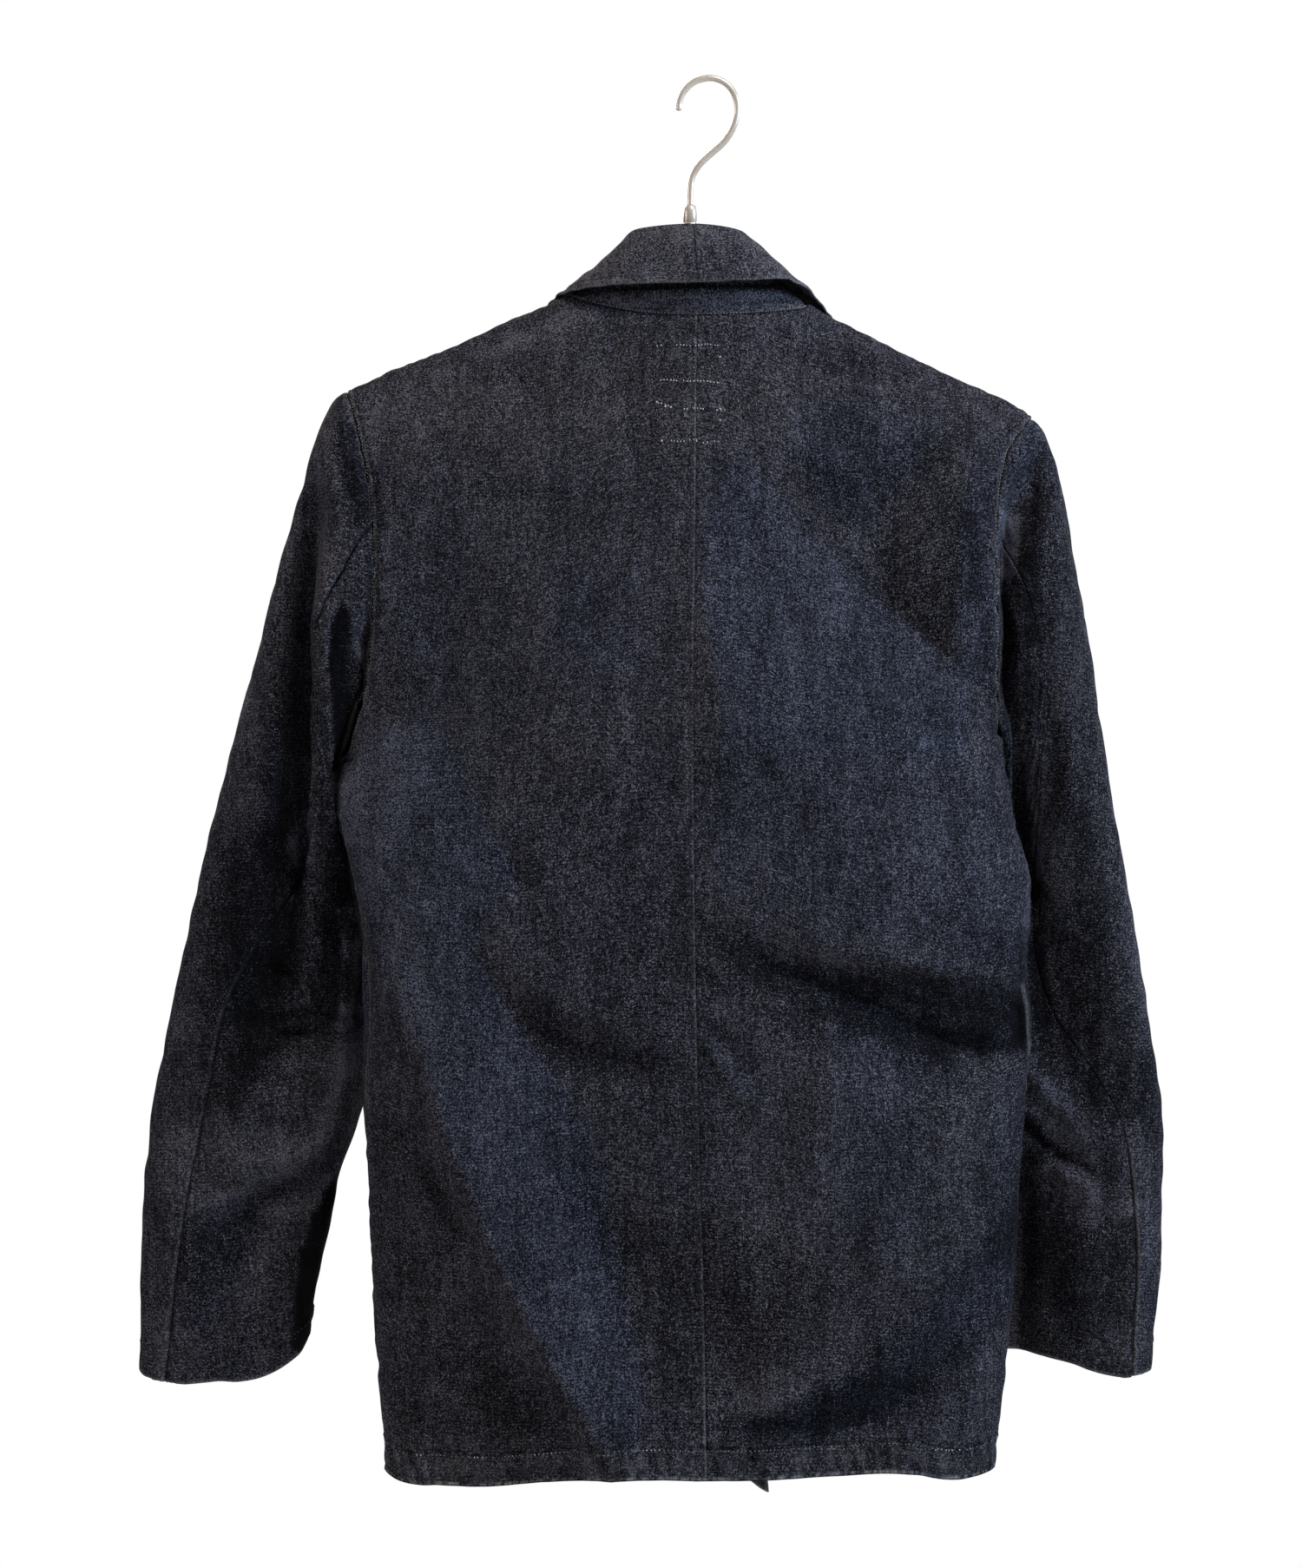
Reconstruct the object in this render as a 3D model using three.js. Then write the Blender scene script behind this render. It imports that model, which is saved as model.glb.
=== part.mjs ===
// Indigo denim jacket, unlined, notched collar, two-piece sleeves, hanging on a plain hanger with a steel hook.
// Millimetres, +Z up. The jacket's back faces -Y, its front +Y; -X is the wearer's left.
// The origin is the point inside the top of the hook where a rail carries it.
//
// Outlines are drafted on a sheet whose units are SCALE mm each: (p, q), p to the right, q down.
// Depth y is in mm. A draft point lies at X = (p - P0) * SCALE, Z = (Q0 - q) * SCALE.
import * as THREE from "three";

// ---------------------------------------------------------------- driving dimensions
const SCALE = 0.53; // mm per draft unit: 419 mm across the shoulders, 700 mm centre back
const P0 = 816, // draft position of the origin
  Q0 = 95;
const CLOTH = 1.5; // wall of the heavy denim, with its seam allowances
const SEAM = 0.25; // each panel stops this far short of its seam line
const ARM_SEAM = 0.4; // and this far short of the armhole, where the two walls meet at an angle
const CENTRE = 795; // middle of the body
const ROUND = 2.6; // squareness of the body's cross-section
const SLEEVE_ROUND = 2.25; // squareness of the sleeve's cross-section
const SIGHT = 2400; // viewing distance that the draft outlines were taken from
const SIGHT_P = 750,
  SIGHT_Q = 903;
const TOP = { L: 452, R: 481 }; // shoulder tips
const HEM = 1690; // hem at the sides
const PIT = { L: 880, R: 868 }; // lowest point of each armhole
const WIRE_R = 1.9; // hook wire radius
const BUTTON_R = 10.5,
  BUTTON_T = 3.6;

// ---------------------------------------------------------------- small maths
// A smooth curve through given points that doesn't overshoot them.
function curve(points) {
  const x = points.map((a) => a[0]),
    y = points.map((a) => a[1]),
    n = x.length,
    d = [],
    m = new Array(n).fill(0);
  for (let i = 0; i < n - 1; i++) d.push((y[i + 1] - y[i]) / (x[i + 1] - x[i]));
  m[0] = d[0];
  m[n - 1] = d[n - 2];
  for (let i = 1; i < n - 1; i++)
    if (d[i - 1] * d[i] > 0) {
      const w1 = 2 * (x[i + 1] - x[i]) + x[i] - x[i - 1],
        w2 = x[i + 1] - x[i] + 2 * (x[i] - x[i - 1]);
      m[i] = (w1 + w2) / (w1 / d[i - 1] + w2 / d[i]);
    }
  return (t) => {
    if (t <= x[0]) return y[0];
    if (t >= x[n - 1]) return y[n - 1];
    let i = 0;
    while (t > x[i + 1]) i++;
    const h = x[i + 1] - x[i],
      s = (t - x[i]) / h,
      s2 = s * s,
      s3 = s2 * s;
    return (
      y[i] * (2 * s3 - 3 * s2 + 1) +
      m[i] * h * (s3 - 2 * s2 + s) +
      y[i + 1] * (3 * s2 - 2 * s3) +
      m[i + 1] * h * (s3 - s2)
    );
  };
}
// Several columns of a table as curves of its first column.
const curves = (rows) =>
  rows[0].slice(1).map((_, c) => curve(rows.map((r) => [r[0], r[c + 1]])));
const smooth = (t) => {
  t = Math.min(1, Math.max(0, t));
  return t * t * (3 - 2 * t);
};
const mix = (a, b, t) => a + (b - a) * t;
const rad = Math.PI / 180;
const V = (x, y, z) => new THREE.Vector3(x, y, z);
// Draft point at depth y, measured square on.
const at = (p, q, y) => V((p - P0) * SCALE, y, (Q0 - q) * SCALE);
// Draft point at depth y, as seen from the viewing distance.
const seen = (p, q, y) => {
  const f = (SIGHT + y) / SIGHT;
  return at(SIGHT_P + (p - SIGHT_P) * f, SIGHT_Q + (q - SIGHT_Q) * f, y);
};
const away = (p, y) => SIGHT_P + ((p - SIGHT_P) * (SIGHT + y)) / SIGHT;

// ---------------------------------------------------------------- body
// Side outlines (q, p), from the hem up to the armpit.
const sideL = curve(
  [
    [1690, 446],
    [1652, 445],
    [1606, 440],
    [1565, 436],
    [1523, 432],
    [1461, 430],
    [1378, 427],
    [1316, 423.5],
    [1270, 420.5],
    [1212, 421],
    [1156, 420],
    [1094, 419],
    [1056, 415],
    [1015, 409],
    [965, 397],
    [926, 388],
    [900, 390.5],
    [880, 395],
  ].reverse(),
);
const sideR = curve(
  [
    [1690, 1143],
    [1652, 1146],
    [1627, 1150],
    [1573, 1156],
    [1523, 1162],
    [1440, 1169],
    [1357, 1173],
    [1287, 1177],
    [1233, 1183],
    [1187, 1187],
    [1150, 1184],
    [1125, 1181],
    [1094, 1182],
    [1056, 1185],
    [1015, 1184],
    [986, 1177],
    [957, 1167],
    [911, 1158],
    [868, 1153],
  ].reverse(),
);
// Back armhole seams (q, p), from the armpit up to the shoulder tip.
const armL = curve(
  [
    [880, 395],
    [841, 407],
    [808, 418],
    [768, 425],
    [727, 428],
    [685, 429],
    [648, 429.5],
    [615, 429],
    [561, 423],
    [515, 414],
    [482, 407],
    [452, 400],
  ].reverse(),
);
const armR = curve(
  [
    [868, 1153],
    [830, 1151],
    [797, 1150.5],
    [762, 1150.5],
    [739, 1150],
    [698, 1148],
    [665, 1147],
    [631, 1148],
    [611, 1149],
    [565, 1155],
    [532, 1165],
    [507, 1177],
    [481, 1188],
  ].reverse(),
);
// Shoulder line (p, q); between the neck points it is only a guide for the rows of cloth.
const ridge = curve([
  [330, 484],
  [400, 452],
  [420, 443],
  [461, 424.5],
  [502, 409],
  [544, 391],
  [585, 371.5],
  [627, 354],
  [655, 341],
  [720, 313],
  [770, 293],
  [805, 284],
  [840, 293],
  [890, 326],
  [932, 351.5],
  [953, 364],
  [990, 380.5],
  [1040, 405],
  [1082, 425.5],
  [1123, 444.5],
  [1156, 458],
  [1177, 470],
  [1188, 480],
  [1250, 530],
]);
const NECK_L = 655, // neck points, where the collar seam crosses the shoulder line
  NECK_R = 932,
  NECK_Q = 367.5; // collar seam at the centre back, square on
// Half-depth of the body by the drop below the shoulder line (mm, mm).
const depthB = curve([
  [0, 0],
  [1.5, 6.5],
  [4, 10.5],
  [8, 14],
  [14, 17.5],
  [24, 22],
  [41, 28],
  [65, 35],
  [100, 42],
  [150, 49],
  [220, 55],
  [320, 58],
  [450, 58],
  [600, 57],
  [760, 56],
]);
const depthF = curve([
  [0, 0],
  [1.5, 6.5],
  [4, 10],
  [8, 13],
  [14, 16],
  [24, 19.5],
  [41, 24],
  [65, 29],
  [100, 35],
  [150, 42],
  [220, 48],
  [320, 52],
  [450, 54],
  [600, 53],
  [780, 52],
]);
// Turn of the armhole edge round the body, from the armpit (0) to the shoulder tip (1).
const turnB = curve([
  [0, 90],
  [0.03, 82],
  [0.08, 75],
  [0.2, 66],
  [0.4, 60],
  [0.6, 58],
  [1, 58],
]);
const turnF = curve([
  [0, 90],
  [0.03, 80],
  [0.08, 71],
  [0.2, 60],
  [0.4, 54],
  [0.65, 54],
  [0.85, 56.5],
  [1, 58],
]);
const pitT = {
  L: (HEM - PIT.L) / (HEM - TOP.L),
  R: (HEM - PIT.R) / (HEM - TOP.R),
};
const armTurn = (side, t, back) =>
  (back ? turnB : turnF)((t - pitT[side]) / (1 - pitT[side])) * rad;
// Half-width of the body on each side at level t: 0 at the hem, 1 at the shoulder line.
function halfWidth(side, t) {
  const q = HEM - (HEM - TOP[side]) * t;
  if (t <= pitT[side])
    return side === "L" ? CENTRE - sideL(q) : sideR(q) - CENTRE;
  const y = -0.667 * depthB((q - TOP[side]) * SCALE),
    p = side === "L" ? away(armL(q), y) : away(armR(q), y);
  return Math.abs(CENTRE - p) / Math.sin(armTurn(side, t, true));
}
// Hem line round the body: level at the back, longer towards the centre front.
function hemLine(a) {
  const r = Math.abs(a) / rad;
  return r <= 90
    ? mix(1685, HEM, Math.sin(r * rad)) +
        (a < 0 ? 6 : -4) * Math.sin(2 * r * rad) ** 2
    : HEM + 24 * smooth((r - 90) / 80);
}
// Soft folds of the back: a path (p, q), a half-width and a height out of the cloth, in draft units and mm.
const FOLDS_BACK = [
  { w: 70, a: 8, path: [[415, 935], [500, 1190], [590, 1410], [700, 1690]] },
  { w: 58, a: -11, path: [[436, 1230], [490, 1420], [560, 1580], [620, 1700]] },
  { w: 80, a: -3.5, path: [[600, 1120], [740, 1360], [880, 1560]] },
  { w: 40, a: -8, path: [[850, 1090], [990, 1136], [1185, 1190]] },
  { w: 70, a: 5, path: [[840, 990], [1010, 1035], [1190, 1060]] },
  { w: 44, a: -4.5, path: [[1118, 545], [1065, 640], [1020, 720]] },
  { w: 52, a: 3.5, path: [[850, 540], [960, 680], [1110, 790]] },
  { w: 46, a: -4, path: [[1130, 1440], [1010, 1570], [880, 1690]] },
];
const FOLDS_FRONT = [
  { w: 70, a: 5, path: [[1090, 1040], [1045, 1280], [1010, 1690]] },
  { w: 60, a: -5, path: [[1120, 1240], [1090, 1450], [1080, 1690]] },
  { w: 70, a: 5, path: [[490, 1040], [545, 1280], [590, 1690]] },
  { w: 60, a: -4.5, path: [[470, 1200], [500, 1450], [510, 1690]] },
  { w: 46, a: -3.5, path: [[470, 700], [560, 860], [640, 980]] },
  { w: 46, a: -3.5, path: [[1110, 710], [1020, 860], [950, 980]] },
];
function toPath(p, q, path) {
  let best = 1e9;
  for (let i = 0; i + 1 < path.length; i++) {
    const [ax, ay] = path[i],
      [bx, by] = path[i + 1],
      dx = bx - ax,
      dy = by - ay,
      s = Math.min(
        1,
        Math.max(0, ((p - ax) * dx + (q - ay) * dy) / (dx * dx + dy * dy)),
      ),
      ex = p - ax - s * dx,
      ey = q - ay - s * dy;
    best = Math.min(best, ex * ex + ey * ey);
  }
  return Math.sqrt(best);
}
const folded = (folds, p, q) =>
  folds.reduce(
    (sum, f) => sum + f.a * Math.exp(-((toPath(p, q, f.path) / f.w) ** 2)),
    0,
  );
// The body's cloth: level t, turn a (0 centre back, +-180 degrees centre front, negative on the wearer's left).
function bodyDraft(t, a) {
  const k = Math.sin(a),
    back = Math.cos(a) >= 0,
    p = CENTRE + (k < 0 ? halfWidth("L", t) : halfWidth("R", t)) * k,
    hq = hemLine(a),
    rq = ridge(p),
    q = hq + (rq - hq) * t,
    d = (q - rq) * SCALE,
    g = Math.pow(
      Math.max(0, 1 - Math.pow(Math.abs(k), ROUND)),
      1 / ROUND,
    ),
    base = (back ? -depthB(d) : depthF(d)) * g,
    fade = smooth(d / 90) * g,
    y =
      base +
      fade *
        (back
          ? -folded(FOLDS_BACK, pp(p, base), qq(q, base))
          : folded(FOLDS_FRONT, p, q));
  return [p, q, y];
}
const pp = (p, y) => SIGHT_P + ((p - SIGHT_P) * SIGHT) / (SIGHT + y);
const qq = (q, y) => SIGHT_Q + ((q - SIGHT_Q) * SIGHT) / (SIGHT + y);
const body = (t, a) => at(...bodyDraft(t, a));
// The turn at which level t passes draft position p, on the back or on the front.
function turnAt(t, p, back) {
  const w = halfWidth(p < CENTRE ? "L" : "R", t),
    s = Math.asin(Math.max(-1, Math.min(1, (p - CENTRE) / w)));
  return back ? s : p < CENTRE ? -Math.PI - s : Math.PI - s;
}
// Centre back seam (q, p), seen square on.
const centreBack = curve([
  [360, 804],
  [420, 803],
  [640, 801],
  [800, 799],
  [1000, 800],
  [1150, 802],
  [1300, 805],
  [1500, 811],
  [1700, 814],
]);
// Side seams: the left one shows on the back below the waist.
const sideSeamL = curve([
  [0, -92],
  [0.2, -92],
  [0.3, -86],
  [0.38, -79],
  [0.43, -75],
  [0.5, -79],
  [0.58, -86],
  [pitT.L, -90],
]);
const sideSeamR = curve([
  [0, 92],
  [0.36, 90],
  [0.46, 88.5],
  [pitT.R, 90],
]);
// Front edges (t, p): hem to the break of the lapel, then the roll line to the neck point.
const BREAK_Q = 800;
const levelOf = (p, q, hq = 1712) => (hq - q) / (hq - ridge(p));
const edgeL = curve([
  [0, 881],
  [levelOf(850, BREAK_Q), 850],
  [levelOf(772, 600), 772],
  [levelOf(694, 402), 694],
  [levelOf(671, 366), 671],
  [1, NECK_L],
]);
const edgeR = curve([
  [0, 803],
  [levelOf(774, BREAK_Q), 774],
  [levelOf(842, 610), 842],
  [levelOf(912, 414), 912],
  [levelOf(932, 384), 932],
  [1, NECK_R],
]);

// ---------------------------------------------------------------- walls
// A grid of points over a surface, rows by columns, each with the surface's own normal, so that
// two pieces that share a seam line share its normals too.
function sheet(surface, rows, cols) {
  const e = 2e-3,
    clampV = (v) => Math.min(rows[rows.length - 1], Math.max(rows[0], v));
  return rows.map((v) =>
    cols.map((c) => {
      const P = surface(v, c),
        du = surface(v, c + e).sub(surface(v, c - e)),
        dv = surface(clampV(v + e), c).sub(surface(clampV(v - e), c));
      P.n = du.cross(dv).normalize();
      return P;
    }),
  );
}
// A closed wall of even thickness about a grid of points, rows by columns.
function wall(grid, thick = CLOTH) {
  const R = grid.length,
    C = grid[0].length,
    out = [],
    inn = [];
  for (let j = 0; j < R; j++)
    for (let i = 0; i < C; i++) {
      const n = grid[j][i].n.clone().multiplyScalar(thick / 2);
      out.push(V().copy(grid[j][i]).add(n));
      inn.push(V().copy(grid[j][i]).sub(n));
    }
  const all = [...out, ...inn],
    N = R * C,
    idx = [],
    id = (j, i) => j * C + i,
    quad = (a, b, c, d) => {
      // split along the shorter diagonal
      if (
        all[a].distanceToSquared(all[c]) <= all[b].distanceToSquared(all[d])
      )
        idx.push(a, b, c, a, c, d);
      else idx.push(a, b, d, b, c, d);
    };
  for (let j = 0; j + 1 < R; j++)
    for (let i = 0; i + 1 < C; i++) {
      quad(id(j, i), id(j, i + 1), id(j + 1, i + 1), id(j + 1, i));
      quad(N + id(j, i), N + id(j + 1, i), N + id(j + 1, i + 1), N + id(j, i + 1));
    }
  const rim = [];
  for (let i = 0; i < C; i++) rim.push(id(0, i));
  for (let j = 1; j < R; j++) rim.push(id(j, C - 1));
  for (let i = C - 2; i >= 0; i--) rim.push(id(R - 1, i));
  for (let j = R - 2; j >= 1; j--) rim.push(id(j, 0));
  rim.forEach((a, k) => {
    const b = rim[(k + 1) % rim.length];
    idx.push(a, N + a, N + b, a, N + b, b);
  });
  return solid(all, idx);
}
// Geometry of a closed surface with its faces turned outwards.
function solid(points, idx) {
  let v = 0;
  for (let i = 0; i < idx.length; i += 3)
    v += points[idx[i]].dot(
      points[idx[i + 1]].clone().cross(points[idx[i + 2]]),
    );
  if (v < 0)
    for (let i = 0; i < idx.length; i += 3)
      [idx[i + 1], idx[i + 2]] = [idx[i + 2], idx[i + 1]];
  const g = new THREE.BufferGeometry();
  g.setAttribute(
    "position",
    new THREE.Float32BufferAttribute(points.flatMap((a) => [a.x, a.y, a.z]), 3),
  );
  g.setIndex(idx);
  g.computeVertexNormals();
  return g;
}
// Pulls a grid's edges in from its seam lines. first/last: columns; low/high: rows.
function inset(grid, { first = 0, last = 0, low = 0, high = 0 }) {
  const R = grid.length,
    C = grid[0].length,
    pull = (a, b, d) =>
      a.add(b.clone().sub(a).normalize().multiplyScalar(d));
  for (let j = 0; j < R; j++) {
    const f = typeof first === "function" ? first(j) : first,
      l = typeof last === "function" ? last(j) : last;
    if (f) pull(grid[j][0], grid[j][1], f);
    if (l) pull(grid[j][C - 1], grid[j][C - 2], l);
  }
  for (let i = 0; i < C; i++) {
    if (low) pull(grid[0][i], grid[1][i], low);
    if (high) pull(grid[R - 1][i], grid[R - 2][i], high);
  }
  return grid;
}

// ---------------------------------------------------------------- body panels
// Levels below the armpit, and shares of the way from the shoulder tip down to the armpit above it;
// the sleeves' columns start at the same places round the armhole.
const LOW = [0, 0.035, 0.1, 0.19, 0.28, 0.36, 0.43, 0.5, 0.56, 0.61];
const HIGH = [1, 0.97, 0.883, 0.75, 0.587, 0.39, 0.25, 0.117, 0.047, 0.011, 0];
const levels = (side) => [
  ...LOW,
  ...HIGH.map((f) => 1 - (1 - pitT[side]) * f),
];
const COLUMNS = [0, 0.11, 0.22, 0.32, 0.44, 0.56, 0.68, 0.79, 0.88, 0.95, 1];
// Surface normals on both sides of the armhole seam are averaged, so that the two walls are mitred.
function armNormal(side, t, back) {
  const sign = side === "L" ? -1 : 1,
    a = back
      ? sign * armTurn(side, t, true)
      : sign * (Math.PI - armTurn(side, t, false)),
    inn = a + sign * (back ? -0.02 : 0.02),
    up = Math.min(1, t + 1e-3),
    down = t - 1e-3,
    w = share((1 - t) / (1 - pitT[side])) * (back ? 1 : -1),
    n1 = body(t, a)
      .sub(body(t, inn))
      .cross(body(up, inn).sub(body(down, inn)))
      .normalize(),
    n2 = sleeve(side, 0.02, w + 0.02)
      .sub(sleeve(side, 0.02, w - 0.02))
      .cross(sleeve(side, 0.025, w).sub(sleeve(side, 0.004, w)))
      .normalize(),
    out1 = V(0, back ? -1 : 1, 0).addScaledVector(V(sign, 0, 0), 0.6),
    c = sleeveCentre(side, 0.03);
  if (n1.dot(out1) < 0) n1.negate();
  if (n2.dot(sleeve(side, 0.03, w).sub(c)) < 0) n2.negate();
  const n = n1.clone().add(n2),
    half = n.length() / 2;
  return n.normalize().multiplyScalar(Math.min(1.35, 1 / Math.max(0.5, half)));
}
function backSurface(side) {
  const sign = side === "L" ? -1 : 1,
    neckP = side === "L" ? NECK_L : NECK_R;
  const edge = (t) =>
    t <= pitT[side]
      ? (side === "L" ? sideSeamL(t) : sideSeamR(t)) * rad
      : sign * armTurn(side, t, true);
  const centre = (t) => {
    const q = mix(1685, 284, t);
    return turnAt(t, away(centreBack(qq(q, -55)), -55), true);
  };
  const cNeck =
    (turnAt(1, neckP, true) - centre(1)) / (edge(1) - centre(1));
  const top = (c) => {
    if (c >= cNeck - 1e-9) return 1;
    const a = mix(centre(0.95), edge(0.95), c),
      p = CENTRE + halfWidth(side, 0.95) * Math.sin(a),
      q = mix(NECK_Q, ridge(neckP), Math.abs(c / cNeck) ** 2.4),
      hq = hemLine(a);
    return Math.min(1, (hq - q) / (hq - ridge(p)));
  };
  return {
    cNeck,
    at: (v, c) => {
      const t = v * top(c);
      return body(t, mix(centre(t), edge(t), c));
    },
  };
}
function backPanel(side) {
  const { cNeck, at } = backSurface(side),
    rows = levels(side),
    grid = sheet(
      at,
      rows,
      COLUMNS.map((c) =>
        c <= 0.32 ? (c / 0.32) * cNeck : mix(cNeck, 1, (c - 0.32) / 0.68),
      ),
    );
  return mitred(grid, side, rows, true);
}
// Mitres the armhole edge of a body panel and pulls its edges in from the seams.
function mitred(grid, side, rows, back) {
  const last = COLUMNS.length - 1;
  rows.forEach((t, j) => {
    if (t < pitT[side] - 1e-9) return;
    const n = armNormal(side, t, back);
    if (n.dot(grid[j][last].n) < 0) n.negate();
    grid[j][last].n = n;
  });
  return inset(grid, {
    first: back ? SEAM : 0,
    last: (j) => (rows[j] > pitT[side] - 0.03 ? ARM_SEAM : SEAM),
    high: SEAM * 1.6,
  });
}
const OVERLAP = 1.4; // the left front lies outside the right one by twice this
function frontSurface(side) {
  const sign = side === "L" ? -1 : 1,
    inner = side === "L" ? edgeL : edgeR;
  const edge = (t) =>
    t <= pitT[side]
      ? (side === "L" ? sideSeamL(t) : sideSeamR(t)) * rad
      : sign * (Math.PI - armTurn(side, t, false));
  return (t, c) => {
    const p = inner(t),
      w = halfWidth(p < CENTRE ? "L" : "R", t),
      s = Math.asin((p - CENTRE) / w),
      a0 = sign < 0 ? -Math.PI - s : Math.PI - s,
      P = body(t, mix(a0, edge(t), c)),
      near = 1 - smooth(Math.abs(P.x - (812 - P0) * SCALE) / 90);
    P.y += (side === "L" ? 1 : -1) * OVERLAP * near * smooth((1 - t) / 0.15);
    // the lower corner of the left front hangs a little lower than the rest
    if (side === "L" && t === 0) P.z -= 6 * Math.exp(-((c / 0.03) ** 2));
    return P;
  };
}
function frontPanel(side) {
  const rows = levels(side);
  return mitred(sheet(frontSurface(side), rows, COLUMNS), side, rows, false);
}
// Front cloth at a draft position, for what lies on it.
function onFront(side, p, q, out) {
  let t = levelOf(p, q);
  for (let i = 0; i < 4; i++) {
    const a = turnAt(t, p, false),
      hq = hemLine(a);
    t = (hq - q) / (hq - ridge(p));
  }
  const [bp, bq, y] = bodyDraft(t, turnAt(t, p, false)),
    near = 1 - smooth(Math.abs((bp - 812) * SCALE) / 90);
  return at(
    p,
    q,
    y + out + (side === "L" ? 1 : -1) * OVERLAP * near * smooth((1 - t) / 0.15),
  );
}

// ---------------------------------------------------------------- sleeves
// s, outer edge (p, q, y), inner edge (p, q, y), half-depth
const SLEEVE = {
  L: curves([
    [0, 400, 452, 0, 395, 880, 0, 30],
    [0.04, 384, 461, 2, 390, 892, 6, 36],
    [0.1, 370, 500, 4, 394, 914, 16, 42],
    [0.2, 345, 585, 9, 404, 950, 26, 46],
    [0.3, 316, 685, 14, 414, 1000, 34, 47],
    [0.4, 289, 785, 19, 424, 1055, 38, 46],
    [0.5, 262, 880, 23, 430, 1115, 40, 44],
    [0.6, 234, 985, 26, 430, 1185, 40, 42],
    [0.7, 206, 1115, 28, 424, 1245, 40, 40],
    [0.78, 185, 1220, 30, 411, 1293, 40, 38],
    [0.86, 170, 1330, 32, 391, 1350, 40, 35],
    [0.93, 164, 1450, 35, 373, 1440, 41, 32],
    [1, 163, 1586, 38, 353, 1553, 42, 29],
  ]),
  R: curves([
    [0, 1188, 480.5, 0, 1153, 868, 0, 30],
    [0.04, 1203, 496, 3, 1161, 881, 8, 36],
    [0.1, 1214, 530, 8, 1164, 903, 22, 41],
    [0.2, 1232, 620, 20, 1158, 945, 42, 43],
    [0.3, 1251, 718, 33, 1148, 990, 56, 43],
    [0.4, 1267, 815, 45, 1137, 1045, 66, 42],
    [0.5, 1282, 915, 54, 1126, 1105, 71, 41],
    [0.6, 1299, 1030, 60, 1114, 1170, 73, 39],
    [0.7, 1316, 1130, 64, 1106, 1235, 74, 38],
    [0.78, 1328, 1215, 66, 1103, 1290, 74, 37],
    [0.86, 1338, 1310, 67, 1107, 1355, 74, 34],
    [0.93, 1337, 1430, 67, 1116, 1440, 73, 31],
    [1, 1324, 1583, 66, 1126, 1549, 72, 28],
  ]),
};
// Share of the way from the outer to the inner edge at which the back and front seams run.
const SEAM_B = {
  L: curve([
    [0, 0.39],
    [0.1, 0.42],
    [0.2, 0.41],
    [0.29, 0.55],
    [0.38, 0.59],
    [0.49, 0.53],
    [0.58, 0.44],
    [0.65, 0.34],
    [0.72, 0.27],
    [0.82, 0.28],
    [0.9, 0.24],
    [1, 0.175],
  ]),
  R: curve([
    [0, 0.39],
    [0.15, 0.46],
    [0.35, 0.56],
    [0.55, 0.6],
    [0.68, 0.5],
    [0.76, 0.35],
    [0.83, 0.22],
    [0.9, 0.14],
    [1, 0.085],
  ]),
};
const SEAM_F = curve([
  [0, 0.75],
  [0.5, 0.78],
  [1, 0.8],
]);
const CUFF_BOW = { L: 16, R: 9 }; // how much lower the back of each cuff hangs
// Broad folds of the sleeves' back sides, as on the body.
const FOLDS_SLEEVE = {
  L: [
    { w: 26, a: 5, path: [[372, 560], [366, 740], [378, 870], [352, 990]] },
    { w: 26, a: -8, path: [[352, 600], [342, 800], [326, 1010]] },
    { w: 34, a: -5, path: [[330, 1170], [385, 1150]] },
    { w: 44, a: 4, path: [[250, 1330], [390, 1250]] },
    { w: 30, a: -4, path: [[290, 1400], [240, 1500]] },
  ],
  R: [
    { w: 24, a: 4, path: [[1192, 520], [1172, 640], [1160, 720]] },
    { w: 26, a: -6, path: [[1205, 560], [1195, 720], [1215, 900]] },
    { w: 30, a: 4.5, path: [[1190, 1240], [1262, 1325]] },
    { w: 30, a: -5, path: [[1185, 1290], [1240, 1370]] },
  ],
};
// The body's own outline, pushed out to leave the sleeves room beside it.
function clearOfBody(P, side, s) {
  const p = P0 + P.x / SCALE,
    q = Q0 - P.z / SCALE,
    t = (HEM - q) / (HEM - ridge(Math.min(1100, Math.max(480, p)))),
    lim = pitT[side];
  if (t > lim + 0.04 || t < -0.02) return P;
  const room = 5.6 * smooth(s / 0.04) * (1 - smooth((t - lim) / 0.04)),
    W = halfWidth(side, Math.min(lim, Math.max(0, t))) * SCALE + room,
    d = (q - ridge(Math.min(1100, Math.max(480, p)))) * SCALE,
    D = (P.y < 0 ? depthB(d) + 6 : depthF(d) + 6) + room,
    k = Math.abs((p - CENTRE) * SCALE) / W,
    r = Math.pow(
      Math.pow(k, ROUND) + Math.pow(Math.abs(P.y) / D, ROUND),
      1 / ROUND,
    );
  if (r >= 1 || r < 0.3) return P;
  P.x = (CENTRE - P0) * SCALE + (P.x - (CENTRE - P0) * SCALE) / r;
  P.y /= r;
  return P;
}
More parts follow.
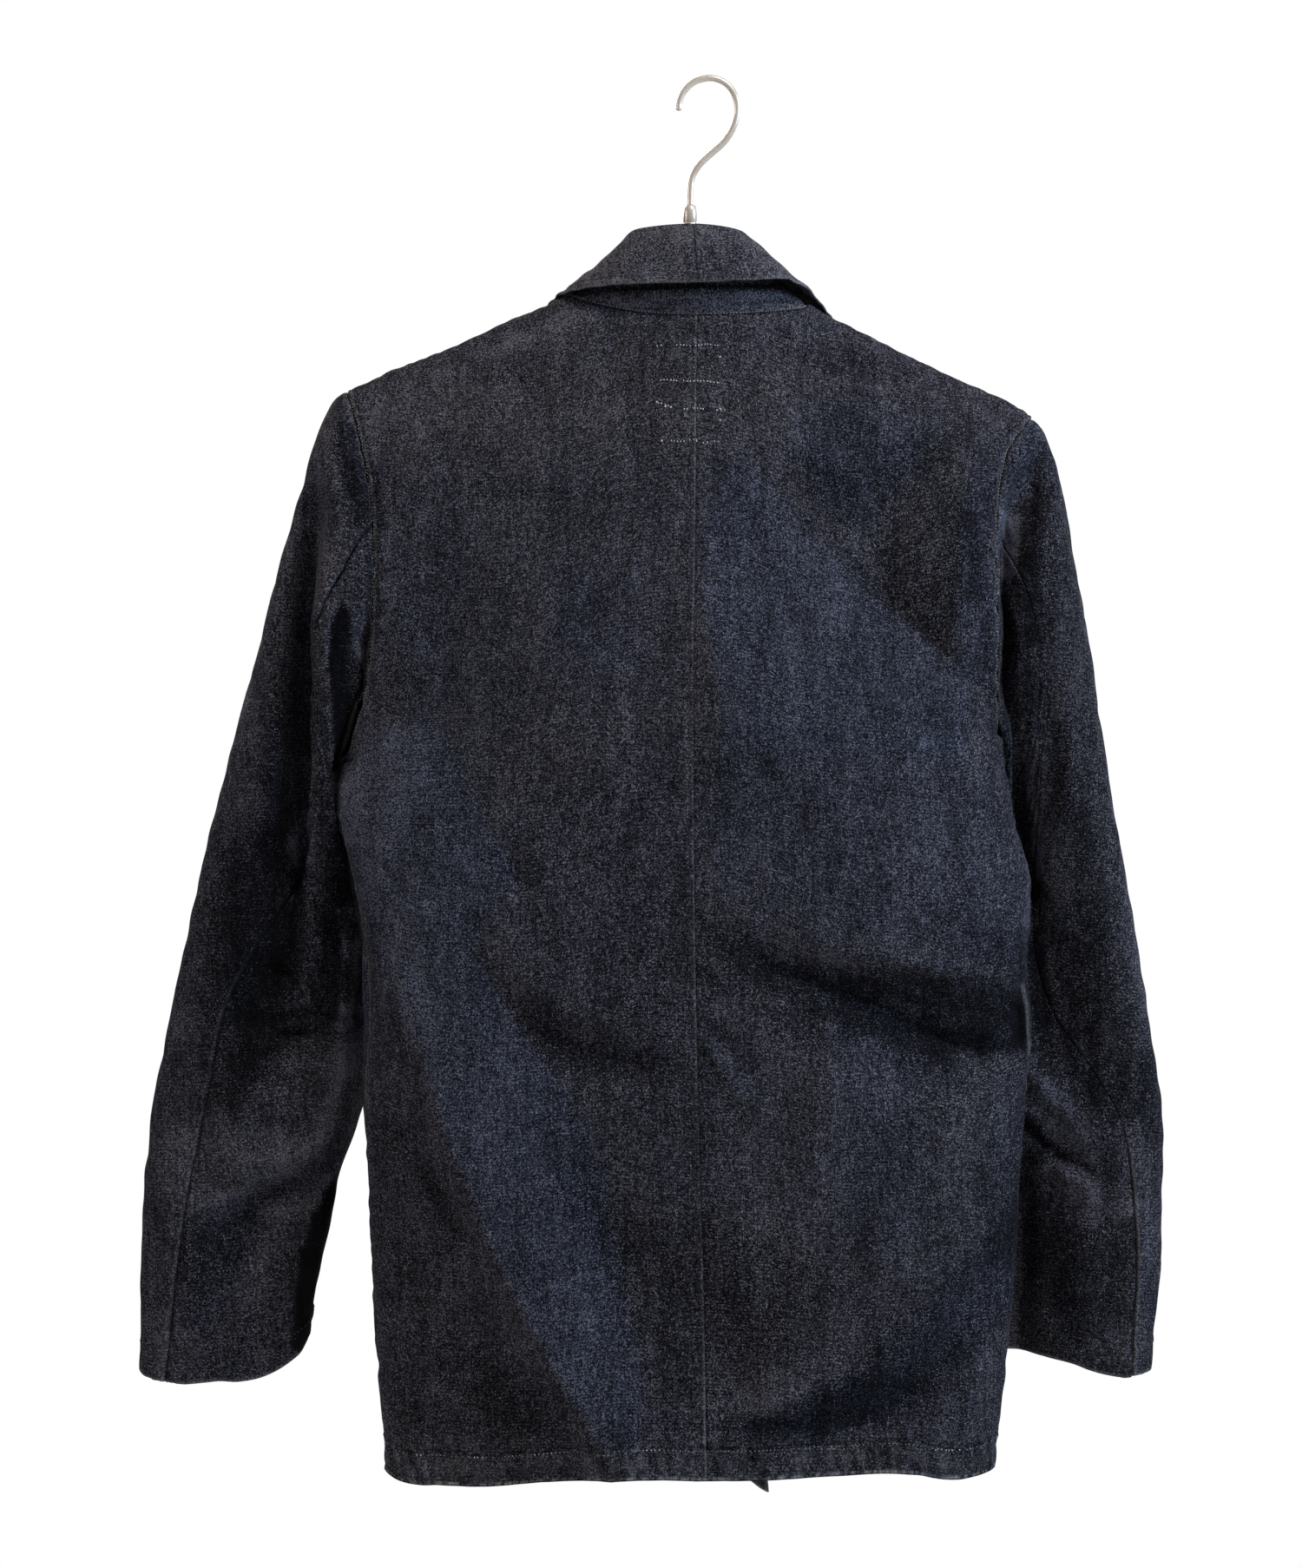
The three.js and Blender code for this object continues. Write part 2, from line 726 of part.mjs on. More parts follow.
// The sleeve's cloth: s from armhole to cuff, turn w (0 outer edge, 180 inner edge, first half at the back).
function sleeve(side, s, w) {
  const T = SLEEVE[side].map((f) => f(s)),
    c = Math.cos(w),
    f = (1 - c) / 2,
    back = Math.sin(w) >= 0,
    h = Math.pow(
      Math.max(0, 1 - Math.pow(Math.abs(c), SLEEVE_ROUND)),
      1 / SLEEVE_ROUND,
    ),
    y0 = mix(T[2], T[5], f),
    p = away(mix(T[0], T[3], f), y0),
    q =
      mix(T[1], T[4], f) +
      ((mix(T[1], T[4], f) - SIGHT_Q) * y0) / SIGHT +
      (back ? CUFF_BOW[side] : 0) * h * smooth((s - 0.7) / 0.3);
  let y = y0 + (back ? -1 : 1) * T[6] * h;
  if (back) y -= folded(FOLDS_SLEEVE[side], pp(p, y), qq(q, y)) * h * smooth(s / 0.12);
  const P = at(p, q, y);
  // at the armhole the sleeve follows the body's edge
  const t = mix(1, pitT[side], f),
    sign = side === "L" ? -1 : 1,
    arm = back
      ? sign * armTurn(side, t, true)
      : sign * (Math.PI - armTurn(side, t, false)),
    A = body(t, arm),
    Z = SLEEVE[side].map((g) => g(0)),
    start = at(
      mix(Z[0], Z[3], f),
      mix(Z[1], Z[4], f),
      mix(Z[2], Z[5], f) + (back ? -1 : 1) * Z[6] * h,
    );
  P.addScaledVector(A.sub(start), 1 - smooth(s / 0.22));
  return clearOfBody(P, side, s);
}
function sleeveCentre(side, s) {
  const T = SLEEVE[side].map((f) => f(s));
  return at((T[0] + T[3]) / 2, (T[1] + T[4]) / 2, (T[2] + T[5]) / 2);
}
const STEPS = [
  0, 0.02, 0.05, 0.09, 0.14, 0.2, 0.27, 0.34, 0.41, 0.48, 0.55, 0.62, 0.69, 0.75,
  0.81, 0.87, 0.92, 0.965, 1,
];
const share = (f) => Math.acos(1 - 2 * f);
// Columns of a sleeve piece, as turns at the armhole.
const COLS_TOP = [
    ...HIGH.filter((f) => f <= 0.75).map((f) => -share(f)),
    ...HIGH.filter((f) => f > 0 && f <= 0.39)
      .map(share)
      .reverse(),
  ],
  COLS_UNDER = [
    ...HIGH.filter((f) => f >= 0.39)
      .map(share)
      .reverse(),
    ...HIGH.filter((f) => f < 1 && f >= 0.75).map(
      (f) => 2 * Math.PI - share(f),
    ),
  ];
function sleevePanel(side, upper) {
  const b0 = share(0.39),
    f0 = share(0.75),
    cols = upper ? COLS_TOP : COLS_UNDER,
    grid = sheet(
      (s, c) => {
        const b = share(SEAM_B[side](s)),
          f = share(SEAM_F(s)),
          w = upper
            ? c < 0
              ? (c * f) / f0
              : (c * b) / b0
            : mix(b, 2 * Math.PI - f, (c - b0) / (2 * Math.PI - f0 - b0));
        return sleeve(side, s, w);
      },
      STEPS,
      cols,
    );
  cols.forEach((c, i) => {
    const w = c > Math.PI ? c - 2 * Math.PI : c,
      f = (1 - Math.cos(w)) / 2,
      n = armNormal(side, 1 - (1 - pitT[side]) * f, w >= 0);
    if (n.dot(grid[0][i].n) < 0) n.negate();
    grid[0][i].n = n;
  });
  return inset(grid, { first: SEAM * 1.6, last: SEAM * 1.6, low: ARM_SEAM });
}

// ---------------------------------------------------------------- collar and lapels
// Rows: place along the neck (-1 left front end, 0 centre back, 1 right front end), then (p, q, y) as seen.
const ROLL = curves([
  [-1, 693, 394, 39],
  [-0.75, 684, 350, 25],
  [-0.5, 703, 313, 3],
  [-0.35, 718, 290, -11],
  [-0.2, 738, 268, -20],
  [0, 799, 259, -24],
  [0.2, 856, 268, -20],
  [0.35, 875, 291, -11],
  [0.5, 892, 315, 3],
  [0.75, 911, 354, 25],
  [1, 913, 406, 39],
]);
const FALL = curves([
  [-1, 618, 424, 37],
  [-0.75, 622, 374, 24],
  [-0.5, 641, 343, 0],
  [-0.42, 660, 335, -16],
  [-0.3, 700, 329, -30],
  [-0.15, 755, 326, -37],
  [0, 803, 325, -39],
  [0.15, 855, 323, -37],
  [0.3, 903, 321, -30],
  [0.42, 928, 332, -16],
  [0.5, 951, 358, 0],
  [0.75, 970, 390, 24],
  [1, 984, 437, 37],
]);
const AROUND = Array.from({ length: 29 }, (_, i) => -1 + i / 14);
const point = (c, u) => seen(c[0](u), c[1](u), c[2](u));
const backs = { L: backSurface("L"), R: backSurface("R") },
  fronts = { L: frontSurface("L"), R: frontSurface("R") },
  ends = { L: levelOf(694, 402), R: levelOf(912, 414) };
// The collar seam: along the tops of the backs to the neck points, then down the fronts to the lapels.
function neckline(u) {
  const side = u < 0 ? "L" : "R",
    r = Math.min(1, Math.abs(u));
  return r <= 0.5
    ? backs[side].at(1, (r / 0.5) * backs[side].cNeck)
    : fronts[side](mix(1, ends[side], (r - 0.5) / 0.5), 0);
}
function collarStand() {
  return sheet(
    (u, w) => {
      const a = neckline(u),
        b = point(ROLL, u),
        up = b.clone().sub(a),
        L = up.length();
      up.normalize();
      return a.clone().addScaledVector(up, mix(2, L - 5, w));
    },
    AROUND,
    [0, 0.35, 0.7, 1],
  );
}
function collarFall(side) {
  const grid = sheet(
    (u, w) => {
      const b = point(ROLL, u),
        e = point(FALL, u),
        flat = V(e.x - b.x, e.y - b.y, 0),
        side = flat.lengthSq() > 1 ? flat.normalize() : V(0, -1, 0);
      // leave the roll line outwards, then fall to the edge
      const m = b
        .clone()
        .lerp(e, 0.34)
        .addScaledVector(side, 4.4)
        .add(V(0, 0, 4.6));
      return new THREE.QuadraticBezierCurve3(
        b.clone().addScaledVector(side, 0.8),
        m,
        e,
      ).getPoint(Math.min(1, Math.max(0, w)));
    },
    AROUND.filter((u) => (side === "L" ? u < 1e-9 : u > -1e-9)),
    [0, 0.16, 0.36, 0.66, 1],
  );
  // the two halves are sewn together at the centre back
  return inset(grid, side === "L" ? { high: SEAM } : { low: SEAM });
}
// Lapels, from the roll line to their outer edge (p, q), top to bottom; they lie on the fronts.
const LAPEL = {
  L: curves([
    [0, 696, 405, 631, 431],
    [0.1, 711, 442, 604, 470],
    [0.3, 743, 522, 640, 548],
    [0.6, 792, 645, 718, 664],
    [0.85, 830, 741, 792, 752],
    [1, 848, 789, 838, 796],
  ]),
  R: curves([
    [0, 910, 417, 974, 444],
    [0.1, 897, 452, 1000, 483],
    [0.35, 873, 520, 962, 546],
    [0.7, 841, 611, 898, 630],
    [1, 820, 667, 842, 676],
  ]),
};
function lapel(side) {
  const T = LAPEL[side],
    rows = 11;
  return sheet(
    (v, u) => {
      const [p0, q0, p1, q1] = T.map((f) => f(v)),
        lift = 2.4 + 1.1 * Math.exp(-((u / 0.3) ** 2)) * (1 - v * 0.6);
      return onFront(side, mix(p0, p1, u), mix(q0, q1, u), lift);
    },
    Array.from({ length: rows + 1 }, (_, j) => j / rows),
    [0, 0.12, 0.35, 0.65, 1],
  );
}

// ---------------------------------------------------------------- buttons
function button(q) {
  const p = 812 + (28 * (q - BREAK_Q)) / 900,
    c = onFront("L", p, q, 0),
    n = onFront("L", p + 12, q, 0)
      .sub(onFront("L", p - 12, q, 0))
      .cross(
        onFront("L", p, q - 12, 0).sub(onFront("L", p, q + 12, 0)),
      )
      .normalize();
  if (n.y < 0) n.negate();
  const r = BUTTON_R,
    h = BUTTON_T;
  const g = new THREE.LatheGeometry(
    [
      [0, 0],
      [r * 0.8, 0],
      [r, h * 0.4],
      [r, h * 0.75],
      [r * 0.92, h],
      [r * 0.72, h],
      [r * 0.6, h * 0.72],
      [0, h * 0.72],
    ].map(([x, y]) => new THREE.Vector2(x, y)),
    18,
  );
  g.deleteAttribute("normal");
  g.deleteAttribute("uv");
  const m = new THREE.Mesh(g);
  m.quaternion.setFromUnitVectors(V(0, 1, 0), n);
  m.position.copy(c.addScaledVector(n, CLOTH / 2 + 0.5));
  return m;
}

// ---------------------------------------------------------------- hanger
// Path (p, q, y), half-height and half-thickness.
const BAR = [
  [421, 472, 0, 7, 5],
  [440, 465, 0, 9.5, 6],
  [480, 449, 0, 11.5, 6.5],
  [540, 425, 0, 12, 7],
  [620, 394, 0, 12, 7.5],
  [700, 364, 0, 12.5, 8],
  [760, 340, 0, 13, 8.5],
  [796, 331, 0, 13.5, 9],
  [832, 340, 0, 13, 8.5],
  [885, 369, 0, 12.5, 8],
  [965, 406, 0, 12, 7.5],
  [1045, 440, 0, 12, 7],
  [1105, 469, 0, 11.5, 6.5],
  [1146, 489, 0, 9.5, 6],
  [1166, 500, 0, 7, 5],
];
function hangerBar() {
  const sides = 10,
    pts = [],
    idx = [];
  const rings = 29,
    shape = curves(BAR.map((r, i) => [i / (BAR.length - 1), ...r]));
  for (let j = 0; j < rings; j++) {
    const [p, q, y, h, w] = shape.map((f) => f(j / (rings - 1))),
      c = at(p, q, y);
    for (let i = 0; i < sides; i++) {
      const a = (i / sides) * 2 * Math.PI;
      pts.push(
        c.clone().add(V(0, w * Math.sin(a), h * Math.cos(a))),
      );
    }
  }
  for (let j = 0; j + 1 < rings; j++)
    for (let i = 0; i < sides; i++) {
      const a = j * sides + i,
        b = j * sides + ((i + 1) % sides);
      idx.push(a, b, b + sides, a, b + sides, a + sides);
    }
  const last = (rings - 1) * sides;
  for (let i = 1; i + 1 < sides; i++) {
    idx.push(0, i + 1, i);
    idx.push(last, last + i, last + i + 1);
  }
  return solid(pts, idx);
}
const STEM_P = 795.5;
const BAR_TOP = Q0 - (at(0, 331, 0).z + 13.5 + 0.35) / SCALE; // draft level just above the bar
function ferrule() {
  const z0 = (Q0 - BAR_TOP) * SCALE,
    z1 = (Q0 - 237) * SCALE,
    g = new THREE.LatheGeometry(
      [
        [0, z0],
        [4.4, z0],
        [4.4, z1 - 10.5],
        [4.25, z1 - 3.2],
        [3.5, z1 - 0.6],
        [2.9, z1],
        [0, z1],
      ].map(([x, y]) => new THREE.Vector2(x, y)),
      16,
    );
  g.deleteAttribute("normal");
  g.deleteAttribute("uv");
  g.rotateX(Math.PI / 2);
  return g;
}
const HOOK = [
  [795.5, 236.3],
  [795.5, 222],
  [796.6, 209],
  [801, 197],
  [809, 186.5],
  [820, 176.5],
  [831.5, 166.5],
  [840.5, 155],
  [847, 141.5],
  [849.6, 126],
  [846.8, 110],
  [838.5, 98],
  [826.5, 91.2],
  [814, 90.2],
  [800, 94.4],
  [789, 104],
  [783, 117],
  [782, 128],
];
function hook() {
  const path = new THREE.CatmullRomCurve3(
      HOOK.map(([p, q]) => at(p, q, 0)),
      false,
      "centripetal",
    ),
    section = new THREE.Shape();
  for (let i = 0; i < 10; i++) {
    const a = (i / 10) * 2 * Math.PI;
    section[i ? "lineTo" : "moveTo"](
      WIRE_R * Math.cos(a),
      WIRE_R * Math.sin(a),
    );
  }
  section.closePath();
  return new THREE.ExtrudeGeometry(section, {
    steps: 40,
    bevelEnabled: false,
    extrudePath: path,
  });
}

// ---------------------------------------------------------------- the part
const denim = (hex) =>
  new THREE.MeshStandardMaterial({
    color: hex,
    roughness: 0.92,
    metalness: 0,
    side: THREE.DoubleSide,
  });
const cloth = denim(0x2b2e38),
  steel = new THREE.MeshStandardMaterial({
    color: 0xb9b1a6,
    roughness: 0.28,
    metalness: 1,
  }),
  wood = new THREE.MeshStandardMaterial({
    color: 0x9b7650,
    roughness: 0.55,
    metalness: 0,
  }),
  horn = new THREE.MeshStandardMaterial({
    color: 0x1b1c22,
    roughness: 0.4,
    metalness: 0,
  });
const jacket = new THREE.Group(),
  hanger = new THREE.Group();
function add(group, name, geometry, material) {
  const m = new THREE.Mesh(geometry, material.clone());
  m.name = name;
  group.add(m);
  return m;
}
for (const side of ["L", "R"]) {
  const word = side === "L" ? "left" : "right";
  add(jacket, `back_${word}`, wall(backPanel(side)), cloth);
  add(jacket, `front_${word}`, wall(frontPanel(side)), cloth);
  add(jacket, `sleeve_top_${word}`, wall(sleevePanel(side, true)), cloth);
  add(jacket, `sleeve_under_${word}`, wall(sleevePanel(side, false)), cloth);
  add(jacket, `lapel_${word}`, wall(lapel(side)), cloth);
  add(jacket, `collar_fall_${word}`, wall(collarFall(side)), cloth);
}
add(jacket, "collar_stand", wall(collarStand()), cloth);
[815, 1020, 1225].forEach((q, i) => {
  const b = button(q);
  b.name = `button_${i + 1}`;
  b.material = horn.clone();
  jacket.add(b);
});
add(hanger, "hanger_bar", hangerBar(), wood);
add(hanger, "hanger_ferrule", ferrule(), steel).position.set(
  (STEM_P - P0) * SCALE,
  0,
  0,
);
add(hanger, "hanger_hook", hook(), steel);

const part = new THREE.Group();
part.add(jacket, hanger);
export default part;
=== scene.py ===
import math
import bpy
import numpy as np
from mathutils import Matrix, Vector


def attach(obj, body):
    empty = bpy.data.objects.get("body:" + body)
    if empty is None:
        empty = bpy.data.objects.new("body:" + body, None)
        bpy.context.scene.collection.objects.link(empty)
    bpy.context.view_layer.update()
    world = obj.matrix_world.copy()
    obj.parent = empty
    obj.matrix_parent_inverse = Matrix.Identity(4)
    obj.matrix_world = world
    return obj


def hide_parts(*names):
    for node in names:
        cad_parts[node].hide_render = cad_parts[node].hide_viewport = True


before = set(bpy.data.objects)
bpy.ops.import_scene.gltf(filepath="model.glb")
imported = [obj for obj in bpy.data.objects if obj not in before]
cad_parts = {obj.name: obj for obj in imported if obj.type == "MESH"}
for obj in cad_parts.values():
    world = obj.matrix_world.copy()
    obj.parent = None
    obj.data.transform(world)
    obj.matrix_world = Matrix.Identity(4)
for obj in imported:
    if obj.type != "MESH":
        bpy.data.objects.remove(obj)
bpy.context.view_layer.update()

# Everything is worked out in millimetres and written in metres. Outlines are drafted on a sheet of
# (p, q) units, SCALE mm each, p to the right and q down; depth y in mm, with the back at -y.
SCALE, P0, Q0 = 0.53, 816.0, 95.0
WALL = 1.1
CENTRE, ROUND, SLEEVE_ROUND = 795.0, 2.6, 2.25
SIGHT, SIGHT_P, SIGHT_Q = 2400.0, 750.0, 903.0
TOP = {"L": 452.0, "R": 481.0}
HEM = 1690.0
PIT = {"L": 880.0, "R": 868.0}
RAD = math.pi / 180


# ------------------------------------------------------------------ small maths
class Curve:
    """A smooth curve through given points that doesn't overshoot them."""

    def __init__(self, pts):
        pts = sorted(pts)
        self.x = np.array([a[0] for a in pts], float)
        self.y = np.array([a[1] for a in pts], float)
        h = np.diff(self.x)
        d = np.diff(self.y) / h
        m = np.zeros(len(pts))
        m[0], m[-1] = d[0], d[-1]
        for i in range(1, len(pts) - 1):
            if d[i - 1] * d[i] > 0:
                w1, w2 = 2 * h[i] + h[i - 1], h[i] + 2 * h[i - 1]
                m[i] = (w1 + w2) / (w1 / d[i - 1] + w2 / d[i])
        self.m = m

    def __call__(self, t):
        x, y, m = self.x, self.y, self.m
        t = np.clip(np.asarray(t, float), x[0], x[-1])
        i = np.clip(np.searchsorted(x, t, side="right") - 1, 0, len(x) - 2)
        h = x[i + 1] - x[i]
        s = (t - x[i]) / h
        s2, s3 = s * s, s * s * s
        return (
            y[i] * (2 * s3 - 3 * s2 + 1)
            + m[i] * h * (s3 - 2 * s2 + s)
            + y[i + 1] * (3 * s2 - 2 * s3)
            + m[i + 1] * h * (s3 - s2)
        )


def curves(rows):
    return [Curve([(r[0], r[c]) for r in rows]) for c in range(1, len(rows[0]))]


def smooth(t):
    t = np.clip(t, 0, 1)
    return t * t * (3 - 2 * t)


def mix(a, b, t):
    return a + (b - a) * t


def at(p, q, y):
    p, q, y = np.broadcast_arrays(p, q, y)
    return np.stack([(p - P0) * SCALE, y, (Q0 - q) * SCALE], -1)


def seen(p, q, y):
    f = (SIGHT + y) / SIGHT
    return at(SIGHT_P + (p - SIGHT_P) * f, SIGHT_Q + (q - SIGHT_Q) * f, y)


def away(p, y):
    return SIGHT_P + (p - SIGHT_P) * (SIGHT + y) / SIGHT


def pp(p, y):
    return SIGHT_P + (p - SIGHT_P) * SIGHT / (SIGHT + y)


def qq(q, y):
    return SIGHT_Q + (q - SIGHT_Q) * SIGHT / (SIGHT + y)


def unit(v):
    return v / np.maximum(1e-12, np.linalg.norm(v, axis=-1, keepdims=True))


class Waves:
    """A seeded, smooth, repeatable random field: a sum of plane waves of about the given lengths (mm)."""

    def __init__(self, seed, lx, ly, n=28):
        r = np.random.default_rng(seed)
        ang = r.uniform(0, 2 * np.pi, n)
        mag = r.uniform(0.55, 1.25, n)
        self.kx = 2 * np.pi * np.cos(ang) * mag / lx
        self.ky = 2 * np.pi * np.sin(ang) * mag / ly
        self.ph = r.uniform(0, 2 * np.pi, n)
        self.a = math.sqrt(2.0 / n)

    def __call__(self, x, y):
        out = np.zeros(np.broadcast(x, y).shape)
        for kx, ky, ph in zip(self.kx, self.ky, self.ph):
            out += np.sin(kx * x + ky * y + ph)
        return out * self.a


# ------------------------------------------------------------------ folds
def spline(path, per=8):
    """A smooth line through the points of a path."""
    P = np.array(path, float)
    if len(P) == 2:
        return P[0] + (P[1] - P[0]) * np.linspace(0, 1, 9)[:, None]
    E = np.vstack([2 * P[0] - P[1], P, 2 * P[-1] - P[-2]])
    out = []
    for i in range(len(P) - 1):
        a, b, c, d = E[i : i + 4]
        for s in np.linspace(0, 1, per, endpoint=False):
            out.append(
                0.5
                * (2 * b + (c - a) * s + (2 * a - 5 * b + 4 * c - d) * s * s
                   + (3 * b - a - 3 * c + d) * s ** 3)
            )
    out.append(P[-1])
    return np.array(out)


def along(path, p, q, reach):
    """Signed distance from a path, and the place along it from 0 to 1, where within reach of it."""
    S = spline(path)
    lo, hi = S.min(0) - reach, S.max(0) + reach
    near = (p > lo[0]) & (p < hi[0]) & (q > lo[1]) & (q < hi[1])
    x, y = p[near], q[near]
    best = np.full(x.shape, 1e18)
    sd = np.full(x.shape, 1e9)
    pl = np.zeros(x.shape)
    L = np.concatenate([[0], np.cumsum(np.linalg.norm(np.diff(S, axis=0), axis=1))])
    for i in range(len(S) - 1):
        dx, dy = S[i + 1] - S[i]
        n2 = dx * dx + dy * dy
        s = np.clip(((x - S[i, 0]) * dx + (y - S[i, 1]) * dy) / n2, 0, 1)
        ex, ey = x - S[i, 0] - s * dx, y - S[i, 1] - s * dy
        d2 = ex * ex + ey * ey
        win = d2 < best
        best = np.where(win, d2, best)
        sgn = np.where(dx * ey - dy * ex >= 0, 1.0, -1.0)
        sd = np.where(win, sgn * np.sqrt(d2), sd)
        pl = np.where(win, (L[i] + s * math.sqrt(n2)) / L[-1], pl)
    return near, sd, pl, L[-1]


def folded(folds, p, q):
    """Height of a list of folds. w is the half-width: (left of a line drawn downwards or below one drawn
    to the right, the other side). a is the height, or one for each end of the line. k is the crest's shape."""
    out = np.zeros(np.broadcast(p, q).shape)
    for f in folds:
        w = f["w"] if isinstance(f["w"], tuple) else (f["w"], f["w"])
        near, sd, pl, length = along(f["path"], p, q, 3.2 * max(w))
        if not near.any():
            continue
        a = f["a"] if isinstance(f["a"], (tuple, list)) else (f["a"], f["a"])
        amp = np.interp(pl, np.linspace(0, 1, len(a)), a)
        e = f.get("e", (0.18, 0.18))
        fade = smooth(pl / max(1e-6, e[0])) * smooth((1 - pl) / max(1e-6, e[1]))
        if e[0] == 0:
            fade = smooth((1 - pl) / max(1e-6, e[1])) if e[1] else np.ones_like(pl)
        elif e[1] == 0:
            fade = smooth(pl / e[0])
        ww = np.where(sd >= 0, w[0], w[1])
        if f.get("plane"):
            x = np.maximum(0, sd) / w[0]
            out[near] += amp * fade * np.minimum(1.0, np.sqrt(x * x + 0.0025) - 0.05)
        else:
            out[near] += amp * fade * np.exp(-np.abs(sd / ww) ** f.get("k", 2.0))
    return out


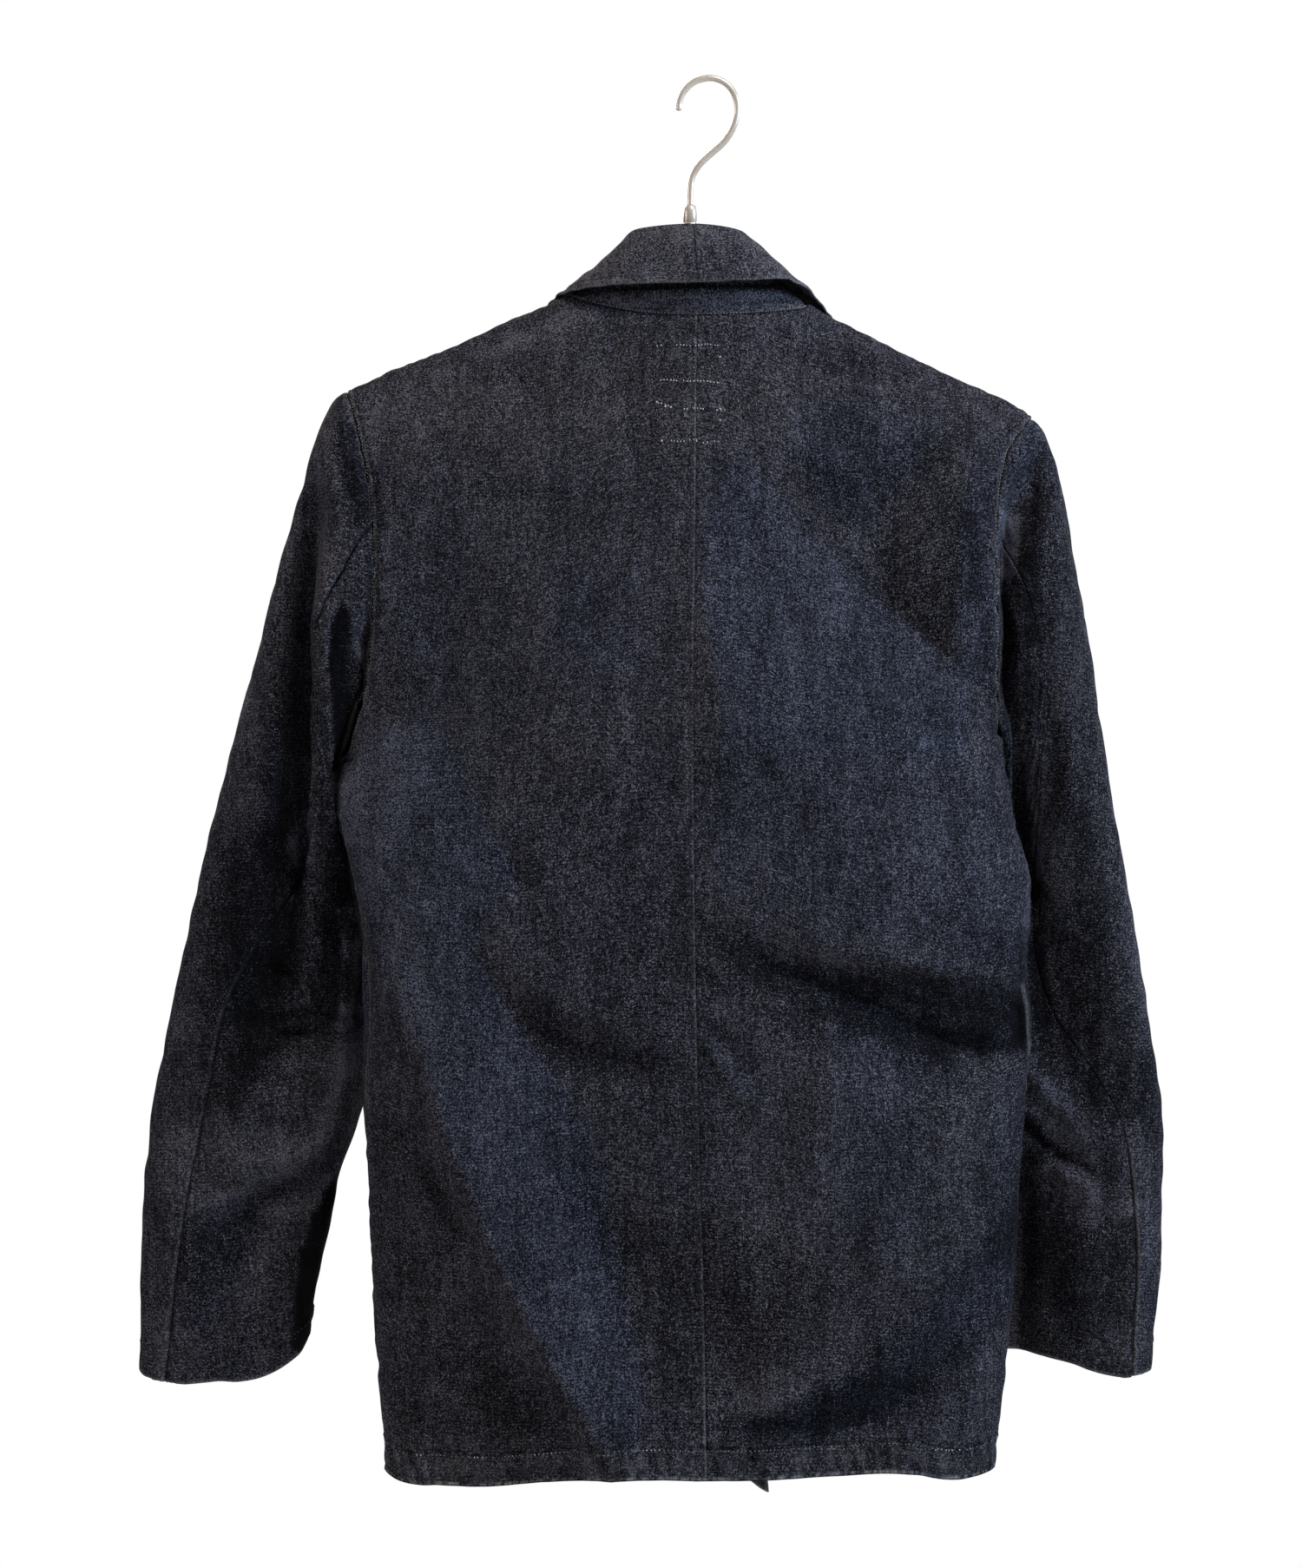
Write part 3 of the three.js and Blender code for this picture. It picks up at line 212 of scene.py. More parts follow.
FOLDS_BACK = [
    # the long ridge that runs from under the left armhole down to the hem, and the plane that falls away left of it
    dict(path=[(388, 880), (400, 950), (430, 1090), (480, 1210), (520, 1330), (560, 1420), (600, 1510), (650, 1600), (690, 1662), (716, 1716)],
         w=(22, 96), a=(3, 6, 9, 12, 13, 13, 12), k=1.3, e=(0.12, 0)),
    dict(path=[(394, 930), (430, 1090), (480, 1210), (520, 1330), (560, 1420), (600, 1510), (650, 1600), (690, 1662), (716, 1716)],
         w=(150, 20), a=(-3, -8, -13, -16, -17), plane=True, e=(0.15, 0)),
    dict(path=[(441, 1282), (486, 1344), (542, 1424)], w=(10, 14), a=-2.0),
    dict(path=[(470, 1480), (540, 1560), (590, 1660)], w=(26, 30), a=1.8),
    # drag lines from the ridge to the centre seam
    dict(path=[(556, 1104), (620, 1180), (700, 1220), (806, 1230)], w=(34, 18), a=(-3, -5, -5, -3), k=1.6, e=(0.2, 0.25)),
    dict(path=[(530, 1060), (620, 1142), (700, 1184), (806, 1192)], w=(18, 60), a=(2, 3.5, 3.5, 2), k=1.6, e=(0.25, 0.2)),
    dict(path=[(596, 1008), (548, 1088), (592, 1182), (642, 1232), (682, 1302), (704, 1402), (724, 1502), (744, 1610)], w=(40, 34), a=-3.0, e=(0.2, 0.2)),
    dict(path=[(570, 912), (690, 850), (790, 806)], w=(34, 24), a=3.2),
    dict(path=[(548, 568), (620, 574), (704, 572)], w=(8, 10), a=-1.6),
    dict(path=[(700, 1245), (735, 1290), (764, 1340)], w=(12, 16), a=1.2),
    dict(path=[(800, 1188), (838, 1238), (882, 1284)], w=(7, 9), a=1.6),
    dict(path=[(816, 1176), (856, 1226), (880, 1252)], w=(8, 9), a=-1.5),
    dict(path=[(820, 1250), (845, 1300), (850, 1340)], w=(14, 14), a=-1.4),
    # the deep fold across the right half of the waist: a lip above, a steep fall, and a crease at its foot
    dict(path=[(836, 1050), (930, 1082), (1010, 1100), (1100, 1114), (1200, 1128)], w=(24, 130), a=(2, 9, 12, 13, 13), k=1.5, e=(0.08, 0)),
    dict(path=[(846, 1096), (930, 1128), (1000, 1154), (1070, 1192), (1130, 1214), (1200, 1212)], w=(30, 30), a=(-4, -10, -15, -19, -20, -20), k=1.2, e=(0.08, 0)),
    dict(path=[(1020, 1132), (1100, 1160), (1200, 1172)], w=(24, 24), a=-5.0, e=(0.3, 0.0)),
    dict(path=[(900, 1250), (1040, 1284), (1185, 1284)], w=(100, 34), a=5.0, e=(0.25, 0.0)),
    dict(path=[(1174, 1130), (1182, 1150), (1187, 1178), (1186, 1214)], w=(4, 4), a=6.0, e=(0.12, 0.1)),
    dict(path=[(1170, 1152), (1174, 1176), (1175, 1204)], w=(6, 6), a=-9.0, e=(0.2, 0.12)),
    # valley from the centre seam to the right armhole, and the planes on both sides of it
    dict(path=[(838, 506), (890, 566), (960, 640), (1020, 702), (1090, 756), (1152, 782)], w=(50, 26), a=(-2, -5, -6.5, -7, -6), k=1.4, e=(0.15, 0.03)),
    dict(path=[(806, 600), (822, 740), (838, 860), (850, 980)], w=(26, 110), a=(2, 5, 6, 4), k=1.5, e=(0.3, 0.3)),
    dict(path=[(1170, 490), (1126, 560), (1106, 640), (1104, 720), (1120, 790)], w=(60, 34), a=(6, 10, 10, 8), k=1.5, e=(0.1, 0.12)),
    dict(path=[(925, 476), (975, 530), (1006, 590)], w=(40, 32), a=-3.0),
    dict(path=[(1040, 540), (1022, 620), (1036, 690), (1092, 768)], w=(34, 40), a=-6, k=1.7, e=(0.2, 0.1)),
    dict(path=[(996, 756), (1050, 806), (1136, 840)], w=(12, 14), a=-3.2, k=1.7, e=(0.15, 0.05)),
    dict(path=[(1000, 738), (1056, 786), (1136, 820)], w=(11, 22), a=2.2, e=(0.2, 0.05)),
    dict(path=[(872, 690), (900, 712), (934, 742)], w=(12, 14), a=-1.6),
    dict(path=[(990, 720), (1000, 756), (1004, 800)], w=(16, 12), a=1.8),
    dict(path=[(850, 868), (890, 900), (934, 950)], w=(12, 14), a=-1.6),
    dict(path=[(900, 880), (960, 930), (1060, 980)], w=(26, 30), a=1.8),
    dict(path=[(812, 528), (840, 560), (872, 602)], w=(14, 16), a=-1.2),
    dict(path=[(584, 972), (592, 1000), (602, 1036)], w=(12, 14), a=-1.8),
    # lower right
    # a dart of cloth that falls away towards the lower right
    dict(path=[(1190, 1380), (1110, 1456), (1050, 1528), (985, 1590), (860, 1640)], w=(110, 20), a=(6, 8, 8, 6), k=1.4, e=(0.06, 0.12)),
    dict(path=[(1186, 1460), (1110, 1530), (1060, 1590), (1000, 1640), (880, 1668)], w=(22, 40), a=(-8, -12, -12, -10, -5), k=1.4, e=(0.06, 0.15)),
    dict(path=[(1168, 1530), (1110, 1600), (1060, 1660), (1030, 1716)], w=(50, 30), a=6, e=(0.1, 0)),
    dict(path=[(1130, 1240), (1080, 1350), (1000, 1480)], w=(50, 60), a=4),
    dict(path=[(740, 1420), (800, 1500), (880, 1560)], w=(70, 50), a=-4),
    dict(path=[(930, 1290), (952, 1340), (960, 1400)], w=(10, 12), a=-1.2),
    dict(path=[(1010, 1300), (1034, 1360), (1040, 1430)], w=(12, 12), a=1.1),
    # upper left
    dict(path=[(452, 560), (480, 660), (500, 780)], w=(26, 40), a=-2.5),
    dict(path=[(420, 820), (520, 850), (640, 960)], w=(50, 40), a=-2.5),
    dict(path=[(660, 690), (688, 725), (712, 770)], w=(22, 26), a=-1.6),
    dict(path=[(600, 470), (640, 560), (650, 660)], w=(40, 40), a=1.2),
    dict(path=[(520, 600), (560, 680), (640, 760)], w=(16, 18), a=-0.9),
    dict(path=[(560, 1090), (600, 1100), (660, 1130)], w=(8, 9), a=0.9),
]
FOLDS_FRONT = [
    dict(path=[(1090, 1040), (1045, 1280), (1010, 1716)], w=(60, 74), a=5, e=(0.2, 0)),
    dict(path=[(1120, 1240), (1092, 1450), (1082, 1716)], w=(50, 60), a=-6, e=(0.2, 0)),
    dict(path=[(490, 1040), (545, 1280), (590, 1716)], w=(74, 60), a=5, e=(0.2, 0)),
    dict(path=[(470, 1200), (500, 1450), (512, 1716)], w=(60, 50), a=-5.5, e=(0.2, 0)),
    dict(path=[(470, 700), (560, 860), (640, 980)], w=(40, 52), a=-4),
    dict(path=[(1110, 710), (1020, 860), (950, 980)], w=(52, 40), a=-4),
    dict(path=[(520, 640), (600, 720), (690, 770)], w=(24, 30), a=-2),
    dict(path=[(1060, 640), (990, 720), (920, 770)], w=(30, 24), a=-2),
    dict(path=[(640, 1180), (690, 1380), (700, 1600)], w=(40, 50), a=2.5),
    dict(path=[(960, 1150), (930, 1380), (935, 1600)], w=(50, 40), a=2.5),
    dict(path=[(560, 1080), (660, 1110), (770, 1060)], w=(26, 20), a=-2),
    dict(path=[(1040, 1090), (950, 1130), (870, 1070)], w=(20, 26), a=-2),
]
FOLDS_SLEEVE = {
    "L": [
        # a flap beside the armhole that stands over a deep valley
        dict(path=[(398, 470), (368, 506), (370, 600), (364, 700), (371, 760), (381, 840), (384, 930), (369, 1050), (346, 1180)], w=(7, 56), a=(3, 7, 8, 8, 8, 8, 7, 6, 3), k=1.7, e=(0.05, 0.12)),
        dict(path=[(359, 520), (356, 610), (351, 720), (352, 800), (352, 900), (341, 1000), (316, 1100)], w=(25, 7), a=(-16, -34, -40, -40, -38, -26, -8), k=2.6, e=(0.08, 0.22)),
        dict(path=[(404, 690), (392, 740), (392, 800), (396, 860), (394, 925)], w=(11, 12), a=(-8, -22, -26, -26, -20), k=2.2, e=(0.15, 0.15)),
        dict(path=[(398, 500), (406, 530), (414, 585)], w=(8, 9), a=-5.0),
        dict(path=[(428, 600), (404, 612), (380, 630)], w=(6, 7), a=-3.0),
        dict(path=[(400, 742), (412, 768), (424, 800)], w=(7, 7), a=-9.0),
        dict(path=[(330, 930), (350, 1080), (356, 1186)], w=(46, 62), a=-15, e=(0.3, 0.06)),
        dict(path=[(404, 1060), (399, 1120), (394, 1192)], w=(8, 8), a=9, e=(0.2, 0.06)),
        dict(path=[(420, 1070), (414, 1130), (406, 1192)], w=(7, 8), a=-8, e=(0.2, 0.06)),
        dict(path=[(382, 1040), (377, 1120), (374, 1192)], w=(8, 8), a=-8, e=(0.2, 0.06)),
        dict(path=[(362, 1000), (354, 1100), (342, 1188)], w=(10, 9), a=8, e=(0.2, 0.08)),
        dict(path=[(262, 960), (300, 975), (334, 970)], w=(20, 16), a=-5),
        dict(path=[(252, 1170), (290, 1160), (330, 1110)], w=(18, 22), a=-6),
        dict(path=[(290, 1182), (330, 1194), (372, 1192), (432, 1174)], w=(7, 26), a=(-5, -10, -10, -8), k=1.5, e=(0.12, 0.03)),
        dict(path=[(222, 1286), (320, 1262), (434, 1224)], w=(62, 30), a=9, e=(0.25, 0.03)),
        dict(path=[(396, 1342), (340, 1358), (300, 1372), (276, 1402), (232, 1428)], w=(11, 44), a=(-8, -12, -12, -10, -5), k=1.5, e=(0.04, 0.12)),
        dict(path=[(392, 1318), (330, 1334), (290, 1348), (262, 1380)], w=(30, 9), a=5, e=(0.1, 0.2)),
        dict(path=[(225, 1120), (205, 1230), (198, 1320)], w=(22, 26), a=-3),
        dict(path=[(316, 1440), (296, 1500), (282, 1580)], w=(24, 30), a=4),
        dict(path=[(378, 1350), (372, 1450), (358, 1566)], w=(24, 14), a=-15, e=(0.12, 0)),
    ],
    "R": [
        # the sleeve falls away from its outer rim towards the body, behind the armhole's edge
        dict(path=[(1216, 520), (1238, 640), (1256, 740), (1274, 840), (1290, 940), (1306, 1040), (1320, 1130), (1330, 1230), (1334, 1340), (1326, 1450), (1316, 1590)], w=(110, 10), a=(-8, -15, -18, -18, -18, -18, -16, -15, -15, -15), plane=True, e=(0.08, 0)),
        dict(path=[(1200, 486), (1191, 530), (1182, 580), (1171, 630), (1157, 690)], w=(30, 5), a=(3, 8, 9, 9, 6), k=1.7, e=(0.05, 0.1)),
        dict(path=[(1216, 496), (1209, 540), (1199, 590), (1187, 640), (1174, 700), (1168, 800), (1172, 900), (1186, 1000), (1194, 1090)], w=(6, 15), a=(-10, -20, -24, -25, -24, -22, -20, -16, -10), k=2.4, e=(0.05, 0.12)),
        dict(path=[(1150, 622), (1156, 640), (1163, 660)], w=(4, 4), a=-4.0),
        dict(path=[(1150, 626), (1158, 646), (1166, 668)], w=(6, 7), a=-2.5),
        dict(path=[(1236, 700), (1238, 850), (1226, 990)], w=(20, 30), a=5),
        dict(path=[(1206, 1060), (1212, 1130), (1236, 1236)], w=(34, 44), a=-5),
        dict(path=[(1182, 1222), (1202, 1254), (1232, 1292), (1262, 1334)], w=(8, 26), a=(3, 5, 5, 3), k=1.7, e=(0.03, 0.08)),
        dict(path=[(1174, 1286), (1194, 1310), (1214, 1328), (1238, 1342), (1260, 1352)], w=(6, 5), a=(-4, -5, -5, -4, -2), k=1.8, e=(0.03, 0.1)),
        dict(path=[(1218, 1342), (1242, 1364), (1266, 1382)], w=(14, 12), a=5),
        dict(path=[(1330, 1170), (1285, 1200), (1240, 1210)], w=(22, 26), a=-3),
        dict(path=[(1300, 1000), (1262, 1050), (1240, 1080)], w=(18, 22), a=-2.5),
        dict(path=[(1256, 1400), (1246, 1450), (1242, 1510)], w=(24, 26), a=5),
        dict(path=[(1296, 1390), (1280, 1460), (1284, 1570)], w=(20, 20), a=-3),
        dict(path=[(1180, 1310), (1178, 1420), (1178, 1570)], w=(20, 15), a=-18, e=(0.25, 0.0)),
        dict(path=[(1325, 1330), (1312, 1400), (1318, 1480)], w=(12, 12), a=2),
    ],
}
# the sleeves' front halves, which the wearer's elbow has creased in the same way
FOLDS_SLEEVE_FRONT = {
    "L": [
        dict(path=[(380, 560), (350, 720), (330, 860)], w=(26, 30), a=-5),
        dict(path=[(420, 1090), (330, 1130), (240, 1090)], w=(18, 24), a=-5),
        dict(path=[(420, 1180), (330, 1210), (220, 1180)], w=(18, 22), a=-4),
        dict(path=[(400, 1270), (320, 1290), (200, 1250)], w=(18, 22), a=-3),
        dict(path=[(270, 1380), (260, 1480), (262, 1560)], w=(30, 30), a=3),
    ],
    "R": [
        dict(path=[(1200, 560), (1225, 720), (1240, 860)], w=(30, 26), a=-5),
        dict(path=[(1130, 1080), (1210, 1120), (1300, 1080)], w=(18, 24), a=-5),
        dict(path=[(1120, 1170), (1210, 1200), (1320, 1170)], w=(18, 22), a=-4),
        dict(path=[(1120, 1260), (1220, 1280), (1330, 1240)], w=(18, 22), a=-3),
        dict(path=[(1240, 1380), (1246, 1480), (1240, 1560)], w=(30, 30), a=3),
    ],
}

# ------------------------------------------------------------------ body
sideL = Curve([(1690, 446), (1652, 445), (1606, 440), (1565, 436), (1523, 432), (1461, 430), (1378, 427), (1316, 423.5), (1270, 420.5), (1212, 421), (1156, 420), (1094, 419), (1056, 415), (1015, 409), (965, 397), (926, 388), (900, 390.5), (880, 395)])
sideR = Curve([(1690, 1143), (1652, 1146), (1627, 1150), (1573, 1156), (1523, 1162), (1440, 1169), (1357, 1173), (1287, 1177), (1233, 1183), (1187, 1187), (1150, 1184), (1125, 1181), (1094, 1182), (1056, 1185), (1015, 1184), (986, 1177), (957, 1167), (911, 1158), (868, 1153)])
armL = Curve([(880, 395), (841, 407), (808, 418), (768, 425), (727, 428), (685, 429), (648, 429.5), (615, 429), (561, 423), (515, 414), (482, 407), (452, 400)])
armR = Curve([(868, 1153), (830, 1151), (797, 1150.5), (762, 1150.5), (739, 1150), (698, 1148), (665, 1147), (631, 1148), (611, 1149), (565, 1155), (532, 1165), (507, 1177), (481, 1188)])
ridge = Curve([(330, 484), (400, 452), (420, 443), (461, 424.5), (502, 409), (544, 391), (585, 371.5), (627, 354), (655, 341), (720, 313), (770, 293), (805, 284), (840, 293), (890, 326), (932, 351.5), (953, 364.5), (990, 383), (1040, 408), (1082, 428), (1123, 447), (1156, 461), (1177, 473.5), (1188, 483.5), (1250, 533)])
NECK = {"L": 655.0, "R": 932.0}
NECK_Q = 368.5
depthB = Curve([(0, 0), (1.5, 6.5), (4, 10.5), (8, 14), (14, 17.5), (24, 22), (41, 28), (65, 35), (100, 42), (150, 49), (220, 55), (320, 58), (450, 58), (600, 57), (760, 56)])
depthF = Curve([(0, 0), (1.5, 6.5), (4, 10), (8, 13), (14, 16), (24, 19.5), (41, 24), (65, 29), (100, 35), (150, 42), (220, 48), (320, 52), (450, 54), (600, 53), (780, 52)])
turnB = Curve([(0, 90), (0.03, 82), (0.08, 75), (0.2, 66), (0.4, 60), (0.6, 58), (1, 58)])
turnF = Curve([(0, 90), (0.03, 80), (0.08, 71), (0.2, 60), (0.4, 54), (0.65, 54), (0.85, 56.5), (1, 58)])
pitT = {s: (HEM - PIT[s]) / (HEM - TOP[s]) for s in "LR"}
SIGN = {"L": -1.0, "R": 1.0}


def arm_turn(side, t, back):
    return (turnB if back else turnF)((t - pitT[side]) / (1 - pitT[side])) * RAD


def half_width(side, t):
    q = HEM - (HEM - TOP[side]) * t
    low = CENTRE - sideL(q) if side == "L" else sideR(q) - CENTRE
    y = -0.667 * depthB((q - TOP[side]) * SCALE)
    p = away(armL(q) if side == "L" else armR(q), y)
    high = np.abs(CENTRE - p) / np.sin(arm_turn(side, t, True))
    return np.where(t <= pitT[side] + 1e-12, low, high)


HEM_SWAY = Curve([(-1, 1), (-0.95, 4), (-0.88, 2), (-0.82, -1.5), (-0.65, -3.5), (-0.48, -6.5), (-0.25, -5.5), (-0.1, -2.5), (0.03, 0.5), (0.18, 0), (0.3, -1.5), (0.47, -5), (0.64, -9), (0.73, -7), (0.81, -0.5), (0.87, 2), (0.93, 0), (1, -4)])


def hem_line(a):
    r = np.abs(a) / RAD
    low = mix(1685, HEM, np.sin(r * RAD)) + np.where(a < 0, 15, 1) * np.sin(2 * r * RAD) ** 2
    low = low + HEM_SWAY(np.sin(a))
    return np.where(r <= 90, low, HEM + 24 * smooth((r - 90) / 80))


def body_draft(t, a, folds=True):
    t, a = np.broadcast_arrays(np.asarray(t, float), np.asarray(a, float))
    k, back = np.sin(a), np.cos(a) >= 0
    p = CENTRE + np.where(k < 0, half_width("L", t), half_width("R", t)) * k
    hq, rq = hem_line(a), ridge(p)
    q = hq + (rq - hq) * t
    d = (q - rq) * SCALE
    g = np.maximum(0, 1 - np.abs(k) ** ROUND) ** (1 / ROUND)
    base = np.where(back, -depthB(d), depthF(d)) * g
    y = base
    if folds:
        fade = smooth(d / 90) * g
        up, low = back, ~back
        add = np.zeros(base.shape)
        if up.any():
            add[up] = -folded(FOLDS_BACK, pp(p[up], base[up]), qq(q[up], base[up]))
        if low.any():
            add[low] = folded(FOLDS_FRONT, p[low], q[low])
        y = base + fade * add
    return p, q, y


def body(t, a, folds=True):
    return at(*body_draft(t, a, folds))


def turn_at(t, p, back):
    w = np.where(p < CENTRE, half_width("L", t), half_width("R", t))
    s = np.arcsin(np.clip((p - CENTRE) / w, -1, 1))
    return s if back else np.where(p < CENTRE, -np.pi - s, np.pi - s)


centreBack = Curve([(360, 804), (420, 803), (640, 801), (800, 799), (1000, 800), (1150, 802), (1300, 805), (1500, 811), (1700, 814)])
sideSeam = {
    "L": Curve([(0, -92), (0.2, -92), (0.3, -86), (0.38, -79), (0.43, -75), (0.5, -79), (0.58, -86), (pitT["L"], -90)]),
    "R": Curve([(0, 92), (0.36, 90), (0.46, 88.5), (pitT["R"], 90)]),
}
BREAK_Q = 800.0


def level_of(p, q, hq=1712.0):
    return (hq - q) / (hq - ridge(p))


edge = {
    "L": Curve([(0, 881), (float(level_of(850, BREAK_Q)), 850), (float(level_of(772, 600)), 772), (float(level_of(694, 402)), 694), (float(level_of(671, 366)), 671), (1, NECK["L"])]),
    "R": Curve([(0, 803), (float(level_of(774, BREAK_Q)), 774), (float(level_of(842, 610)), 842), (float(level_of(912, 414)), 912), (float(level_of(932, 384)), 932), (1, NECK["R"])]),
}
OVERLAP = 1.4


def back_centre(t):
    return turn_at(t, away(centreBack(qq(mix(1685, 284, t), -55.0)), -55.0), True)


def back_edge(side, t):
    return np.where(t <= pitT[side], sideSeam[side](t) * RAD, SIGN[side] * arm_turn(side, t, True))


def c_neck(side):
    one = np.array(1.0)
    return float((turn_at(one, np.array(NECK[side]), True) - back_centre(one)) / (back_edge(side, one) - back_centre(one)))


C_NECK = {s: c_neck(s) for s in "LR"}


def back_surface(side, v, c, folds=True):
    v, c = np.broadcast_arrays(np.asarray(v, float), np.asarray(c, float))
    t95 = np.array(0.95)
    a = mix(back_centre(t95), back_edge(side, t95), c)
    p = CENTRE + half_width(side, t95) * np.sin(a)
    q = mix(NECK_Q, ridge(NECK[side]), np.abs(c / C_NECK[side]) ** 2.4)
    hq = hem_line(a)
    top = np.where(c >= C_NECK[side] - 1e-9, 1.0, np.minimum(1, (hq - q) / (hq - ridge(p))))
    t = v * top
    return body(t, mix(back_centre(t), back_edge(side, t), c), folds)


def lap(side, x, t):
    near = 1 - smooth(np.abs(x - (812 - P0) * SCALE) / 90)
    return -SIGN[side] * OVERLAP * near * smooth((1 - t) / 0.15)


def front_surface(side, t, c, folds=True):
    t, c = np.broadcast_arrays(np.asarray(t, float), np.asarray(c, float))
    p = edge[side](t)
    w = np.where(p < CENTRE, half_width("L", t), half_width("R", t))
    s = np.arcsin((p - CENTRE) / w)
    a0 = -np.pi - s if side == "L" else np.pi - s
    e = np.where(t <= pitT[side], sideSeam[side](t) * RAD, SIGN[side] * (np.pi - arm_turn(side, t, False)))
    P = body(t, mix(a0, e, c), folds)
    P[..., 1] += lap(side, P[..., 0], t)
    if side == "L":
        tip = np.exp(-(c / 0.03) ** 2) * np.exp(-(t / 0.02) ** 2)
        P[..., 2] -= 12 * tip
        P[..., 0] += 4 * tip
    return P


def on_front(side, p, q, out):
    p, q, out = np.broadcast_arrays(np.asarray(p, float), np.asarray(q, float), np.asarray(out, float))
    t = level_of(p, q)
    for _ in range(4):
        a = turn_at(t, p, False)
        hq = hem_line(a)
        t = (hq - q) / (hq - ridge(p))
    bp, bq, y = body_draft(t, turn_at(t, p, False))
    return at(p, q, y + out + lap(side, (bp - P0) * SCALE, t))


# ------------------------------------------------------------------ sleeves
SLEEVE = {
    "L": curves([
        [0, 400, 452, 0, 395, 880, 0, 30],
        [0.04, 384, 466, 2, 390, 892, 6, 36],
        [0.1, 367, 500, 4, 394, 914, 16, 42],
        [0.2, 342.5, 585, 9, 404, 950, 26, 46],
        [0.3, 316, 685, 14, 414, 1000, 34, 47],
        [0.4, 289, 785, 19, 424, 1055, 38, 46],
        [0.5, 264, 880, 23, 430, 1115, 40, 44],
        [0.6, 237, 985, 26, 430, 1185, 40, 42],
        [0.7, 209, 1115, 28, 424, 1245, 40, 40],
        [0.78, 187.5, 1220, 30, 411, 1293, 40, 38],
        [0.86, 170, 1330, 32, 391, 1350, 40, 35],
        [0.93, 164, 1450, 35, 373, 1440, 41, 32],
        [1, 163, 1586, 38, 353, 1553, 42, 29],
    ]),
    "R": curves([
        [0, 1188, 480.5, 0, 1153, 868, 0, 30],
        [0.04, 1201.5, 500, 3, 1161, 881, 8, 36],
        [0.1, 1214, 530, 8, 1164, 903, 22, 41],
        [0.2, 1232, 620, 20, 1158, 945, 42, 43],
        [0.3, 1248, 718, 33, 1148, 990, 56, 43],
        [0.4, 1262.5, 815, 45, 1137, 1045, 66, 42],
        [0.5, 1278, 915, 54, 1126, 1105, 71, 41],
        [0.6, 1299, 1030, 60, 1114, 1170, 73, 39],
        [0.7, 1316, 1130, 64, 1106, 1235, 74, 38],
        [0.78, 1328, 1215, 66, 1103, 1290, 74, 37],
        [0.86, 1338, 1310, 67, 1107, 1355, 74, 34],
        [0.93, 1337, 1430, 67, 1116, 1440, 73, 31],
        [1, 1324, 1583, 66, 1126, 1549, 72, 28],
    ]),
}
SEAM_B = {
    "L": Curve([(0, 0.39), (0.1, 0.42), (0.2, 0.41), (0.29, 0.55), (0.38, 0.59), (0.49, 0.53), (0.58, 0.44), (0.65, 0.34), (0.72, 0.27), (0.82, 0.28), (0.9, 0.24), (1, 0.175)]),
    "R": Curve([(0, 0.39), (0.15, 0.46), (0.35, 0.56), (0.55, 0.6), (0.68, 0.5), (0.76, 0.35), (0.83, 0.225), (0.9, 0.165), (1, 0.125)]),
}
CUFF_BOW = {"L": 10.0, "R": 1.0}
SEAM_F = Curve([(0, 0.75), (0.5, 0.78), (1, 0.8)])
CUFF_SWAY = {
    "L": (
        Curve([(0, -13), (0.04, -9), (0.1, -7), (0.22, -2), (0.3, 1), (0.5, 3), (0.62, 8), (0.72, 9), (0.83, 6), (0.9, 2), (0.96, -3), (1, -13)]),
        Curve([(0, -13), (0.08, -6), (0.2, -2), (0.8, -2), (0.93, -6), (1, -13)]),
    ),
    "R": (
        Curve([(0, -9), (0.03, -6), (0.1, -2), (0.17, 3), (0.27, 3), (0.37, 1), (0.47, -3), (0.58, -4), (0.68, -5), (0.8, -3), (1, -3)]),
        Curve([(0, -9), (0.08, -5), (0.2, -3), (0.8, -3), (1, -3)]),
    ),
}


def clear_of_body(P, side, s):
    p, q = P0 + P[..., 0] / SCALE, Q0 - P[..., 2] / SCALE
    rq = ridge(np.clip(p, 480, 1100))
    t = (HEM - q) / (HEM - rq)
    lim = pitT[side]
    room = 5.6 * smooth(s / 0.04) * (1 - smooth((t - lim) / 0.04))
    W = half_width(side, np.clip(t, 0, lim)) * SCALE + room
    d = (q - rq) * SCALE
    D = np.where(P[..., 1] < 0, depthB(d) + 6, depthF(d) + 6) + room
    k = np.abs((p - CENTRE) * SCALE) / W
    r = (k ** ROUND + (np.abs(P[..., 1]) / np.maximum(1e-6, D)) ** ROUND) ** (1 / ROUND)
    push = (t <= lim + 0.04) & (t >= -0.02) & (r < 1) & (r >= 0.3)
    r = np.where(push, r, 1.0)
    c = (CENTRE - P0) * SCALE
    out = P.copy()
    out[..., 0] = c + (P[..., 0] - c) / r
    out[..., 1] = P[..., 1] / r
    return out


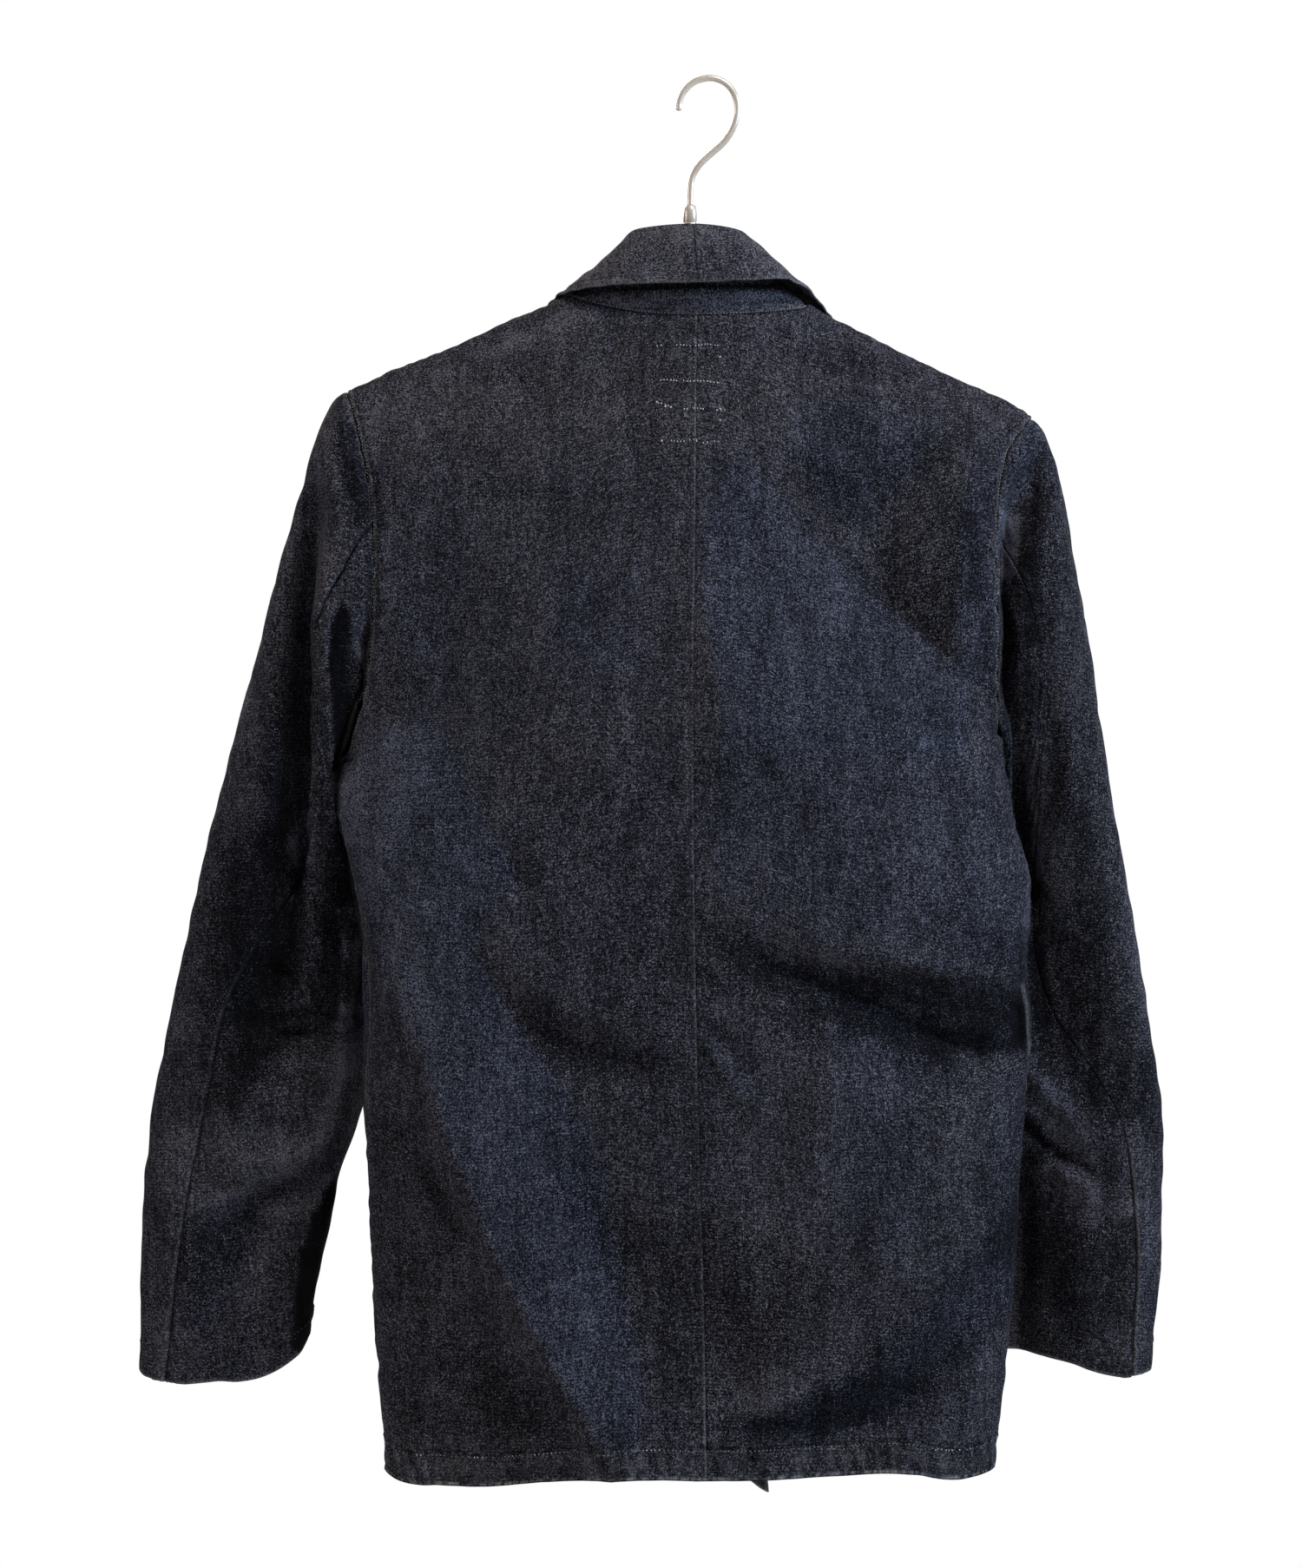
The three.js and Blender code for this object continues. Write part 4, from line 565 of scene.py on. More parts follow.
def sleeve(side, s, w, folds=True):
    s, w = np.broadcast_arrays(np.asarray(s, float), np.asarray(w, float))
    T = [f(s) for f in SLEEVE[side]]
    c = np.cos(w)
    f = (1 - c) / 2
    back = np.sin(w) >= 0
    sb = np.where(back, -1.0, 1.0)
    h = np.maximum(0, 1 - np.abs(c) ** SLEEVE_ROUND) ** (1 / SLEEVE_ROUND)
    y0 = mix(T[2], T[5], f)
    p = away(mix(T[0], T[3], f), y0)
    q = mix(T[1], T[4], f)
    q = q + (q - SIGHT_Q) * y0 / SIGHT + np.where(back, CUFF_BOW[side], 0) * h * smooth((s - 0.7) / 0.3)
    q = q + np.where(back, CUFF_SWAY[side][0](f), CUFF_SWAY[side][1](f)) * smooth((s - 0.88) / 0.12)
    y = y0 + sb * T[6] * h
    if folds:
        add = np.where(
            back,
            -folded(FOLDS_SLEEVE[side], pp(p, y), qq(q, y)),
            folded(FOLDS_SLEEVE_FRONT[side], p, q),
        )
        y = y + add * h * smooth(s / 0.035)
    P = at(p, q, y)
    t = mix(1.0, pitT[side], f)
    arm = np.where(back, SIGN[side] * arm_turn(side, t, True), SIGN[side] * (np.pi - arm_turn(side, t, False)))
    A = body(t, arm)
    Z = [float(g(0.0)) for g in SLEEVE[side]]
    start = at(mix(Z[0], Z[3], f), mix(Z[1], Z[4], f), mix(Z[2], Z[5], f) + sb * Z[6] * h)
    P = P + (A - start) * (1 - smooth(s / 0.22))[..., None]
    return clear_of_body(P, side, s)


def share(f):
    return np.arccos(1 - 2 * np.asarray(f, float))


def sleeve_surface(side, upper, s, c):
    """c runs from the front seam (0) to the back seam (1) on the top piece, and on round under it."""
    s, c = np.broadcast_arrays(np.asarray(s, float), np.asarray(c, float))
    b, f = share(SEAM_B[side](s)), share(SEAM_F(s))
    w = mix(-f, b, c) if upper else mix(b, 2 * np.pi - f, c)
    return sleeve(side, s, w)


# ------------------------------------------------------------------ meshes
def grid_normals(P):
    du = np.gradient(P, axis=1)
    dv = np.gradient(P, axis=0)
    return unit(np.cross(du, dv))


def arc(P, axis):
    d = np.linalg.norm(np.diff(P, axis=axis), axis=-1)
    z = np.zeros_like(np.take(d, [0], axis=axis))
    return np.concatenate([z, np.cumsum(d, axis=axis)], axis=axis)


MATERIALS = {}


def mesh_object(name, verts, faces_quads, faces_tris, material, attrs=None, smooth_shade=True):
    me = bpy.data.meshes.new(name)
    nq, nt = len(faces_quads), len(faces_tris)
    loops = np.concatenate([np.asarray(faces_quads, np.int32).ravel(), np.asarray(faces_tris, np.int32).ravel()])
    starts = np.concatenate([np.arange(nq) * 4, nq * 4 + np.arange(nt) * 3]).astype(np.int32)
    totals = np.concatenate([np.full(nq, 4), np.full(nt, 3)]).astype(np.int32)
    me.vertices.add(len(verts))
    me.vertices.foreach_set("co", (np.asarray(verts) * 0.001).astype(np.float32).ravel())
    me.loops.add(len(loops))
    me.loops.foreach_set("vertex_index", loops)
    me.polygons.add(nq + nt)
    me.polygons.foreach_set("loop_start", starts)
    me.polygons.foreach_set("loop_total", totals)
    me.polygons.foreach_set("use_smooth", np.full(nq + nt, smooth_shade))
    me.update(calc_edges=True)
    me.validate()
    for key, val in (attrs or {}).items():
        if val.shape[-1] == 3:
            a = me.attributes.new(key, "FLOAT_VECTOR", "POINT")
            a.data.foreach_set("vector", val.astype(np.float32).ravel())
        else:
            a = me.attributes.new(key, "FLOAT_COLOR", "POINT")
            a.data.foreach_set("color", val.astype(np.float32).ravel())
    me.materials.append(material)
    ob = bpy.data.objects.new(name, me)
    bpy.context.scene.collection.objects.link(ob)
    return ob


def panel(name, P, material, grain, marks, out_sign=1.0, thick=None, wall=WALL):
    """A closed cloth wall about a grid of points. Its outer face has every point of the grid and its inner
    face every second one. thick is the extra thickness, by point; marks are wear, tone (painted light and shade), tint
    (lean to blue) and grime with painted shade along the seams."""
    R, C = P.shape[:2]
    assert R % 2 == 1 and C % 2 == 1, name
    N = grid_normals(P) * out_sign
    extra = np.zeros((R, C)) if thick is None else thick
    outer = P + N * (wall / 2 + extra)[..., None]
    inner = (P - N * (wall / 2))[::2, ::2]
    r2, c2 = inner.shape[:2]
    n = R * C
    idx = np.arange(n).reshape(R, C)
    idn = n + np.arange(r2 * c2).reshape(r2, c2)
    qo = np.stack([idx[:-1, :-1], idx[:-1, 1:], idx[1:, 1:], idx[1:, :-1]], -1).reshape(-1, 4)
    qi = np.stack([idn[:-1, :-1], idn[1:, :-1], idn[1:, 1:], idn[:-1, 1:]], -1).reshape(-1, 4)
    ro = np.concatenate([idx[0, :-1], idx[:-1, -1], idx[-1, :0:-1], idx[:0:-1, 0]])
    ri = np.concatenate([idn[0, :-1], idn[:-1, -1], idn[-1, :0:-1], idn[:0:-1, 0]])
    tri = []
    m = len(ri)
    for k in range(m):
        a, mid, b = ro[2 * k], ro[2 * k + 1], ro[(2 * k + 2) % len(ro)]
        A, B = ri[k], ri[(k + 1) % m]
        tri += [(a, A, mid), (mid, A, B), (mid, B, b)]
    tri = np.array(tri)
    if out_sign < 0:
        qo, qi, tri = qo[:, ::-1], qi[:, ::-1], tri[:, ::-1]
    verts = np.concatenate([outer.reshape(-1, 3), inner.reshape(-1, 3)])
    g = np.concatenate([grain.reshape(-1, 3), grain[::2, ::2].reshape(-1, 3)])
    mk = np.concatenate([marks.reshape(-1, 4), marks[::2, ::2].reshape(-1, 4)])
    ob = mesh_object(name, verts, np.concatenate([qo, qi]), tri, material, {"grain": g, "marks": mk})
    return ob, outer, N


def cluster(total, step, fine=((0.0, 0.35), (3.0, 0.6), (8.0, 1.0), (12.0, None)), both=True):
    """Places from 0 to 1 across a piece of the given size, closer together near its edges."""
    def spacing(d):
        for (a, sa), (b, sb) in zip(fine[:-1], fine[1:]):
            if d < b:
                return mix(sa, step if sb is None else sb, (d - a) / (b - a))
        return step

    xs = [0.0]
    while xs[-1] < total:
        x = xs[-1]
        d = min(x, max(0.0, total - x)) if both else x
        xs.append(x + spacing(d))
    xs = np.array(xs)
    if len(xs) % 2 == 0:
        xs = np.append(xs, xs[-1] + step)
    return xs / xs[-1]


def seam_profile(d, s, wob, depth=0.75, raised=0.4, stitch=3.2, pucker=0.35):
    """Height across a seam: the groove on the seam line, the allowance under the cloth, the row of stitches
    that holds it down, and the puckers that the stitches draw. d is the distance from the seam."""
    h = -depth * np.exp(-((d / 0.9) ** 2))
    h = h + raised * smooth((d - 0.3) / 1.2) * (1 - smooth((d - 7.0) / 3.0))
    if stitch:
        h = h - 0.32 * np.exp(-(((d - stitch) / 0.8) ** 2))
    return h + pucker * wob(s, d * 0.35) * np.exp(-((d / 9.0) ** 2)) * smooth(d / 1.5)


def capsules(rows, r=0.34, length=2.5):
    """Stitches: little rounded bars, each lying on (point, along, out). Returns points and triangles."""
    ring = 6
    zs = [(-0.5, 0.0), (-0.42, 0.7), (-0.2, 1.0), (0.2, 1.0), (0.42, 0.7), (0.5, 0.0)]
    P = np.array([a[0] for a in rows])
    T = unit(np.array([a[1] for a in rows]))
    N = np.array([a[2] for a in rows])
    N = unit(N - T * (N * T).sum(-1, keepdims=True))
    B = np.cross(T, N)
    ang = np.arange(ring) * 2 * np.pi / ring
    pts = []
    for z, k in zs:
        bow = -0.55 * r * (2 * z) ** 2
        if k == 0:
            pts.append((P + T * (z * length) + N * bow)[:, None])
        else:
            pts.append(
                P[:, None] + T[:, None] * (z * length)
                + N[:, None] * (bow + r * k * np.sin(ang) * 0.85)[None, :, None]
                + B[:, None] * (r * k * np.cos(ang))[None, :, None]
            )
    V = np.concatenate(pts, 1)
    per = V.shape[1]
    tri = []
    first = [0, 1, 1 + ring, 1 + 2 * ring, 1 + 3 * ring, 1 + 4 * ring]
    for i in range(ring):
        j = (i + 1) % ring
        tri.append((0, 1 + j, 1 + i))
        for b in range(3):
            a0, a1 = first[1 + b], first[2 + b]
            tri += [(a0 + i, a0 + j, a1 + j), (a0 + i, a1 + j, a1 + i)]
        tri.append((first[5], first[4] + i, first[4] + j))
    tri = np.array(tri)
    F = (tri[None] + (np.arange(len(P)) * per)[:, None, None]).reshape(-1, 3)
    return V.reshape(-1, 3), F


def stitch_line(points, normals, pitch=3.4, skip=None, jitter=0.12, seed=1):
    """Places of stitches along a line of points."""
    L = np.concatenate([[0], np.cumsum(np.linalg.norm(np.diff(points, axis=0), axis=1))])
    n = max(1, int(L[-1] / pitch))
    r = np.random.default_rng(seed)
    s = (np.arange(n) + 0.5) * (L[-1] / n)
    s = s + r.normal(0, jitter, n)
    get = lambda A, x: np.stack([np.interp(x, L, A[:, i]) for i in range(3)], -1)
    c, t, nn = get(points, s), get(points, s + 0.7) - get(points, s - 0.7), unit(get(normals, s))
    keep = np.ones(n, bool) if skip is None else ~np.array([skip(x) for x in s / L[-1]])
    return [(c[i], t[i], nn[i]) for i in range(n) if keep[i] and np.linalg.norm(t[i]) > 1e-6]


def stitches(name, rows, material, r=0.34, length=2.5):
    V, F = capsules(rows, r, length)
    ob = mesh_object(name, V, np.zeros((0, 4), int), F, material)
    return ob


def line_on(P, N, dist, which, lift=0.1):
    """A line on a panel's outer face, dist mm in from an edge: first, last, low or high."""
    if which in ("low", "high"):
        P, N = np.swapaxes(P, 0, 1), np.swapaxes(N, 0, 1)
    if which in ("last", "high"):
        P, N = P[:, ::-1], N[:, ::-1]
    A = arc(P, 1)
    pts, nor = [], []
    for j in range(P.shape[0]):
        d = dist(j / (P.shape[0] - 1)) if callable(dist) else dist
        pts.append([np.interp(d, A[j], P[j, :, i]) for i in range(3)])
        nor.append([np.interp(d, A[j], N[j, :, i]) for i in range(3)])
    pts, nor = np.array(pts), unit(np.array(nor))
    return pts + nor * lift, nor


# ------------------------------------------------------------------ materials
def nodes_of(name):
    m = bpy.data.materials.new(name)
    m.use_nodes = True
    nt = m.node_tree
    bsdf = nt.nodes["Principled BSDF"]
    return m, nt, bsdf


def node(nt, kind, **kw):
    n = nt.nodes.new(kind)
    for k, v in kw.items():
        if k == "ins":
            for name, val in v.items():
                n.inputs[name].default_value = val
        else:
            setattr(n, k, v)
    return n


def math_node(nt, op, a, b=None, clamp=False):
    n = nt.nodes.new("ShaderNodeMath")
    n.operation = op
    n.use_clamp = clamp
    for i, v in enumerate((a, b)):
        if v is None:
            continue
        if isinstance(v, (int, float)):
            n.inputs[i].default_value = v
        else:
            nt.links.new(v, n.inputs[i])
    return n.outputs[0]


def mix_rgb(nt, fac, a, b, mode="MIX"):
    n = nt.nodes.new("ShaderNodeMix")
    n.data_type = "RGBA"
    n.blend_type = mode
    n.clamp_factor = True
    socks = {"f": n.inputs[0], "a": n.inputs[6], "b": n.inputs[7]}
    for key, v in (("f", fac), ("a", a), ("b", b)):
        if isinstance(v, (int, float)):
            socks[key].default_value = v
        elif isinstance(v, tuple):
            socks[key].default_value = (*v, 1.0)[:4]
        else:
            nt.links.new(v, socks[key])
    return n.outputs[2]


def ramp(nt, val, lo, hi):
    n = nt.nodes.new("ShaderNodeMapRange")
    n.clamp = True
    n.inputs["From Min"].default_value = lo
    n.inputs["From Max"].default_value = hi
    nt.links.new(val, n.inputs["Value"])
    return n.outputs["Result"]


def noise(nt, vec, scale, detail=2.0, rough=0.55, dims="3D"):
    n = nt.nodes.new("ShaderNodeTexNoise")
    n.noise_dimensions = dims
    n.inputs["Scale"].default_value = scale
    n.inputs["Detail"].default_value = detail
    n.inputs["Roughness"].default_value = rough
    nt.links.new(vec, n.inputs["Vector"])
    return n.outputs["Fac"]


def stretched(nt, vec, sx, sy, sz=1.0, shift=0.0):
    n = nt.nodes.new("ShaderNodeVectorMath")
    n.operation = "MULTIPLY_ADD"
    n.inputs[1].default_value = (sx, sy, sz)
    n.inputs[2].default_value = (shift, 1.7 * shift, 0.43)
    nt.links.new(vec, n.inputs[0])
    return n.outputs[0]


def denim(name, middle=(0.0238, 0.0241, 0.0302)):
    m, nt, bsdf = nodes_of(name)
    g = node(nt, "ShaderNodeAttribute", attribute_name="grain").outputs["Vector"]
    mk = node(nt, "ShaderNodeAttribute", attribute_name="marks")
    sep = node(nt, "ShaderNodeSeparateColor")
    nt.links.new(mk.outputs["Color"], sep.inputs[0])
    wear, tone, tint = sep.outputs[0], sep.outputs[1], sep.outputs[2]
    seam_grime_and_shade_mask = mk.outputs["Alpha"]

    # warp yarns: thick and thin along their length, each its own shade
    slub = noise(nt, stretched(nt, g, 0.85, 0.085, 0.06), 1.0, 3.0, 0.6)
    slub2 = noise(nt, stretched(nt, g, 0.28, 0.022, 0.04, 3.1), 1.0, 2.0, 0.5)
    weft = noise(nt, stretched(nt, g, 0.09, 0.8, 0.1, 7.7), 1.0, 2.0, 0.5)
    fleck = noise(nt, stretched(nt, g, 1.0, 1.85, 1.0, 11.3), 1.0, 2.0, 0.7)
    fleck2 = noise(nt, stretched(nt, g, 0.36, 0.40, 0.36, 17.9), 1.0, 2.0, 0.6)
    cloud = noise(nt, stretched(nt, g, 0.021, 0.017, 0.02, 23.3), 1.0, 3.0, 0.6)
    blot = noise(nt, stretched(nt, g, 0.11, 0.085, 0.1, 29.7), 1.0, 3.0, 0.62)

    # twill: fine diagonal ribs, and the picks of the weft that show between them
    dot = nt.nodes.new("ShaderNodeVectorMath")
    dot.operation = "DOT_PRODUCT"
    dot.inputs[1].default_value = (4.1, 3.3, 0.0)
    nt.links.new(g, dot.inputs[0])
    twill = math_node(nt, "SINE", dot.outputs["Value"])
    rows = nt.nodes.new("ShaderNodeVectorMath")
    rows.operation = "DOT_PRODUCT"
    rows.inputs[1].default_value = (0.16, 3.24, 0.0)
    nt.links.new(g, rows.inputs[0])
    picks = math_node(nt, "SINE", math_node(nt, "ADD", rows.outputs["Value"], math_node(nt, "MULTIPLY", fleck2, 5.0)))

    # single floats of warp and weft, each lighter or darker than its neighbours
    specks = []
    for k, (sx, sy, sh) in enumerate(((1.75, 1.15, 5.3), (1.2, 2.0, 13.9))):
        cell = nt.nodes.new("ShaderNodeVectorMath")
        cell.operation = "FLOOR"
        nt.links.new(stretched(nt, g, sx, sy, 1.0, sh), cell.inputs[0])
        wn = nt.nodes.new("ShaderNodeTexWhiteNoise")
        wn.noise_dimensions = "3D"
        nt.links.new(cell.outputs[0], wn.inputs["Vector"])
        specks.append(wn.outputs["Value"])

    f = None
    bands = noise(nt, stretched(nt, g, 0.06, 0.0085, 0.02, 37.1), 1.0, 3.0, 0.55)
    for val, mid, k in ((slub, 0.5, 1.0), (slub2, 0.5, 0.6), (bands, 0.5, 0.9), (weft, 0.5, 0.6), (fleck, 0.5, 2.55), (fleck2, 0.5, 0.3), (cloud, 0.5, 0.7), (blot, 0.5, 0.75), (twill, 0.0, 0.05), (picks, 0.0, 0.15), (specks[0], 0.5, 1.45), (specks[1], 0.5, 1.45)):
        term = math_node(nt, "MULTIPLY", math_node(nt, "SUBTRACT", val, mid), k)
        f = term if f is None else math_node(nt, "ADD", f, term)
    # tone carries the painted light and shade; where it darkens, the yarns' contrast is raised
    depth = math_node(nt, "MINIMUM", math_node(nt, "MAXIMUM", math_node(nt, "MULTIPLY", tone, -0.5), 0.0), 0.22)
    f = math_node(nt, "ADD", math_node(nt, "MULTIPLY", f, math_node(nt, "ADD", depth, 1.0)), tone)
    shade = math_node(nt, "POWER", 2.0, math_node(nt, "MULTIPLY", f, 2.1))
    shade = math_node(nt, "MINIMUM", math_node(nt, "MAXIMUM", shade, 0.08), 6.0)
    both = nt.nodes.new("ShaderNodeCombineXYZ")
    for i in range(3):
        nt.links.new(shade, both.inputs[i])
    col = mix_rgb(nt, 1.0, middle, both.outputs[0], "MULTIPLY")
    # pale yarns are nearly undyed, so they are greyer
    grey = mix_rgb(nt, 1.0, col, (1.06, 1.03, 0.93), "MULTIPLY")
    col = mix_rgb(nt, ramp(nt, shade, 1.2, 3.0), col, grey)
    # the tint mark moves the colour between blue and grey-brown: on the front, collar and lapels it is the dye's own
    # fading, on the back and sleeves it is mostly painted light, bluer where the cool light falls
    blue = mix_rgb(nt, 1.0, col, (0.925, 0.99, 1.185), "MULTIPLY")
    brown = mix_rgb(nt, 1.0, col, (1.05, 0.985, 1.0), "MULTIPLY")
    col = mix_rgb(nt, tint, brown, blue)
    # worn edges show the undyed core of the yarns
    worn = math_node(nt, "MULTIPLY", wear, ramp(nt, math_node(nt, "ADD", fleck, math_node(nt, "MULTIPLY", slub, 0.4)), 0.46, 0.86))
    worn = math_node(nt, "MULTIPLY", worn, 1.5, clamp=True)
    col = mix_rgb(nt, worn, col, (0.24, 0.235, 0.235))
    # grime with painted shade in the grooves along the seams and the hem's and cuffs' stitching
    seam_grime_and_shade = math_node(nt, "MULTIPLY", seam_grime_and_shade_mask, ramp(nt, blot, 0.3, 0.7), clamp=True)
    col = mix_rgb(nt, seam_grime_and_shade, col, (0.005, 0.005, 0.0062))
    nt.links.new(col, bsdf.inputs["Base Color"])
    rough = nt.nodes.new("ShaderNodeMapRange")
    rough.inputs["To Min"].default_value = 0.78
    rough.inputs["To Max"].default_value = 0.97
    nt.links.new(fleck, rough.inputs["Value"])
    nt.links.new(rough.outputs["Result"], bsdf.inputs["Roughness"])
    bsdf.inputs["Specular IOR Level"].default_value = 0.04
    bsdf.inputs["Sheen Weight"].default_value = 0.008
    bsdf.inputs["Sheen Roughness"].default_value = 0.45
    bsdf.inputs["Sheen Tint"].default_value = (0.75, 0.8, 1.0, 1.0)
    # relief
    hgt = math_node(nt, "MULTIPLY", fleck, 0.6)
    hgt = math_node(nt, "ADD", hgt, math_node(nt, "MULTIPLY", slub, 0.4))
    hgt = math_node(nt, "ADD", hgt, math_node(nt, "MULTIPLY", twill, 0.05))
    hgt = math_node(nt, "ADD", hgt, math_node(nt, "MULTIPLY", picks, 0.04))
    hgt = math_node(nt, "ADD", hgt, math_node(nt, "MULTIPLY", blot, 1.1))
    bump = nt.nodes.new("ShaderNodeBump")
    bump.inputs["Strength"].default_value = 0.75
    bump.inputs["Distance"].default_value = 0.0009
    nt.links.new(hgt, bump.inputs["Height"])
    nt.links.new(bump.outputs["Normal"], bsdf.inputs["Normal"])
    return m


def thread(name, a, b):
    m, nt, bsdf = nodes_of(name)
    co = node(nt, "ShaderNodeTexCoord").outputs["Object"]
    n1 = noise(nt, co, 900.0, 2.0)
    n2 = noise(nt, co, 60.0, 2.0)
    col = mix_rgb(nt, ramp(nt, math_node(nt, "ADD", math_node(nt, "MULTIPLY", n1, 0.5), math_node(nt, "MULTIPLY", n2, 0.5)), 0.35, 0.68), a, b)
    nt.links.new(col, bsdf.inputs["Base Color"])
    bsdf.inputs["Roughness"].default_value = 0.75
    bump = nt.nodes.new("ShaderNodeBump")
    bump.inputs["Strength"].default_value = 0.5
    bump.inputs["Distance"].default_value = 0.0002
    nt.links.new(n1, bump.inputs["Height"])
    nt.links.new(bump.outputs["Normal"], bsdf.inputs["Normal"])
    return m


def steel(name):
    m, nt, bsdf = nodes_of(name)
    co = node(nt, "ShaderNodeTexCoord").outputs["Object"]
    n1 = noise(nt, stretched(nt, co, 300, 300, 60), 1.0, 3.0)
    n2 = noise(nt, co, 45.0, 3.0)
    # a pale brass, paler than the metal itself: painted reflection of the white studio, which makes the wire look
    # bright
    col = mix_rgb(nt, ramp(nt, n2, 0.35, 0.7), (0.80, 0.66, 0.53), (0.92, 0.83, 0.74))
    nt.links.new(col, bsdf.inputs["Base Color"])
    bsdf.inputs["Metallic"].default_value = 0.4
    r = nt.nodes.new("ShaderNodeMapRange")
    r.inputs["To Min"].default_value = 0.2
    r.inputs["To Max"].default_value = 0.42
    nt.links.new(n1, r.inputs["Value"])
    nt.links.new(r.outputs["Result"], bsdf.inputs["Roughness"])
    bump = nt.nodes.new("ShaderNodeBump")
    bump.inputs["Strength"].default_value = 0.25
    bump.inputs["Distance"].default_value = 0.0002
    nt.links.new(n1, bump.inputs["Height"])
    nt.links.new(bump.outputs["Normal"], bsdf.inputs["Normal"])
    return m


def wood(name):
    m, nt, bsdf = nodes_of(name)
    co = node(nt, "ShaderNodeTexCoord").outputs["Object"]
    g = stretched(nt, co, 14, 260, 190)
    n1 = noise(nt, g, 1.0, 4.0, 0.6)
    n2 = noise(nt, stretched(nt, co, 60, 900, 700), 1.0, 2.0)
    col = mix_rgb(nt, ramp(nt, n1, 0.3, 0.7), (0.22, 0.125, 0.06), (0.46, 0.3, 0.165))
    col = mix_rgb(nt, ramp(nt, n2, 0.5, 0.9), col, (0.15, 0.08, 0.04))
    nt.links.new(col, bsdf.inputs["Base Color"])
    r = nt.nodes.new("ShaderNodeMapRange")
    r.inputs["To Min"].default_value = 0.35
    r.inputs["To Max"].default_value = 0.6
    nt.links.new(n2, r.inputs["Value"])
    nt.links.new(r.outputs["Result"], bsdf.inputs["Roughness"])
    bump = nt.nodes.new("ShaderNodeBump")
    bump.inputs["Strength"].default_value = 0.3
    bump.inputs["Distance"].default_value = 0.0004
    nt.links.new(n1, bump.inputs["Height"])
    nt.links.new(bump.outputs["Normal"], bsdf.inputs["Normal"])
    return m


def horn(name):
    m, nt, bsdf = nodes_of(name)
    co = node(nt, "ShaderNodeTexCoord").outputs["Object"]
    n1 = noise(nt, stretched(nt, co, 120, 120, 420), 1.0, 3.0)
    n2 = noise(nt, co, 1500.0, 2.0)
    col = mix_rgb(nt, ramp(nt, n1, 0.35, 0.7), (0.008, 0.008, 0.010), (0.05, 0.043, 0.038))
    nt.links.new(col, bsdf.inputs["Base Color"])
    r = nt.nodes.new("ShaderNodeMapRange")
    r.inputs["To Min"].default_value = 0.25
    r.inputs["To Max"].default_value = 0.5
    nt.links.new(n2, r.inputs["Value"])
    nt.links.new(r.outputs["Result"], bsdf.inputs["Roughness"])
    bump = nt.nodes.new("ShaderNodeBump")
    bump.inputs["Strength"].default_value = 0.15
    bump.inputs["Distance"].default_value = 0.0003
    nt.links.new(n1, bump.inputs["Height"])
    nt.links.new(bump.outputs["Normal"], bsdf.inputs["Normal"])
    return m


DENIM = denim("indigo_denim")
THREAD = thread("thread_grey", (0.008, 0.0082, 0.011), (0.026, 0.026, 0.030))
THREAD_MID = thread("thread_light_grey", (0.11, 0.11, 0.118), (0.29, 0.285, 0.28))
THREAD_PALE = thread("thread_pale", (0.36, 0.355, 0.345), (0.74, 0.72, 0.69))
STEEL = steel("hook_steel_wire")
WOOD = wood("hanger_wood_oiled")
HORN = horn("button_horn")

# ------------------------------------------------------------------ shared fields
CRUMPLE = Waves(11, 46, 60)
FINE = Waves(12, 17, 22)
PUCKER = Waves(13, 11, 16)
HEMWAVE = Waves(14, 13, 30)


def patch(p, q, poly, soft):
    """1 inside a given outline, 0 outside it, with a soft edge."""
    E = np.array(poly, float)
    lo, hi = E.min(0) - 3 * soft, E.max(0) + 3 * soft
    out = np.zeros(p.shape)
    near = (p > lo[0]) & (p < hi[0]) & (q > lo[1]) & (q < hi[1])
    if not near.any():
        return out
    x, y = p[near], q[near]
    d2 = np.full(x.shape, 1e18)
    odd = np.zeros(x.shape, bool)
    for (ax, ay), (bx, by) in zip(E, np.roll(E, -1, 0)):
        dx, dy = bx - ax, by - ay
        s = np.clip(((x - ax) * dx + (y - ay) * dy) / (dx * dx + dy * dy), 0, 1)
        d2 = np.minimum(d2, (x - ax - s * dx) ** 2 + (y - ay - s * dy) ** 2)
        if ay != by:
            odd ^= ((ay > y) != (by > y)) & (x < (bx - ax) * (y - ay) / (by - ay) + ax)
    sd = np.where(odd, 1.0, -1.0) * np.sqrt(d2)
    out[near] = smooth((sd + soft) / (2 * soft))
    return out
